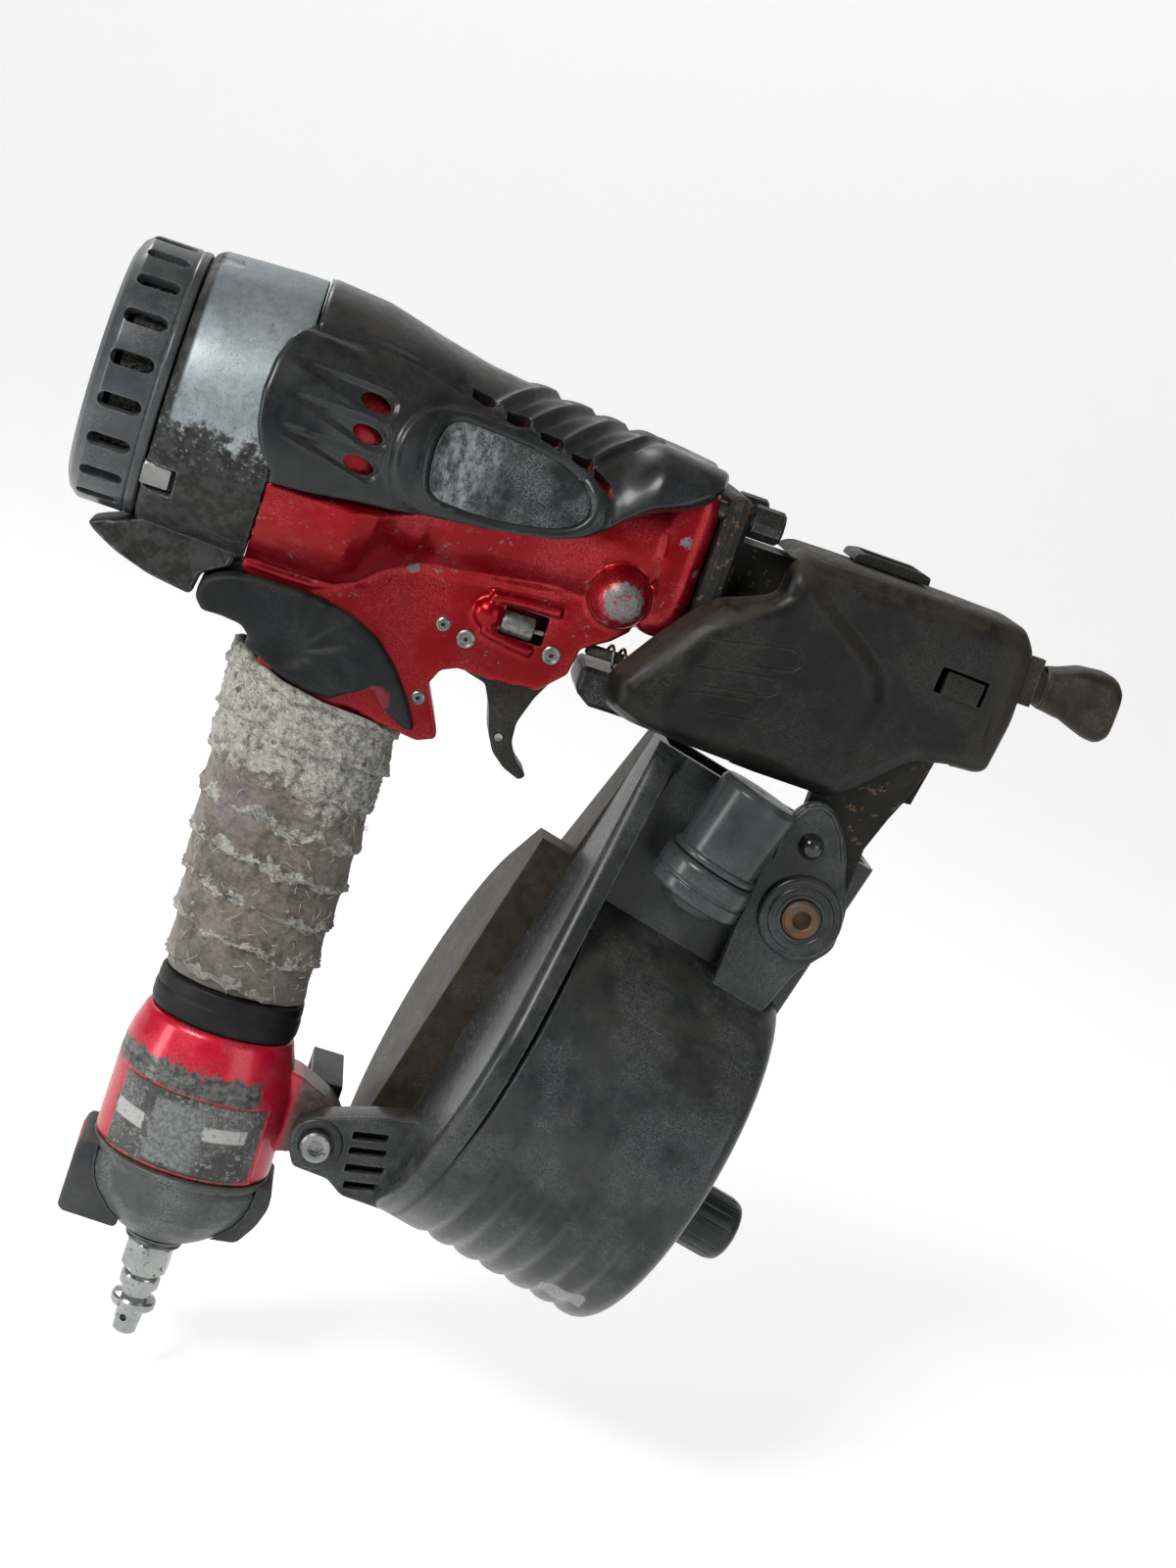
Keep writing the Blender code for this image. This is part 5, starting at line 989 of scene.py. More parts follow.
def body_housing():
    bm = bmesh.new()
    loops = []
    xs = [-29.7 + 94.3 * i / 70 for i in range(71)]
    seg = 240
    for x in xs:
        lp = []
        for k in range(seg):
            th = 360.0 * k / seg
            a = th if th <= 180 else 360 - th
            r = body_r(x)
            if x < 10:
                r = r + (lerp(BODY_BIG, x) - r) * smooth01(107.6, 109.4, a)
            t = math.radians(th)
            lp.append((x, r * math.sin(t), BZ + r * math.cos(t)))
        loops.append(lp)
    loops.append([(70.0, 18.0 * math.sin(2 * math.pi * k / seg), BZ + 18.0 * math.cos(2 * math.pi * k / seg)) for k in range(seg)])
    rings(bm, loops)
    body = make('body_housing_v', bm)
    core = stack('h', fine_rows([(72.0, -4.0, 21.0, 14.5)] + HAND, 3.0), seg=72)
    under = prism('u', [(-29.7, 92.0), (-29.7, 67.3), (-22.0, 62.0), (-19.0, 46.0), (14.0, 41.0), (24.0, 39.6),
                        (28.6, 41.6), (28.2, 43.6), (22.6, 54.4), (24.4, 58.4), (28.2, 60.1), (37.4, 59.9), (48.6, 61.0), (54.4, 67.0),
                        (55.5, 74.2), (62.0, 78.3), (65.7, 82.0), (65.7, 92.0), (10.0, 96.0)], -14.0, 14.0)
    # a shallow flare where the side plate meets the bump, seen in the photograph
    rib = []
    for s in (-1, 1):
        line = [(-28.6, 69.0), (-21.0, 68.8), (-13.0, 68.8), (-6.6, 70.2), (-1.5, 74.4), (3.5, 79.0), (9.6, 81.0), (23.3, 82.9), (37.4, 84.6), (48.0, 86.0)]
        pts = []
        for (x0, z0), (x1, z1) in zip(line, line[1:]):
            for j in range(6):
                pts.append((x0 + (x1 - x0) * j / 6, s * 13.55, z0 + (z1 - z0) * j / 6))
        rib.append(tube('rl', pts, 1.15, 10))
    flange = make('f', box_bm(64.0, 77.2, -20.0, 20.0, BZ - 20.0, BZ + 20.0))
    bevel(flange, 5.5, 4, 60.0)
    bm = bmesh.new()
    for s in (-1, 1):
        lathe_bm([(-7.7, 0)] + [(7.7 * -math.cos(math.radians(a)), 7.7 * math.sin(math.radians(a))) for a in range(10, 180, 10)] + [(7.7, 0)],
                 (59.6, s * 21.0, 90.3), YAX, 40, bm)
        # collar under the ball and the fillet down to the plate
        lathe_bm([(-8.0, 0), (-8.0, 6.2), (-4.0, 7.0), (0.0, 7.2), (0, 0)], (59.6, s * 17.0, 89.0), (0, s, 0), 40, bm)
    bumps = make('bp', bm, weld=0)
    boole(body, [core, under], 'UNION')
    boole(body, rib + [flange], 'UNION')
    boole(body, [bumps], 'UNION')
    # raised frame of the roller window
    frames = []
    for s in (-1, 1):
        for pts, w in (([(30.6, 79.9), (34.0, 80.4), (40.0, 80.9), (48.0, 81.2)], 1.25), ([(30.8, 71.6), (34.0, 70.9), (40.0, 70.0), (44.0, 69.6)], 1.25)):
            line = [(x, s * 14.6, z) for x, z in pts]
            frames.append(tube('wf', line, w, 12))
        mound = lathe('wm', [(-4.5, 0)] + [(4.5 * -math.cos(math.radians(a)), 4.5 * math.sin(math.radians(a))) for a in range(15, 180, 15)] + [(4.5, 0)], (31.0, s * 12.2, 75.6), (0, 0, 1), seg=30)
        frames.append(mound)
    boole(body, frames, 'UNION')
    remesh(body, 0.55, 5, 0.5)
    bm = bmesh.new()
    lathe_bm([(-32.0, 0), (-32.0, 27.0), (-8.0, 27.0), (-8.0, 16.0), (62.6, 16.0), (62.6, 14.6), (80.0, 14.6), (80.0, 0)], O_B, XAX, 96, bm)
    bore = make('bo', bm, smooth=False)
    bays = make('ba', box_bm(39.2, 54.3, -8.0, 8.0, 50.0, 78.3), smooth=False)
    bay2 = make('bb', box_bm(24.5, 39.8, -8.0, 8.0, 50.0, 65.2), smooth=False)
    hole = lathe('vh', [(60.0, 0), (60.0, 4.9), (82.0, 4.9), (82.0, 0)], (34.2, 0, 0), ZAX, seg=32)
    wins = [prism('w', round_outline([(34.6, 71.6), (46.0, 71.6), (46.0, 79.2), (34.6, 79.2)], 0.7, 3), -24.0, -7.5),
            make('w2', box_bm(31.5, 46.0, -13.0, -7.5, 70.7, 78.3), smooth=False)]
    rod = lathe('rh', [(46.6, 0), (46.6, 1.9), (70.0, 1.9), (70.0, 0)], (0, -11.0, 74.5), XAX, seg=20)
    bm = bmesh.new()
    for px, pz in PINS.values():
        lathe_bm([(-17.0, 0), (-17.0, 1.85), (17.0, 1.85), (17.0, 0)], (px, 0, pz), YAX, 24, bm)
    for a in (-1, 1):
        for b in (-1, 1):
            lathe_bm([(66.0, 0), (66.0, 2.7), (79.0, 2.7), (79.0, 0)], (0, a * BOLT_OFF, BZ + b * BOLT_OFF), XAX, 20, bm)
    pins = make('ph', bm, smooth=False, weld=0)
    void_t = [(z, cx, a - 3.2, b - 3.2) for z, cx, a, b in [(81.0, -4.0, 17.0, 12.0)] + HAND[:-1] + [(-84.0, 1.2, 15.2, 12.2)]]
    air = stack('av', void_t, seg=36)
    boole(body, [bore, air, bays, bay2, hole] + wins + [rod, pins])
    sharpen(body.data, 42.0)
    put(body, 'red', 'tool', 'body_housing')
    # pins: a spring pin in a flanged collar
    for key, (px, pz) in PINS.items():
        big = key in '23'
        ro = 2.35 if big else 1.75
        prof = [(-13.2, 1.75)]
        out = []
        for s in (-1, 1):
            q = [(s * 13.2, 1.8), (s * 14.15, 1.8), (s * 14.35, ro), (s * 14.6, ro - 0.1), (s * 14.75, ro - 0.4), (s * 14.55, 1.45),
                 (s * 14.35, 1.4), (s * 14.35, 1.15), (s * 14.7, 1.1), (s * 14.7, 0.62), (s * 13.0, 0.55), (s * 13.0, 0)]
            out.append(q)
        prof = list(reversed(out[0])) + out[1]
        p = lathe('body_pin_%s_v' % key, prof, (px, 0, pz), YAX, seg=40 if big else 6 * 6)
        sharpen(p.data, 30)
        put(p, 'pin', 'tool', 'body_pin_' + key)


# ================================================================== rubber body guard
START = [(0, -29.6), (44, -29.6), (46.5, -30.8), (49, -32.6), (55, -34.9), (64, -36.6), (76, -37.2), (88, -36.0), (95, -34.2), (100, -31.8), (103, -29.7), (107.5, -29.6)]
END = [(0, 76.6), (30, 76.6), (42, 75.6), (52, 73.0), (60, 68.0), (68, 59.0), (76, 54.5), (85, 51.0), (92, 47.0), (98, 40.0),
       (102, 27.0), (105, 10.0), (107.5, -6.0)]
CREASE = [(-30, 43.5), (-28.6, 43.2), (-14, 39.0), (-4, 37.0), (4, 38.6), (10, 39.8), (18, 43.7), (27.5, 47.4), (37, 52.3), (45.3, 58.4), (50.6, 69.5)]
BADGE = [(5.6, 114.6), (6.0, 108.0), (8.6, 101.6), (15.0, 100.9), (24.0, 101.6), (33.0, 103.0), (40.5, 105.6), (43.2, 108.6),
         (41.5, 111.0), (34.0, 113.8), (24.0, 115.8), (12.0, 117.0), (7.5, 116.8)]
BADGE_V = [(4.9, 112.0), (5.3, 106.0), (6.6, 101.2), (9.5, 99.4), (16.0, 98.9), (22.6, 98.9), (31.0, 99.8), (39.0, 101.4), (43.6, 103.8), (45.6, 107.0), (45.3, 110.2),
           (42.4, 113.6), (37.6, 116.0), (28.2, 117.9), (15.6, 118.8), (9.4, 118.8), (6.4, 117.4)]
RIM = [(-3.6, 110.5), (-2.4, 115.0), (0.6, 118.9), (5.6, 121.0), (14.0, 121.5), (27.7, 120.4), (38.0, 118.2), (45.0, 115.2), (49.6, 110.6), (50.2, 105.4), (46.0, 101.0),
       (39.0, 98.2), (27.0, 96.4), (15.0, 95.4), (6.0, 95.2), (0.6, 97.4), (-2.8, 103.0)]
RIBS = [(30.4, -0.318), (40.0, -0.324), (49.0, -0.30), (59.5, -0.335)]
SLOT_C = [(13.0, 40.6), (22.4, 44.2), (31.6, 48.0), (40.2, 53.2), (46.6, 60.6)]
OVALS = [(-11.2, 116.6, -33.0, 121.2), (-10.9, 109.2, -32.0, 113.6), (-10.8, 101.8, -32.0, 105.6)]


def poly_dist(px, pz, poly):
    """Distance to a closed outline, negative inside."""
    best, inside = 1e9, False
    n = len(poly)
    for i in range(n):
        x0, z0 = poly[i]
        x1, z1 = poly[(i + 1) % n]
        dx, dz = x1 - x0, z1 - z0
        t = max(0.0, min(1.0, ((px - x0) * dx + (pz - z0) * dz) / (dx * dx + dz * dz)))
        d = math.hypot(px - x0 - dx * t, pz - z0 - dz * t)
        best = min(best, d)
        if (z0 > pz) != (z1 > pz) and px < dx * (pz - z0) / dz + x0:
            inside = not inside
    return -best if inside else best


RIM_S = round_outline(RIM, 4.0, 3)
BADGE_S = round_outline(BADGE_V, 3.0, 3)


def guard_base(x, th):
    t = math.radians(th)
    r = slerp(GUARD_R, x)
    a = abs(th)
    lobe = smooth01(43.5, 52.0, a)
    r += 2.3 * lobe * smooth01(-10.0, -24.0, x)
    k = smooth01(50.0, 61.0, x)
    r += k * 6.4 * math.sin(2 * t) ** 2 * (1 if a < 90 else max(0.0, 1 - (a - 90) / 8))
    return r


def guard_outer(x, th):
    a = abs(th)
    t = math.radians(a)
    r = guard_base(x, th)
    y, z = -r * math.sin(t), BZ + r * math.cos(t)
    # raised top band that ends at a crease
    c = lerp(CREASE, x)
    if x < 50:
        r += 0.75 * smooth01(c + 1.2, c - 0.6, a) * smooth01(50, 44, x)
        r -= 0.45 * math.exp(-((a - c - 1.6) / 1.5) ** 2) * smooth01(50, 44, x)
    # diagonal ribs over the top, ending at the rail
    if 4 < x < 66 and a < 64:
        for x0, sl in RIBS:
            xc = x0 + sl * a
            u = (x - xc) / 1.35
            if abs(u) < 3:
                fade = smooth01(c + 3.0, c - 3.0, a)
                r += 1.35 * math.exp(-u * u) * fade
                r -= 0.35 * math.exp(-((x - xc - 3.1) / 1.5) ** 2) * fade
    # rails above and below the slots
    if 8 < x < 50:
        r += 0.55 * math.exp(-((a - c - 3.6) / 1.3) ** 2) * smooth01(6, 11, x) * smooth01(52, 46, x)
    # plateau round the badge and its seat
    if -8 < x < 56 and a > 28:
        d = poly_dist(x, z, RIM_S)
        r += 0.95 * smooth01(0.6, -1.1, d)
        r -= 0.35 * math.exp(-((d - 1.3) / 0.9) ** 2)
        if d < 0:
            e = poly_dist(x, z, BADGE_S)
            r += 0.35 * math.exp(-((e - 1.5) / 1.0) ** 2) - 1.15 * smooth01(0.35, -0.25, e)
    # three teardrop grooves that run into the oval holes
    if -34 < x < -6 and a > 50:
        for cx, cz, gx, gz in OVALS:
            dx, dz = cx + 2.2 - gx, cz - gz
            L2 = dx * dx + dz * dz
            u = max(0.0, min(1.0, ((x - gx) * dx + (z - gz) * dz) / L2))
            d = math.hypot(x - gx - dx * u, z - gz - dz * u)
            w = 0.55 + 2.5 * u ** 1.2
            r -= 0.85 * smooth01(w + 0.5, w - 0.6, d) * smooth01(0.0, 0.3, u)
            r += 0.22 * math.exp(-((d - w - 0.7) / 0.6) ** 2) * smooth01(0.0, 0.25, u)
    return r


def guard_inner(x, th):
    t = math.radians(th)
    if x <= -29.4:
        return 36.45
    r = lerp(GUARD_R, max(x, -29.7)) - 3.0 + 0.7 * max(0.0, min(1.0, (abs(th) - 90.0) / 8.0))
    k = max(0.0, min(1.0, (x - 50.0) / 12.0))
    r += k * 5.6 * math.sin(2 * t) ** 2 * (1 if abs(th) < 90 else 0)
    if x > 62.0:
        c, s = abs(math.cos(t)), abs(math.sin(t))
        r = max(r, min(20.35 / max(c, s), 26.3))
    return r


def body_guard():
    bm = bmesh.new()
    NT, NXX = 250, 230
    loops = []
    for i in range(NT + 1):
        th = -107.5 + 215.0 * i / NT
        x0, x1 = slerp(START, abs(th)), slerp(END, abs(th))
        t = math.radians(th)
        s, c = math.sin(t), math.cos(t)
        edge_t = smooth01(107.5, 105.2, abs(th))
        outer = []
        for j in range(NXX + 1):
            u = j / NXX
            x = x0 + (x1 - x0) * u
            ro = guard_outer(x, th)
            ri = guard_inner(x, th)
            e = min((x - x0), (x1 - x), (107.5 - abs(th)) * 0.62)
            ro -= 1.5 * (1 - math.sqrt(max(0.0, 1 - (1 - min(e, 1.5) / 1.5) ** 2)))
            ro = max(ro, ri + 0.5)
            outer.append((x, ro * s, BZ + ro * c))
        inner = []
        for j in range(31):
            x = x1 + (x0 - x1) * j / 30
            if -30.6 < x < -29.4:
                x = -29.4 if x > -30 else -30.6
            ri = guard_inner(x, th)
            inner.append((x, ri * s, BZ + ri * c))
        loops.append(outer + inner)
    rings(bm, loops)
    g = make('body_guard_v', bm, angle=60, weld=0)
    cuts = []
    bm = bmesh.new()
    for sgn in (-1, 1):
        for cx, cz, gx, gz in OVALS:
            ang = math.atan2(gz - cz, gx - cx)
            ux, uz = math.cos(ang), math.sin(ang)
            lp = []
            for q in (2 * math.pi * j / 28 for j in range(28)):
                a, b = 3.9 * math.cos(q), 2.0 * math.sin(q)
                lp.append((cx + ux * a - uz * b, cz + uz * a + ux * b))
            rings(bm, [[(x, yy, z) for x, z in lp] for yy in (sgn * 26.0, sgn * 42.0)])
        for x, th in SLOT_C:
            t = math.radians(th)
            er = Vector((0, sgn * math.sin(t), math.cos(t)))
            et = Vector((0, sgn * math.cos(t), -math.sin(t)))
            k = 0.30
            out = round_outline([(-3.4, -0.6), (2.2, -1.7), (3.4, 0.7), (-2.3, 1.5)], 0.6, 2)
            dz = (lerp(CREASE, x + 2) - lerp(CREASE, x - 2)) / 4.0 * 0.42
            rings(bm, [[tuple(Vector((x + px, 0, BZ)) + er * r + et * (pt + dz * px)) for px, pt in out] for r in (16.0, 36.0)])
    cutter = make('gc', bm, smooth=False, weld=0)
    boole(g, [cutter])
    sharpen(g.data, 50.0)
    put(g, 'rubber', 'tool', 'body_guard')


def badges():
    for sgn, side in ((-1, 'right'), (1, 'left')):
        poly = round_outline(BADGE_V, 3.0, 3)
        cx, cz = 24.5, 108.8
        bm = bmesh.new()
        prev = None
        levels = [1.0, 0.985, 0.95] + [0.9 - 0.05 * i for i in range(17)] + [0.05]
        rows = []
        for f in levels:
            row = []
            for px, pz in poly:
                x, z = cx + (px - cx) * (0.994 * f), cz + (pz - cz) * (0.994 * f)
                r = guard_base(x, 60) + (0.30 if f < 0.99 else -0.1)
                r += 0.10 * fbm(x, 0, z, 0.35, 3) * (1 if f < 0.96 else 0)
                row.append(bm.verts.new((x * MM, sgn * math.sqrt(max(r * r - (z - BZ) ** 2, 1)) * MM, z * MM)))
            rows.append(row)
        n = len(poly)
        for a, b in zip(rows, rows[1:]):
            for k in range(n):
                bm.faces.new((a[k], a[(k + 1) % n], b[(k + 1) % n], b[k]))
        bm.faces.new(rows[-1])
        # back face, so that the film is a closed thin body
        back = []
        for px, pz in poly:
            x, z = cx + (px - cx) * 0.994, cz + (pz - cz) * 0.994
            r = guard_base(x, 60) - 0.55
            back.append(bm.verts.new((x * MM, sgn * math.sqrt(max(r * r - (z - BZ) ** 2, 1)) * MM, z * MM)))
        for k in range(n):
            bm.faces.new((rows[0][k], back[k], back[(k + 1) % n], rows[0][(k + 1) % n]))
        bm.faces.new(back)
        b = make('badge_%s_v' % side, bm, angle=60, weld=0)
        put(b, 'badge', 'tool', 'badge_' + side)


# ================================================================== grip pieces
WO = [(52.0, -3.2, 22.9, 17.9), (38.6, -2.6, 22.4, 17.5), (30.0, -2.2, 22.1, 17.2), (12.0, -1.5, 21.4, 16.7), (-4.0, -0.9, 20.7, 16.2), (-20.0, -0.2, 19.5, 15.6),
      (-36.9, 0.6, 18.4, 15.0)]
PITCH = 10.8


def row_at(table, z):
    tab = sorted(table)
    if z <= tab[0][0]:
        return tab[0][1:]
    for p, q in zip(tab, tab[1:]):
        if z <= q[0]:
            t = (z - p[0]) / (q[0] - p[0])
            return tuple(p[j] + (q[j] - p[j]) * t for j in (1, 2, 3))
    return tab[-1][1:]


def wrap_h(x, y, z):
    """Turns of the tape at a point: a whole number is an edge of the tape."""
    phi = math.atan2(y, x + 1.0)
    w = 0.17 * fbm(x, y, z * 0.35, 0.11, 3) + 0.05 * fbm(x + 40, y, z, 0.5, 2)
    return (37.6 - z) / PITCH - phi / (2 * math.pi) + w


def wrap_white(x, y, z):
    h = wrap_h(x, y, z)
    f = h - math.floor(h)
    n = fbm(x + 9, y, z, 0.16, 4)
    n2 = fbm(x, y + 30, z, 0.55, 3)
    band = smooth01(0.66, 0.94, f + 0.26 * n + 0.14 * n2)
    band = max(band, smooth01(0.10, 0.03, f) * 0.85)
    top = smooth01(9.0, 22.0, z + 5.0 * n + 0.25 * x)
    patch = smooth01(0.42, 0.72, fbm(x + 70, y, z, 0.12, 4) + 0.5)
    w = max(band * (0.85 + 0.5 * n), top * (0.82 + 0.5 * n2), 0.4 * patch * (0.5 + n2))
    w *= smooth01(-37.0, -33.0, z + 1.5 * n)
    return max(0.0, min(1.0, w))


def wrap_top(x):
    return lerp([(-26, 49.5), (-20.5, 47.6), (-12.4, 44.1), (0.0, 42.0), (9.0, 41.2), (17.0, 40.2), (24.0, 39.4)], x)


def grip_wrap():
    bm = bmesh.new()
    seg, rows = 300, 330
    loops = []
    for i in range(rows + 1):
        lp = []
        for k in range(seg):
            t = 2 * math.pi * k / seg
            c, s = math.cos(t), math.sin(t)
            zt = wrap_top(-2.5 + 22.4 * c)
            z = zt + (-36.9 - zt) * i / rows
            cx, a, b = row_at(WO, z)
            x, y = cx + a * c, b * s
            h = wrap_h(x, y, z)
            f = h - math.floor(h)
            w = wrap_white(x, y, z)
            d = 0.75 * smooth01(0.0, 0.9, f) - 0.55 + 0.55 * math.exp(-((f - 0.95) / 0.045) ** 2)
            d += 0.55 * w * (fbm(x, y, z * 1.2, 0.85, 3) + 0.35) + 0.5 * fbm(x, y, z, 0.1, 2)
            d += 0.16 * fbm(x, y * 1.5, z, 2.2, 2) * w
            d += 0.9 * smooth01(14.0, 30.0, z) * (0.35 + 0.6 * fbm(x, y, z, 0.2, 3))
            e = min(i, rows - i) / 6.0
            if e < 1:
                d -= 1.2 * (1 - math.sqrt(max(0.0, 1 - (1 - e) ** 2)))
            lp.append((x + c * d, y + s * d, z))
        loops.append(lp)
    inner = []
    for i in range(9):
        lp = []
        for k in range(seg):
            t = 2 * math.pi * k / seg
            zt = wrap_top(-2.5 + 22.4 * math.cos(t))
            z = -36.9 + (zt + 36.9) * i / 8
            cx, a, b = row_at(HAND, z)
            lp.append((cx + (a + 0.35) * math.cos(t), (b + 0.35) * math.sin(t), z))
        inner.append(lp)
    rings(bm, loops + inner, loop_around=True)
    g = make('grip_wrap_v', bm, angle=180, weld=0)
    attr(g, 'white', wrap_white)
    attr(g, 'turn', lambda x, y, z: wrap_h(x, y, z) - math.floor(wrap_h(x, y, z)))
    put(g, 'tape', 'tool', 'grip_wrap')
    # frayed threads that stand off the tape edges
    bm = bmesh.new()
    import random
    rnd = random.Random(11)
    for i in range(150):
        t = rnd.uniform(-math.pi, math.pi) if i % 3 else rnd.uniform(-2.6, -0.2)
        z = rnd.uniform(-34, 40)
        cx, a, b = row_at(WO, z)
        c, s = math.cos(t), math.sin(t)
        p = Vector((cx + (a + 0.3) * c, (b + 0.3) * s, z))
        out = Vector((c / a, s / b, 0)).normalized()
        tang = Vector((-s * a, c * b, 0)).normalized()
        d = (tang * rnd.uniform(-1, 1) + Vector((0, 0, rnd.uniform(-0.9, 0.5)))).normalized()
        L = rnd.uniform(1.2, 4.6)
        pts = []
        for j in range(6):
            u = j / 5
            q = p + d * (L * u) + out * (0.45 * math.sin(math.pi * u) + 0.12 + 0.2 * u * rnd.uniform(0, 1))
            q += Vector((0, 0, -0.5 * u * u)) + tang * (0.25 * math.sin(5 * u + i))
            pts.append(q)
        loops = []
        for j, q in enumerate(pts):
            tt = (pts[min(j + 1, 5)] - pts[max(j - 1, 0)]).normalized()
            e1 = out.cross(tt).normalized()
            e2 = tt.cross(e1)
            r = 0.10 * (1 - 0.5 * j / 5)
            loops.append([tuple(q + (e1 * math.cos(w) + e2 * math.sin(w)) * r) for w in (0, 2.09, 4.19)])
        rings(bm, loops)
    th = make('grip_threads', bm, weld=0, angle=180)
    put(th, 'thread', 'tool')
    ring = []
    prof = round_outline([(18.4, -37.2), (18.9, -37.6), (19.15, -40.2), (19.0, -41.0), (19.35, -42.0), (19.35, -45.4), (18.8, -47.0), (15.6, -47.0), (15.6, -37.2)], 0.5, 4)
    bm = bmesh.new()
    loops = []
    for k in range(160):
        t = 2 * math.pi * k / 160
        loops.append([(0.75 + r * math.cos(t), (r - (3.1 if r < 17 else 2.6 - 0.25 * smooth01(-37, -46, z))) * math.sin(t), z) for r, z in prof])
    rings(bm, loops, loop_around=True)
    r = make('grip_ring_v', bm, angle=50)
    put(r, 'ring', 'tool', 'grip_ring')


def overmould():
    pts = [(-38.2, 60.0), (-37.6, 62.4), (-34.5, 64.6), (-31.0, 65.9), (-26.0, 66.7), (-15.0, 66.9), (-7.0, 66.2), (0.0, 64.6), (7.6, 61.0), (13.5, 55.8), (18.6, 49.4), (22.8, 42.6),
           (20.6, 41.6), (16.6, 43.6), (13.4, 45.4), (9.8, 49.4), (5.0, 46.6), (0.4, 43.2), (-6.0, 43.4), (-12.4, 45.0), (-20.4, 48.6), (-23.4, 49.4), (-22.9, 52.0), (-25.5, 54.2), (-31.0, 54.8), (-35.6, 54.6), (-38.0, 57.2)]
    pts = round_outline(pts, 0.9, 3)
    bm = bmesh.new()
    cx, cz = -8.0, 55.0
    loops = []

    def shrink(d):
        out = []
        n = len(pts)
        for i in range(n):
            p0, p1, p2 = Vector(pts[i - 1]), Vector(pts[i]), Vector(pts[(i + 1) % n])
            e = (p2 - p0)
            e.normalize()
            nn = Vector((-e.y, e.x))
            out.append((p1.x - nn.x * d, p1.y - nn.y * d))
        return out
    area = sum(pts[i - 1][0] * pts[i][1] - pts[i][0] * pts[i - 1][1] for i in range(len(pts)))
    sg = 1 if area < 0 else -1
    for y, d in ((-17.4, 1.5), (-17.1, 0.75), (-16.4, 0.2), (-15.4, 0.0), (15.4, 0.0), (16.4, 0.2), (17.1, 0.75), (17.4, 1.5)):
        loops.append([(x, y, z) for x, z in shrink(sg * d)])
    rings(bm, loops)
    over = make('grip_overmould_v', bm, weld=0)
    remesh(over, 0.5, 4, 0.5)

    def crease(x, y, z, n):
        if abs(n.y) < 0.6:
            return 0.0
        d = math.hypot(x + 12.5, z - 52.5)
        a = math.atan2(z - 52.5, x + 12.5)
        fan = smooth01(2.5, 7.0, d) * smooth01(26.0, 12.0, d) * smooth01(-1.9, -0.6, a) * smooth01(2.2, 1.1, a)
        r = 0.42 * fan * math.sin(a * 13 + 0.8 * math.sin(d * 0.4)) * (0.6 + 0.4 * math.sin(3 * a + 1))
        r -= 1.1 * math.exp(-((d - 1.0) / 4.2) ** 2)
        r += 0.5 * math.exp(-((d - 6.0) / 2.4) ** 2) * smooth01(1.4, -1.0, a)
        return r + 0.15 * fbm(x, y, z, 0.15, 2)
    displace(over, crease)
    clear = prism('oc', [(-29.9, 95.0), (-29.9, 67.0), (-22.6, 62.4), (-19.6, 45.4), (13.4, 40.2), (24.4, 39.2), (29.0, 41.4), (28.8, 43.8), (22.9, 54.4), (28.0, 95.0)], -14.15, 14.15)
    core = stack('ocr', [(80.0, -4.0, 21.3, 14.8), (72.0, -4.0, 21.3, 14.8), (45.0, -2.9, 20.3, 14.8), (30.0, -2.9, 19.9, 14.6)], seg=72)
    bar = lathe('ob', [(-34.0, 0), (-34.0, 36.4), (-29.9, 36.4), (-29.8, 35.8), (-7.0, 35.8), (-2.8, 34.0), (2.3, 30.0), (9.9, 27.0), (24.0, 25.0), (60.0, 23.0), (60.0, 0)], O_B, XAX, seg=96)
    boole(over, [clear, core, bar])
    sharpen(over.data, 48.0)
    put(over, 'over', 'tool', 'grip_overmould')


# ================================================================== end cap, label, cup, feet, plug
EC = [(-47.4, 0.7, 18.9, 17.1), (-48.4, 0.65, 19.7, 17.9), (-50.0, 0.6, 20.2, 18.4), (-54.0, 0.7, 21.5, 19.7), (-57.0, 0.8, 22.2, 20.4), (-59.5, 0.95, 22.65, 20.85), (-62.0, 1.1, 22.9, 21.2),
      (-84.0, 1.4, 23.3, 21.6)]
RB = (32.5, -67.0)


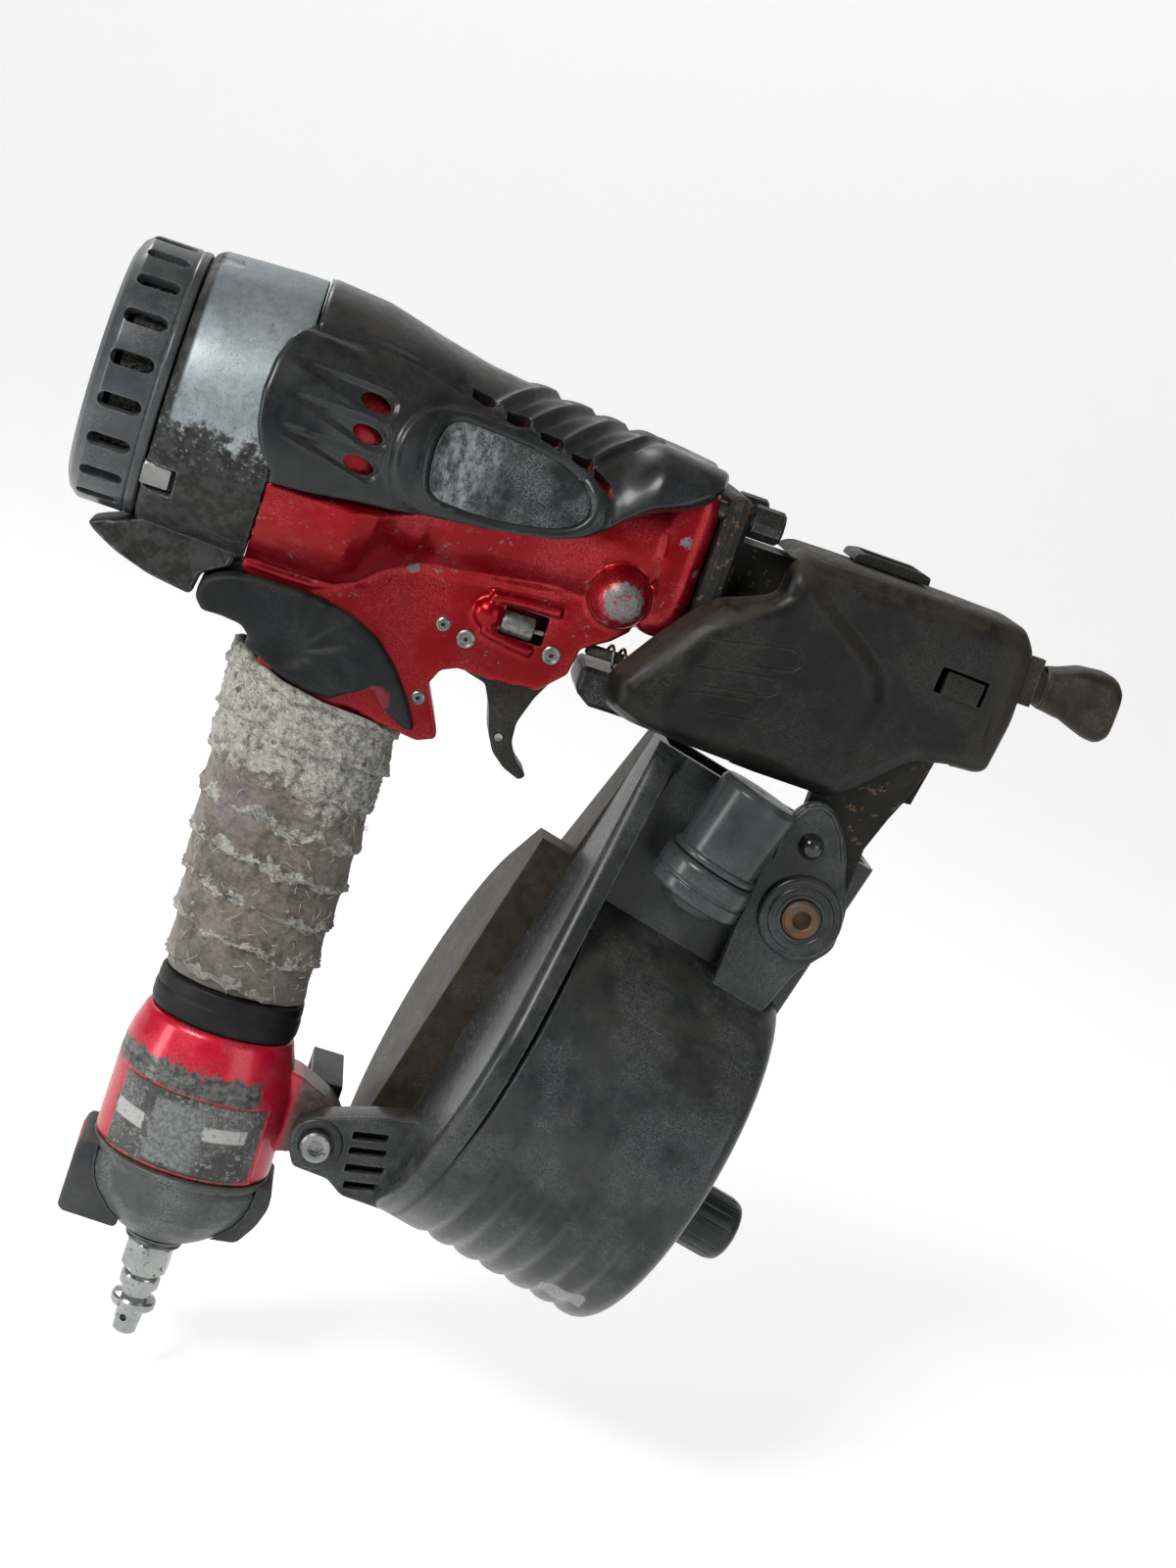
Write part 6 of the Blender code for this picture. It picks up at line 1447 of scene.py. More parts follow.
def grip_bottom():
    bm = bmesh.new()
    seg = 200
    outer = fine_rows(EC, 0.8)
    loops = [ellipse(cx, z, a, b, seg) for z, cx, a, b in outer]
    loops += [ellipse(cx, z, a, b, seg) for z, cx, a, b in [(-84.0, 1.4, 19.0, 17.5), (-81.0, 1.3, 19.0, 17.5), (-80.4, 1.2, 15.55, 12.55), (-47.4, 0.9, 15.55, 12.55)]]
    rings(bm, loops, loop_around=True)
    cap = make('end_cap_v', bm, angle=40)
    lug = prism('lg', [(14.0, -53.4), (24.0, -54.4), (34.7, -59.4), (38.2, -63.6), (38.2, -69.0), (34.0, -73.2), (26.0, -75.4), (14.0, -78.0)], -6.0, 6.0, rnd=1.5)
    core = stack('lc', [(-46.0, 0.9, 15.55, 12.55), (-84.5, 1.2, 15.55, 12.55)], seg=72)
    boole(lug, [core])
    boole(cap, [lug], 'UNION')
    remesh(cap, 0.45, 3, 0.5)
    hole = lathe('lh', [(-8.0, 0), (-8.0, 3.3), (8.0, 3.3), (8.0, 0)], (RB[0], 0, RB[1]), YAX, seg=32)
    boole(cap, [hole])
    # raised frame of the label and the parting line
    def bits(x, y, z, n):
        t = math.degrees(math.atan2(y, x - 1.3))
        d = 0.0
        if -150 < t < -34:
            u = max(abs(t + 92.0) * 0.385 - 21.3, abs(z + 73.2) - 10.4)
            d += 0.32 * math.exp(-(u / 0.65) ** 2)
        d -= 0.30 * math.exp(-((z + 59.6) / 0.45) ** 2) if x < 20 else 0.0
        return d
    displace(cap, bits)
    sharpen(cap.data, 50.0)
    put(cap, 'ecap', 'tool', 'end_cap')
    # blank worn rating label
    bm = bmesh.new()
    nt, nz = 110, 70
    front, back = [], []
    for i in range(nt + 1):
        t = math.radians(-146.0 + 104.0 * i / nt)
        rf, rb = [], []
        for j in range(nz + 1):
            z = -83.0 + 19.6 * j / nz
            cx, a, b = row_at([(q[0], q[1], q[2], q[3]) for q in EC], z)
            e = min(i, nt - i) / 3.0
            lift = 0.62 if 0 < i < nt and 0 < j < nz else 0.3
            lift += 0.06 * fbm(t * 20, z, 0, 0.5, 3)
            rf.append(bm.verts.new(((cx + (a + lift) * math.cos(t)) * MM, (b + lift) * math.sin(t) * MM, z * MM)))
            if i in (0, nt) or j in (0, nz):
                rb.append(((cx + (a + 0.15) * math.cos(t)) * MM, (b + 0.15) * math.sin(t) * MM, z * MM))
        front.append(rf)
    for i in range(nt):
        for j in range(nz):
            bm.faces.new((front[i][j], front[i + 1][j], front[i + 1][j + 1], front[i][j + 1]))
    geo = list(bm.faces)
    ret = bmesh.ops.duplicate(bm, geom=geo)
    dup = [v for v in ret['geom'] if isinstance(v, bmesh.types.BMVert)]
    for v in dup:
        r = Vector((v.co.x - 1.3 * MM, v.co.y, 0))
        v.co -= r.normalized() * 0.4 * MM
    bmesh.ops.reverse_faces(bm, faces=[f for f in ret['geom'] if isinstance(f, bmesh.types.BMFace)])
    edges = [e for e in bm.edges if len(e.link_faces) == 1]
    bmesh.ops.bridge_loops(bm, edges=edges)
    lab = make('rating_label_v', bm, angle=60, weld=0)
    put(lab, 'label', 'tool', 'rating_label')
    # cup with the seam ring
    CUP = [(-86.4, 22.75), (-88.0, 23.2), (-91.0, 23.0), (-94.0, 22.2), (-97.0, 20.8), (-99.0, 19.2), (-101.6, 17.1), (-104.0, 14.4), (-106.0, 11.6), (-107.2, 9.4), (-107.6, 8.0)]
    prof = [(-84.4, 23.1), (-84.8, 23.5), (-86.0, 23.5), (-86.2, 22.8)] + CUP + [(-107.6, 5.6), (-103.6, 5.6), (-97.0, 15.5), (-90.0, 19.0), (-84.4, 19.2)]
    cup = lathe('end_cup_v', prof, (1.4, 0, 0), ZAX, seg=160, rnd=0.35)
    put(cup, 'cup', 'tool', 'end_cup')
    for nm, pts in (('foot_rear', [(-18.0, -84.9), (-23.9, -84.9), (-24.9, -88.0), (-25.0, -104.6), (-23.6, -105.8), (-9.0, -106.4), (-9.0, -98.0)]),
                    ('foot_front', [(21.0, -84.9), (26.4, -84.9), (26.8, -90.0), (25.2, -95.4), (21.6, -101.4), (13.0, -102.6), (13.0, -96.0)])):
        ft = prism(nm + '_v', pts, -11.0, 11.0, rnd=1.6)
        bevel(ft, 1.6, 4, 50.0)
        cc = lathe('cf', [(-80.0, 0), (-80.0, 23.6)] + [(z, r + 0.35) for z, r in [(-86.4, 23.3)] + CUP[1:]] + [(-108.4, 8.6), (-108.4, 0)], (1.4, 0, 0), ZAX, seg=120)
        if nm == 'foot_rear':
            inset_cut = prism('fi', [(-30.0, -86.4), (-24.2, -86.4), (-24.2, -93.0), (-30.0, -93.0)], -7.0, 7.0, rnd=0.5)
            boole(ft, [cc, inset_cut])
        else:
            boole(ft, [cc])
        sharpen(ft.data, 34)
        put(ft, 'foot', 'tool', nm)
    pad = prism('foot_inset', [(-25.0, -86.7), (-23.6, -86.7), (-23.6, -92.8), (-25.0, -92.8)], -6.8, 6.8, rnd=0.4)
    bevel(pad, 0.3, 3)
    put(pad, 'orange', 'tool')
    P0 = (1.4, 0, 0)
    col = lathe('plug_collar_v', [(-110.4, 5.4), (-110.4, 7.3), (-109.8, 7.6), (-109.2, 7.2), (-108.4, 8.3), (-107.9, 8.6), (-107.9, 5.4)], P0, ZAX, seg=72, rnd=0.2)
    put(col, 'collar', 'tool', 'plug_collar')
    bm = bmesh.new()
    prof = [(-100.0, 4.9, 0), (-110.7, 4.9, 0), (-110.7, 5.9, 0), (-111.2, 6.35, 1), (-118.0, 6.35, 1), (-118.6, 5.9, 0), (-118.6, 5.0, 0), (-119.0, 4.5, 0), (-119.9, 4.4, 0), (-120.3, 5.0, 0), (-121.0, 5.25, 0),
            (-123.2, 5.25, 0), (-123.7, 5.0, 0), (-124.2, 4.1, 0), (-126.0, 4.05, 0), (-126.4, 4.6, 0), (-126.8, 5.6, 0), (-127.4, 5.95, 0), (-129.0, 5.95, 0), (-129.6, 5.5, 0), (-130.3, 4.0, 0), (-131.0, 3.6, 0), (-133.4, 3.45, 0),
            (-134.2, 3.25, 0), (-136.6, 3.15, 0), (-137.1, 2.7, 0), (-137.2, 1.6, 0), (-104.0, 1.6, 0), (-100.0, 1.6, 0)]
    rows = []
    seg = 96
    for z, r, hexed in prof:
        row = []
        for k in range(seg):
            t = 2 * math.pi * k / seg
            rr = r
            if hexed:
                q = (t + math.pi / 6 + 0.2) % (math.pi / 3) - math.pi / 6
                rr = min(5.75 / math.cos(q), 6.42)
            row.append((P0[0] + rr * math.cos(t), rr * math.sin(t), z))
        rows.append(row)
    rings(bm, rows, loop_around=True)
    plug = make('air_plug_v', bm, angle=30)
    hole = lathe('ph', [(-6.0, 0), (-6.0, 1.0), (6.0, 1.0), (6.0, 0)], (1.4, 0, -132.6), (0.35, 1, 0), seg=20)
    boole(plug, [hole])
    sharpen(plug.data, 28)
    put(plug, 'chrome', 'tool', 'air_plug')


# ================================================================== nose cover, latch, contact tip
COV = [(63.6, 66.6), (64.4, 63.8), (71.0, 61.2), (86.4, 59.9), (106.0, 58.6), (126.0, 58.1), (130.6, 60.6), (143.7, 73.2), (152.0, 75.0), (160.6, 75.4), (163.0, 77.0), (164.8, 90.8), (164.1, 108.8),
       (160.0, 114.2), (130.0, 115.2), (111.6, 115.4), (99.0, 115.3), (95.6, 112.0), (94.9, 104.0), (90.0, 101.6), (82.0, 98.5), (76.0, 92.2), (70.0, 84.0), (62.6, 72.6)]


def inset(points, d):
    n = len(points)
    out = []
    for i in range(n):
        p0, p1, p2 = Vector(points[i - 1]), Vector(points[i]), Vector(points[(i + 1) % n])
        e1, e2 = (p1 - p0).normalized(), (p2 - p1).normalized()
        n1, n2 = Vector((-e1.y, e1.x)), Vector((-e2.y, e2.x))
        m = (n1 + n2)
        m = m / max(m.length_squared / 2.0, 0.6)
        out.append((p1.x + m.x * d, p1.y + m.y * d))
    return out


def nose_cover():
    cov = round_outline(COV, 2.2, 3)
    inn = round_outline(COV, 1.5, 2)

    def loft(pts, levels):
        loops = []
        for y, d, lean in levels:
            loops.append([(x, y + lean * (x - 110.0), z) for x, z in inset(pts, d)])
        bm = bmesh.new()
        rings(bm, loops)
        return bm
    cover = make('nose_cover_v', loft(cov, [(8.6, 0.0, 0.0), (-14.0, 0.0, 0.03), (-18.0, 0.5, 0.055), (-20.8, 1.4, 0.07), (-22.8, 2.6, 0.085), (-24.2, 4.2, 0.095), (-25.0, 6.4, 0.10), (-25.3, 9.0, 0.10)]), weld=0)
    remesh(cover, 0.6, 6, 0.5)
    CR = [(58, 126.8), (66, 126.2), (76, 125.3), (86, 127.4), (92, 125.5), (97.3, 119.0), (101.8, 111.6), (107, 104.0), (112, 97.0)]

    def side(x, y, z, n):
        if n.y > -0.35 or y > -12:
            return 0.0
        w = smooth01(-0.35, -0.75, n.y)
        xc = lerp(CR, z)
        d = 1.15 * smooth01(3.2, -4.5, x - xc) * smooth01(60, 66, z) - 0.9 * smooth01(-1.0, 5.0, x - xc) * smooth01(166, 158, x)
        # the long soft edge at the body end
        xr = lerp([(62, 75.4), (80, 79.0), (91, 84.0), (98, 92.0), (104, 99.0)], z)
        d += 0.8 * math.exp(-((x - xr - 2.0) / 4.0) ** 2)
        d -= 0.8 * smooth01(xr - 1.5, xr - 8.0, x)
        return d * w
    displace(cover, side)
    cin = make('ci', loft(inn, [(12.0, 2.4, 0.0), (-13.0, 2.4, 0.03), (-18.0, 3.4, 0.07), (-20.6, 5.6, 0.09), (-21.6, 9.0, 0.10)]), smooth=False, weld=0)
    cuts = [cin,
            prism('cm', [(97.0, 50.0), (154.0, 50.0), (154.0, 84.0), (104.0, 84.0), (97.0, 76.0)], -16.6, 20.0, smooth=False),
            make('cn', box_bm(152.0, 170.0, -13.0, 20.0, 84.5, 112.4), smooth=False),
            make('cb', box_bm(50.0, 99.5, -20.4, 20.0, 50.0, 112.8), smooth=False)]
    # snap window: a slot round a tab
    cuts.append(prism('sw', round_outline([(140.9, 92.6), (154.0, 92.2), (154.4, 98.8), (141.3, 99.4)], 0.6, 2), -30.0, -10.0, smooth=False))
    boole(cover, cuts)
    tab = prism('st', [(142.9, 92.4), (152.7, 92.1), (153.1, 98.0), (143.3, 98.6)], -21.6, -19.4, rnd=0.5)
    bevel(tab, 0.35, 2)
    for lug in (((141.0, 93.0), (144.0, 93.0), (144.0, 94.6), (141.0, 94.6)), ((152.0, 96.0), (154.6, 96.0), (154.6, 97.4), (152.0, 97.4))):
        pass
    # three engraved U outlines
    us = [[(81.5, 88.3), (90.0, 89.9), (98.0, 91.4), (102.8, 92.2), (105.0, 92.0), (106.3, 90.6), (106.1, 88.6), (104.6, 87.0), (98.0, 85.9), (91.7, 84.9)],
          [(80.9, 81.1), (90.0, 82.5), (99.0, 83.9), (101.4, 83.7), (102.8, 82.3), (102.6, 80.6), (100.9, 79.3), (94.0, 78.4), (85.0, 77.2)],
          [(81.6, 74.9), (89.0, 76.1), (96.1, 77.0), (98.9, 76.9), (100.5, 75.4), (100.3, 73.6), (98.6, 72.4), (92.0, 71.7), (85.9, 70.9)]]
    dg = bpy.context.evaluated_depsgraph_get()
    from mathutils.bvhtree import BVHTree
    bvh = BVHTree.FromObject(cover, dg)
    gr = []
    for u in us:
        pts = []
        for (x0, z0), (x1, z1) in zip(u, u[1:]):
            for j in range(3):
                pts.append((x0 + (x1 - x0) * j / 3, z0 + (z1 - z0) * j / 3))
        pts.append(u[-1])
        line = []
        for x, z in pts:
            hit = bvh.ray_cast(Vector((x * MM, -0.06, z * MM)), Vector((0, 1, 0)))
            if hit[0] is not None:
                line.append((x, hit[0].y * 1000 - 0.02, z))
        gr.append(tube('ug', line, 0.42, 8))
    boole(cover, gr)
    sharpen(cover.data, 44.0)
    put(cover, 'cover', 'tool', 'nose_cover')
    put(tab, 'cover', 'tool')
    # latch plate with a turned-up rim
    latch = prism('door_latch_v', [(114.6, 115.7), (135.2, 115.5), (135.0, 117.6), (133.0, 118.1), (118.0, 118.3), (115.2, 117.6)], -3.4, 13.4, rnd=0.6)
    dish = prism('ld', [(117.6, 117.5), (132.6, 117.3), (132.6, 120.0), (117.6, 120.0)], -1.8, 9.0, rnd=0.3)
    hk = make('lk', box_bm(117.0, 133.0, 9.4, 13.4, 111.7, 117.0))
    boole(latch, [dish])
    boole(latch, [hk], 'UNION')
    bevel(latch, 0.4, 3)
    put(latch, 'latch', 'latch', 'door_latch')


def contact_arm():
    arm = make('contact_arm_v', box_bm(98.0, 168.0, -12.4, -9.4, 95.5, 108.0))
    # flared saddle: a channel whose walls pinch in the middle and open at the muzzle
    bm = bmesh.new()
    loops = []
    n = 30
    for i in range(n + 1):
        u = i / n
        x = 163.0 + 27.9 * u
        top = lerp([(163, 107.0), (168, 106.6), (172, 105.4), (176, 106.4), (181, 108.4), (187, 109.0), (189.6, 108.6), (190.9, 107.0)], x)
        bot = lerp([(163, 95.6), (168, 95.4), (173, 94.8), (178, 94.0), (182, 92.6), (186, 91.4), (189.6, 91.2), (190.9, 92.6)], x)
        yn = lerp([(163, -12.2), (168, -11.6), (173, -9.0), (178, -8.4), (183, -9.4), (188, -10.6), (190.9, -10.2)], x)
        yf = lerp([(163, -9.6), (168, 2.0), (173, 7.4), (178, 8.0), (183, 8.8), (190.9, 9.4)], x)
        cz, cy = (top + bot) / 2, (yn + yf) / 2
        hz, hy = (top - bot) / 2, (yf - yn) / 2
        lp = []
        for k in range(72):
            t = 2 * math.pi * k / 72
            c, s = math.cos(t), math.sin(t)
            e = 2 / 3.4
            y = cy + hy * math.copysign(abs(c) ** e, c)
            z = cz + hz * math.copysign(abs(s) ** e, s)
            # waist on the near side
            pinch = 1.6 * math.exp(-((z - 100.4) / 3.2) ** 2) * smooth01(168, 176, x) * smooth01(192, 182, x)
            if c < -0.2:
                y += pinch
            lp.append((x, y, z))
        loops.append(lp)
    rings(bm, loops)
    tip = make('ct', bm, weld=0)
    others = [tip, prism('cl', [(103.6, 100.0), (103.6, 72.6), (110.4, 72.6), (110.4, 100.0)], -12.2, -9.8),
              lathe('cr', [(57.0, 0), (57.0, 1.0), (57.6, 1.5), (106.0, 1.5), (106.0, 0)], (0, -11.0, 74.5), XAX, seg=24)]
    boole(arm, others, 'UNION')
    cuts = [lathe('cb', [(160.0, 0), (160.0, 4.4), (189.0, 4.4), (191.5, 6.0), (195.0, 6.0), (195.0, 0)], (0, 0, BZ - 1.6), XAX, seg=48),
            make('cu', box_bm(155.0, 172.4, -9.35, 14.0, 85.0, 115.0), smooth=False),
            prism('cw', round_outline([(176.5, 86.0), (176.5, 93.6), (180.5, 95.6), (186.0, 94.2), (187.6, 90.0), (187.6, 86.0)], 1.0, 3), -5.0, 12.0)]
    boole(arm, cuts)
    bevel(arm, 0.45, 2, 38)
    put(arm, 'tip', 'contact_element', 'contact_arm')


# ================================================================== magazine
DRUM_R, DRUM_N, WALL, THROAT, THROAT_TOP = 51.2, -15.8, 2.3, 11.9, 76.0
DRUM_S0, LID_S0, DRUM_S1 = 66.5, 56.8, 131.4
CB = (129.4, 27.8)
KY, KN = -11.0, -25.4


def drum_outline(r, top, half_w, tear, arc=90, mid=14, rfn=None):
    d = math.hypot(half_w, top - DRUM_N)
    ta = math.atan2(top - DRUM_N, half_w) - math.acos(min(1.0, r / d))
    ka = math.acos(half_w / r)
    a0 = ka + (ta - ka) * tear
    end = (r * math.cos(a0), DRUM_N + r * math.sin(a0))
    pts = [(0.0, top), (half_w, top)]
    for i in range(1, mid):
        f = i / mid
        pts.append((half_w + (end[0] - half_w) * f, top + (end[1] - top) * f))
    for i in range(arc + 1):
        a = a0 + (-math.pi / 2 - a0) * i / arc
        rr = r + (rfn(a) if rfn else 0.0)
        pts.append((rr * math.cos(a), DRUM_N + rr * math.sin(a)))
    return pts


GROOVES = (84.0, 91.8, 99.6, 107.4, 115.2, 122.4)


def half_drum(name, sgn, s0):
    e = 0.15
    bm = bmesh.new()
    loops = []
    deep = s0 < 60.0
    low = DRUM_N + DRUM_R + 2.0
    rows = []
    big = 5.2 if not deep else 3.0
    for i in range(9):                      # rounded rear edge
        u = i / 8
        a = math.pi / 2 * u
        rows.append((s0 + 3.2 * (1 - math.cos(a)) if not deep else s0 + 2.0 * (1 - math.cos(a)), big * (1 - math.sin(a)) * (0.8 if not deep else 0.7), 1.0, low if deep else THROAT_TOP))
    if deep:
        rows += [(65.4, 0.0, 1.0, low), (67.0, 0.0, 1.0, THROAT_TOP), (72.6, 0.0, 1.0, THROAT_TOP)]
    else:
        rows += [(71.0, 0.0, 1.0, THROAT_TOP), (72.6, 0.0, 1.0, THROAT_TOP)]
    s = 74.0
    rows.append((s, 0.0, 0.0, THROAT_TOP))
    while s < DRUM_S1 - 6.2:
        s += 0.9
        rows.append((s, 0.0, 0.0, THROAT_TOP))
    for i in range(9):
        u = i / 8
        a = math.pi / 2 * u
        rows.append((DRUM_S1 - 5.0 + 5.0 * math.sin(a), 5.0 * (1 - math.cos(a)), 0.0, THROAT_TOP))
    for s, r_off, tear, top in rows:
        g = 0.0
        for gs in GROOVES:
            g += math.exp(-((s - gs) / 1.7) ** 2)

        def rfn(a, g=g, s=s):
            # flutes fade out towards the throat
            return -(1.25 if not deep else 0.8) * g * smooth01(0.35, -0.5, a)
        out = drum_outline(DRUM_R - r_off, top, THROAT - 0.35 * r_off, tear, rfn=rfn)
        loops.append([sy(s, sgn * max(y, e), n) for y, n in out])
    rings(bm, loops)
    return make(name, bm, angle=36.0, weld=0)


def hollow(shell, sgn, s0, deep):
    e = 0.15
    inn = drum_outline(DRUM_R - WALL, THROAT_TOP, THROAT - WALL, 0.0, arc=40, mid=4)
    loops = []
    for s in (max(s0, 66.0) + WALL + 0.6, DRUM_S1 - WALL):
        lp = [sy(s, -sgn * 3.0, THROAT_TOP + 3.0), sy(s, sgn * inn[1][0], THROAT_TOP + 3.0)]
        lp += [sy(s, sgn * max(y, e), n) for y, n in inn[2:]]
        lp += [sy(s, -sgn * 3.0, inn[-1][1])]
        loops.append(lp)
    bm = bmesh.new()
    rings(bm, loops)
    cuts = [make('hh', bm, smooth=False, weld=0)]
    if deep:
        lp = []
        for s in (s0 + WALL, 67.2):
            ring = [sy(s, sgn * 1.4, DRUM_N + DRUM_R - WALL)]
            for i in range(41):
                a = math.pi / 2 - math.pi * i / 40
                ring.append(sy(s, sgn * max((DRUM_R - WALL) * math.cos(a), 1.4 + 0.01 * i), DRUM_N + (DRUM_R - WALL) * math.sin(a)))
            ring.append(sy(s, sgn * 1.4, DRUM_N - DRUM_R + WALL))
            lp.append(ring)
        bm = bmesh.new()
        rings(bm, lp)
        cuts.insert(0, make('hp', bm, smooth=False, weld=0))
    return cuts


def magazine():
    shell = half_drum('magazine_shell_v', -1, DRUM_S0)
    # rear bracket: a moulded block with deep slots and a bolt boss
    brk = prism('rb', [(26.6, -64.4), (32.7, -60.0), (44.5, -56.2), (62.0, -52.0), (60.5, -72.0), (57.5, -79.4), (42.7, -78.6),
                       (38.0, -75.4), (28.5, -74.6), (26.0, -70.0)], -16.5, -6.4, rnd=1.2)
    bevel(brk, 0.9, 3, 50)
    slots = []
    for x0, x1, z0, z1 in ((40.6, 49.6, -62.4, -60.2), (41.0, 50.4, -66.4, -64.4), (41.4, 51.2, -71.2, -69.0), (42.4, 51.6, -75.6, -73.6)):
        slots.append(prism('rs', [(x0, z0 - 0.8), (x1, z0 + 0.9), (x1, z1 + 0.9), (x0, z1 - 0.8)], -20.0, -12.2, rnd=0.5, smooth=False))
    boole(brk, slots)
    ring = lathe('rr', [(-17.4, 4.5), (-17.4, 6.4), (-16.9, 6.9), (-15.0, 6.9), (-15.0, 4.5)], (RB[0], 0, RB[1]), YAX, seg=64, rnd=0.3)
    fbr = prism('fb', [(117.0, 49.5), (121.0, 55.5), (124.4, 57.6), (128.6, 56.6), (133.4, 51.0), (136.0, 45.0), (137.0, 41.0), (140.6, 32.0), (140.6, 22.0),
                       (133.5, 13.6), (127.0, -4.0), (114.0, 0.0), (114.5, 14.0), (115.5, 37.0)], -19.9, -16.3, rnd=2.4)
    bevel(fbr, 0.8, 3, 50)
    boss = lathe('bs', [(-22.3, 0), (-22.3, 6.2), (-22.6, 6.6), (-22.6, 8.0), (-22.3, 8.4), (-21.9, 8.6), (-21.9, 9.4), (-22.0, 9.9), (-21.6, 10.6), (-20.6, 11.0), (-16.3, 11.0), (-16.3, 0)], (CB[0], 0, CB[1]), YAX, seg=96, rnd=0.25)
    # outline rib on the bracket plate
    rib = tube('pr', [(118.2, -19.7, 40.0), (118.6, -19.8, 49.0), (121.8, -19.8, 54.6), (125.0, -19.8, 56.2), (128.4, -19.8, 55.2), (132.4, -19.8, 50.4), (135.0, -19.8, 44.4)], 0.7, 10)
    boole(shell, [brk, fbr], 'UNION')
    boole(shell, [boss, rib], 'UNION')
    boole(shell, [ring], 'UNION')
    cuts = hollow(shell, -1, DRUM_S0, False)
    bm = bmesh.new()
    lathe_bm([(-26.0, 0), (-26.0, 5.4), (-20.4, 5.4), (-20.4, 3.3), (-15.0, 3.3), (-15.0, 0)], (CB[0], 0, CB[1]), YAX, 40, bm)
    lathe_bm([(-20.0, 0), (-20.0, 4.45), (-16.6, 4.45), (-16.6, 3.3), (-3.0, 3.3), (-3.0, 0)], (RB[0], 0, RB[1]), YAX, 40, bm)
    lathe_bm([(-22.0, 0), (-22.0, 3.5), (-19.6, 3.5), (-19.6, 1.8), (-15.0, 1.8), (-15.0, 0)], (125.9, 0, 45.8), YAX, 32, bm)
    lathe_bm([(DRUM_S1 - 6, 0), (DRUM_S1 - 6, 3.4), (DRUM_S1 + 3, 3.4), (DRUM_S1 + 3, 0)], sy(0, KY, KN), DA, 32, bm)
    cuts.append(make('mh', bm, smooth=False, weld=0))
    boole(shell, cuts)
    sharpen(shell.data, 36.0)
    put(shell, 'drum', 'tool', 'magazine_shell')
    lid = half_drum('magazine_cover_v', 1, LID_S0)
    boole(lid, hollow(lid, 1, LID_S0, True))
    sharpen(lid.data, 36.0)
    put(lid, 'smoke', 'coil_cover', 'magazine_cover')
    plat = lathe('nail_platform_v', [(78.0, 0), (78.0, 41.0), (80.6, 41.0), (80.6, 7.0), (114.0, 7.0), (115.0, 6.0), (115.0, 0)], sy(0, 0, DRUM_N), DA, seg=96, rnd=0.5)
    ph = lathe('pp', [(74.0, 0), (74.0, 4.0), (84.0, 4.0), (84.0, 0)], sy(0, KY, KN), DA, seg=32)
    boole(plat, [ph])
    sharpen(plat.data)
    put(plat, 'drum_in', 'coil_platform', 'nail_platform')
    knob = lathe('platform_knob_v', [(72.0, 0), (72.0, 3.0), (DRUM_S1 + 0.4, 3.0), (DRUM_S1 + 0.4, 8.0), (DRUM_S1 + 1.2, 8.7), (DRUM_S1 + 3.0, 8.8), (149.8, 8.75), (152.2, 8.0), (153.2, 6.2), (153.2, 0)],
                 sy(0, KY, KN), DA, seg=96, rnd=0.9)
    bm = bmesh.new()
    o = Vector(sy(0, KY, KN))
    a = Vector(DA)
    u = Vector((0, 1, 0))
    v = a.cross(u)
    for k in range(18):
        t = 2 * math.pi * k / 18
        c = o + (u * math.cos(t) + v * math.sin(t)) * 9.35
        lathe_bm([(135.0, 0), (135.4, 0.75), (154.0, 0.95), (154.4, 0)], tuple(c), DA, 12, bm)
    fl = make('kf', bm, smooth=False, weld=0)
    boole(knob, [fl])
    sharpen(knob.data, 40)
    put(knob, 'knob', 'knob', 'platform_knob')
    # bolts
    b = lathe('front_mount_bolt_v', [(-20.75, 0), (-20.75, 2.3), (-23.5, 2.45), (-23.9, 3.1), (-23.9, 4.2), (-23.2, 4.9), (-20.7, 4.9), (-20.7, 2.9), (-12.7, 2.9), (-12.7, 0)], (CB[0], 0, CB[1]), YAX, seg=60)
    put(b, 'rust', 'tool', 'front_mount_bolt')
    d = lathe('dome_screw_v', [(-22.9, 0), (-22.85, 0.9), (-22.55, 1.8), (-21.9, 2.6), (-21.0, 3.1), (-20.2, 3.25), (-19.7, 3.2), (-19.7, 1.5), (-16.6, 1.5), (-16.6, 0)], (125.9, 0, 45.8), YAX, seg=48)
    put(d, 'gloss', 'tool', 'dome_screw')
    r = lathe('rear_mount_bolt_v', [(-19.0, 0), (-19.0, 2.0), (-20.1, 2.15), (-20.2, 2.5), (-20.2, 3.5), (-19.7, 4.0), (-16.8, 4.0), (-16.8, 2.9), (5.8, 2.9), (5.8, 0)], (RB[0], 0, RB[1]), YAX, seg=48)
    bm = bmesh.new()
    lathe_bm([(-22.0, 0), (-22.0, 2.0), (-18.2, 2.0), (-18.2, 0)], (RB[0], 0, RB[1]), YAX, 6, bm)
    boole(r, [make('rx', bm, smooth=False)])
    sharpen(r.data)
    put(r, 'steel', 'tool', 'rear_mount_bolt')
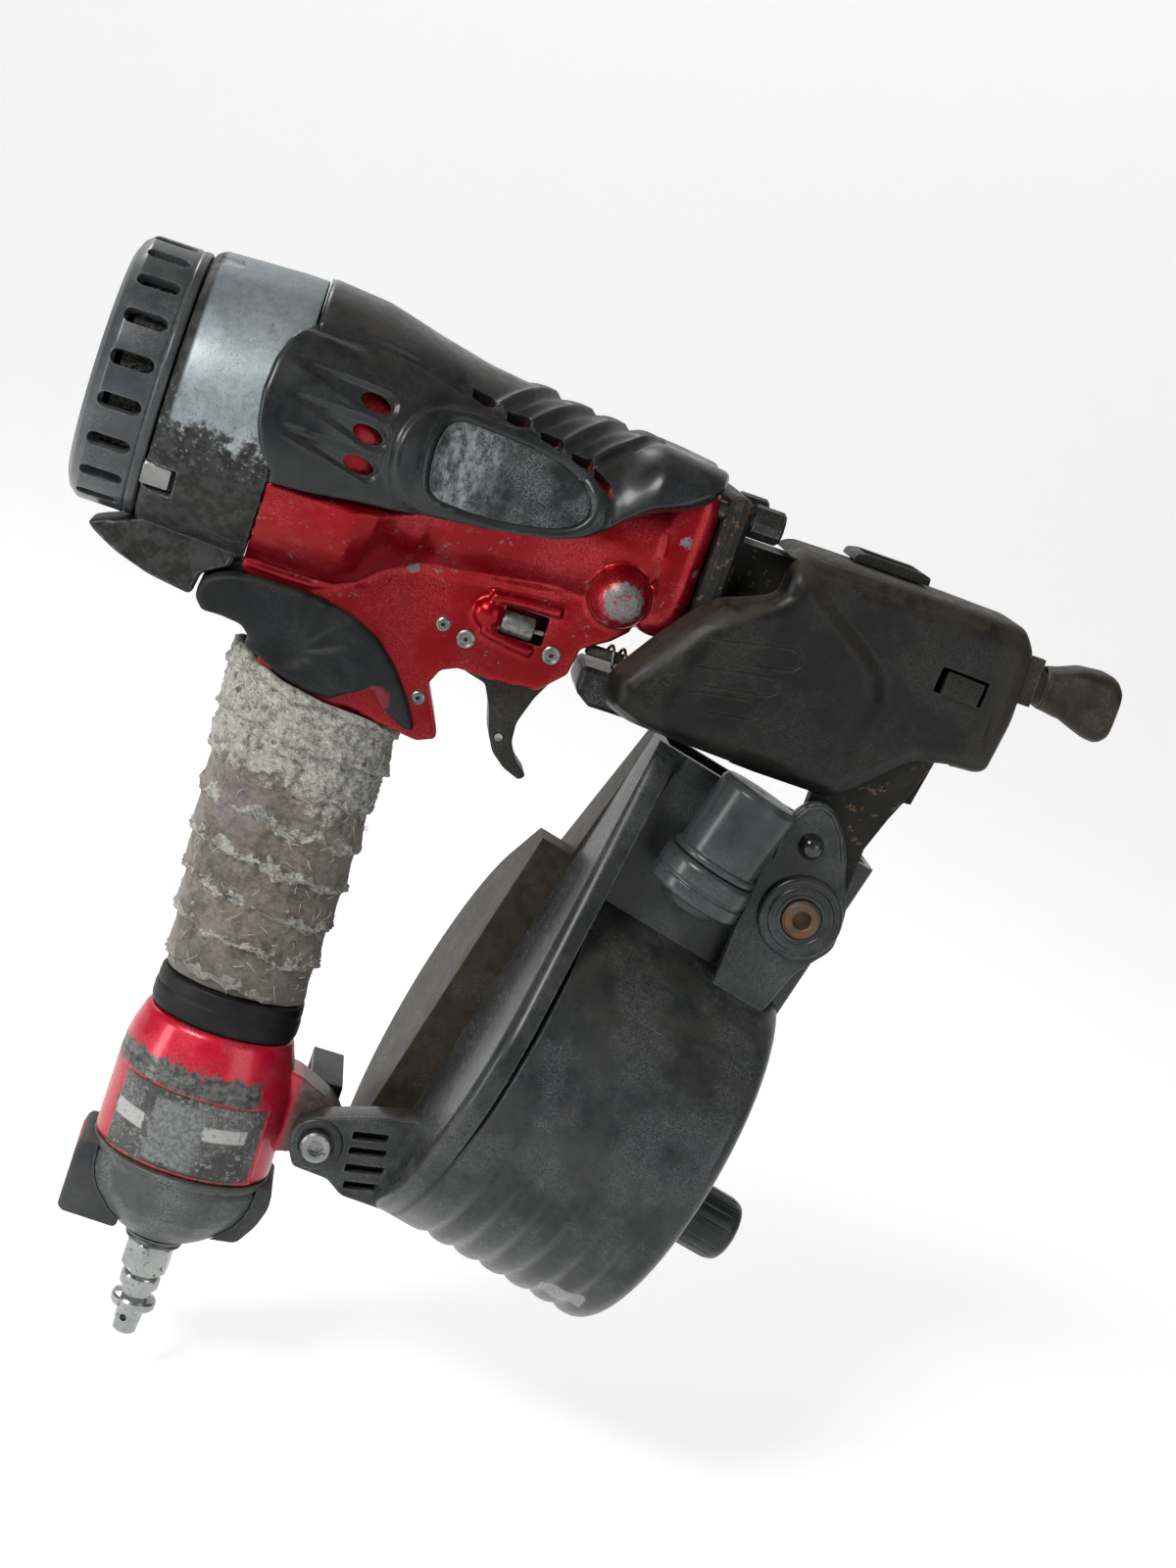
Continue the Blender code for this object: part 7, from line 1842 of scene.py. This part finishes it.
    # feeder
    FT = math.radians(15.0)
    DN = (math.sin(FT), 0.0, math.cos(FT))
    FO = (90.4 * math.cos(FT), -25.0, -90.4 * math.sin(FT))
    f = lathe('feeder_cylinder_v', [(60.3, 7.6), (60.3, 11.2), (60.8, 11.5), (61.6, 11.5), (62.2, 11.2), (62.4, 10.6), (63.0, 10.7), (80.4, 10.8), (82.0, 10.0), (82.0, 0), (79.0, 0), (79.0, 7.6)], FO, DN, seg=110, rnd=0.25)
    sharpen(f.data)
    put(f, 'satin', 'tool', 'feeder_cylinder')
    c = lathe('feeder_cap_v', [(47.4, 0), (47.4, 6.4), (48.0, 7.2), (49.4, 7.8), (50.2, 8.0), (50.2, 11.4), (50.7, 12.2), (51.6, 12.5), (54.0, 12.5), (54.3, 12.1), (54.9, 12.1), (55.2, 12.5), (58.6, 12.5), (59.3, 12.3), (60.0, 11.6), (60.0, 7.2),
                               (53.0, 7.2), (53.0, 0)], FO, DN, seg=110, rnd=0.3)
    sharpen(c.data)
    put(c, 'satin', 'tool', 'feeder_cap')


# ================================================================== trigger and hook
def small_parts():
    pts = [(53.4, 68.4), (53.2, 72.6), (50.6, 75.0), (46.6, 74.8), (44.0, 71.0), (41.7, 65.4), (38.7, 61.9), (30.6, 61.5), (30.2, 59.0),
           (36.6, 57.4), (39.4, 52.0), (41.2, 46.0), (43.6, 41.6), (47.6, 38.4), (52.4, 36.6), (53.8, 38.2), (50.0, 41.2),
           (47.6, 45.4), (47.2, 50.4), (49.4, 57.6), (52.4, 63.6)]
    t = prism('trigger_v', pts, -6.5, 6.5, rnd=1.1)
    bevel(t, 1.0, 4, 50)
    bm = bmesh.new()
    lathe_bm([(-9.0, 0), (-9.0, 1.85), (9.0, 1.85), (9.0, 0)], (49.0, 0, 70.5), YAX, 32, bm)
    lathe_bm([(-9.0, 0), (-9.0, 1.3), (9.0, 1.3), (9.0, 0)], (44.0, 0, 45.6), YAX, 24, bm)
    boole(t, [make('th', bm, smooth=False)])
    sharpen(t.data, 36)
    put(t, 'trigger', 'trigger_group', 'trigger')
    p = lathe('trigger_cross_pin_v', [(-6.9, 0), (-6.9, 0.5), (-7.0, 1.0), (-6.6, 1.15), (6.6, 1.15), (7.0, 1.0), (6.9, 0.5), (6.9, 0)], (44.0, 0, 45.6), YAX, seg=32)
    put(p, 'steel', 'trigger_group', 'trigger_cross_pin')
    r = lathe('depth_roller_v', [(34.6, 1.0), (34.6, 2.5), (34.9, 2.9), (35.3, 3.0), (42.5, 3.0), (42.9, 2.9), (43.2, 2.5), (43.2, 1.0)], (0, -11.4, 74.5), XAX, seg=96)
    bm = bmesh.new()
    for k in range(36):
        q = 2 * math.pi * k / 36
        lathe_bm([(34.0, 0), (34.0, 0.12), (44.0, 0.12), (44.0, 0)], (0, -11.4 + 3.03 * math.cos(q), 74.5 + 3.03 * math.sin(q)), XAX, 6, bm)
    boole(r, [make('kn', bm, smooth=False, weld=0)])
    sharpen(r.data, 25)
    put(r, 'roller', 'adjuster', 'depth_roller')
    hook = prism('belt_hook_v', [(32.5 + 5 * math.cos(a), -67.0 + 5 * math.sin(a)) for a in [math.radians(d) for d in range(150, 391, 10)]]
                 + [(36.5, -61.0), (36.5, -58.4), (28.0, -58.4), (28.0, -61.0)], 6.4, 9.0)
    h2 = make('h2', box_bm(28.0, 36.5, 6.4, 34.0, -61.0, -58.4))
    h3 = make('h3', box_bm(28.0, 36.5, 31.4, 34.0, -70.0, -58.4))
    boole(hook, [h2, h3], 'UNION')
    boole(hook, [lathe('hh', [(0.0, 0), (0.0, 2.7), (12.0, 2.7), (12.0, 0)], (RB[0], 0, RB[1]), YAX, seg=32)])
    bevel(hook, 0.6, 3, 40)
    put(hook, 'hook', 'hook', 'belt_hook')


def springs():
    """Coil springs in the room their CAD solids hold."""
    for node, joint, wire, turns, fixed, travel in (('head_valve_spring', 'head_valve_lift', 0.95, 3.5, -53.2, 4.0), ('contact_spring', 'contact_press', 0.42, 9.0, 62.0, 9.5)):
        lo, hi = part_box(node)
        lo, hi = [v * 1000 for v in lo], [v * 1000 for v in hi]
        cy, cz = (lo[1] + hi[1]) / 2, (lo[2] + hi[2]) / 2
        r = min(hi[1] - lo[1], hi[2] - lo[2]) / 2 - wire
        x0, x1 = lo[0] + wire, hi[0] - wire
        n = int(turns * 40)
        loops = []
        for i in range(n + 1):
            u = i / n
            a = 2 * math.pi * turns * u
            er = Vector((0, math.cos(a), math.sin(a)))
            tg = Vector(((x1 - x0) / (2 * math.pi * turns), -r * math.sin(a), r * math.cos(a))).normalized()
            bn = tg.cross(er)
            c = Vector((x0 + (x1 - x0) * u, cy, cz)) + er * r
            loops.append([tuple(c + (er * math.cos(q) + bn * math.sin(q)) * wire) for q in (2 * math.pi * j / 10 for j in range(10))])
        bm = bmesh.new()
        rings(bm, loops)
        sp = make(node + '_v', bm, weld=0)
        put(sp, 'spring', 'tool', node)
        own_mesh(sp)


# ================================================================== the scene
def carried():
    for node, key in CARRIED.items():
        ob = NODES[node]['object'] if isinstance(NODES[node], dict) else NODES[node]
        ob.data.materials.clear()
        ob.data.materials.append(MATS[key])


def stage_and_camera():
    bm = bmesh.new()
    lo = -0.150
    rows = []
    n = 24
    prof = [(2.6, lo), (-1.2, lo)]
    prof = [(-3.0, lo), (1.3, lo)]
    for i in range(1, n + 1):
        a = math.pi / 2 * i / n
        prof.append((1.3 + 0.9 * math.sin(a), lo + 0.9 * (1 - math.cos(a))))
    prof.append((2.2, 3.6))
    grid = [[bm.verts.new((x, y, z)) for x in (-4.0, -1.5, 1.5, 4.0)] for y, z in prof]
    for r0, r1 in zip(grid, grid[1:]):
        for i in range(3):
            bm.faces.new((r0[i], r0[i + 1], r1[i + 1], r1[i]))
    me = bpy.data.meshes.new('studio_floor')
    bm.to_mesh(me)
    bm.free()
    for p in me.polygons:
        p.use_smooth = True
    fl = bpy.data.objects.new('studio_floor', me)
    COLL.objects.link(fl)
    mt = bpy.data.materials.new('studio_paper')
    mt.use_nodes = True
    b = next(q for q in mt.node_tree.nodes if q.type == 'BSDF_PRINCIPLED')
    b.inputs['Base Color'].default_value = (0.88, 0.88, 0.88, 1)
    b.inputs['Roughness'].default_value = 0.9
    b.inputs['Emission Color'].default_value = (1, 1, 1, 1)
    b.inputs['Emission Strength'].default_value = 0.42
    me.materials.append(mt)
    world = bpy.data.worlds.new('studio')
    world.use_nodes = True
    bg = world.node_tree.nodes['Background']
    bg.inputs[0].default_value = (1.0, 1.0, 1.0, 1)
    bg.inputs[1].default_value = 0.22
    bpy.context.scene.world = world

    def light(name, loc, target, size, power, colour=(1, 1, 1)):
        ld = bpy.data.lights.new(name, 'AREA')
        ld.shape = 'RECTANGLE'
        ld.size, ld.size_y = size
        ld.energy = power
        ld.color = colour
        ob = bpy.data.objects.new(name, ld)
        COLL.objects.link(ob)
        ob.location = loc
        d = Vector(target) - Vector(loc)
        ob.rotation_euler = d.to_track_quat('-Z', 'Y').to_euler()
        return ob
    light('key', (-0.55, -0.75, 0.70), (0.03, 0.0, 0.03), (0.45, 0.35), 13.0, (1.0, 0.99, 0.97))
    light('fill', (0.85, -0.95, 0.25), (0.05, 0.0, 0.0), (0.6, 0.6), 3.0, (0.96, 0.98, 1.0))
    light('left', (-1.0, -0.42, -0.02), (0.03, 0.0, 0.0), (0.22, 0.7), 6.0)
    light('rim', (-0.5, 0.75, 0.75), (0.03, 0.0, 0.03), (0.3, 0.3), 3.0)

    cam = bpy.data.cameras.new('camera')
    cam.sensor_width = 36.0
    cam.sensor_fit = 'AUTO'
    cam.lens = 60.75
    cam.clip_start = 0.01
    cam.clip_end = 50.0
    co = bpy.data.objects.new('camera', cam)
    COLL.objects.link(co)
    R = Vector((0.94275, -0.07550, 0.32484))
    U = Vector((-0.30269, 0.21517, 0.92849))
    B = Vector((-0.14, -0.97365, 0.18))
    B.normalize()
    R = (R - B * R.dot(B)).normalized()
    U = B.cross(R)
    co.matrix_world = Matrix(((R.x, U.x, B.x, -0.0242), (R.y, U.y, B.y, -0.6572), (R.z, U.z, B.z, 0.1615), (0, 0, 0, 1)))
    bpy.context.scene.camera = co
    bpy.context.scene.view_settings.view_transform = 'Standard'
    bpy.context.scene.view_settings.look = 'None'


make_mats()
exhaust_cap()
cylinder_head()
body_housing()
body_guard()
badges()
overmould()
grip_wrap()
grip_bottom()
nose_cover()
contact_arm()
magazine()
small_parts()
springs()
carried()
stage_and_camera()
bpy.context.view_layer.update()
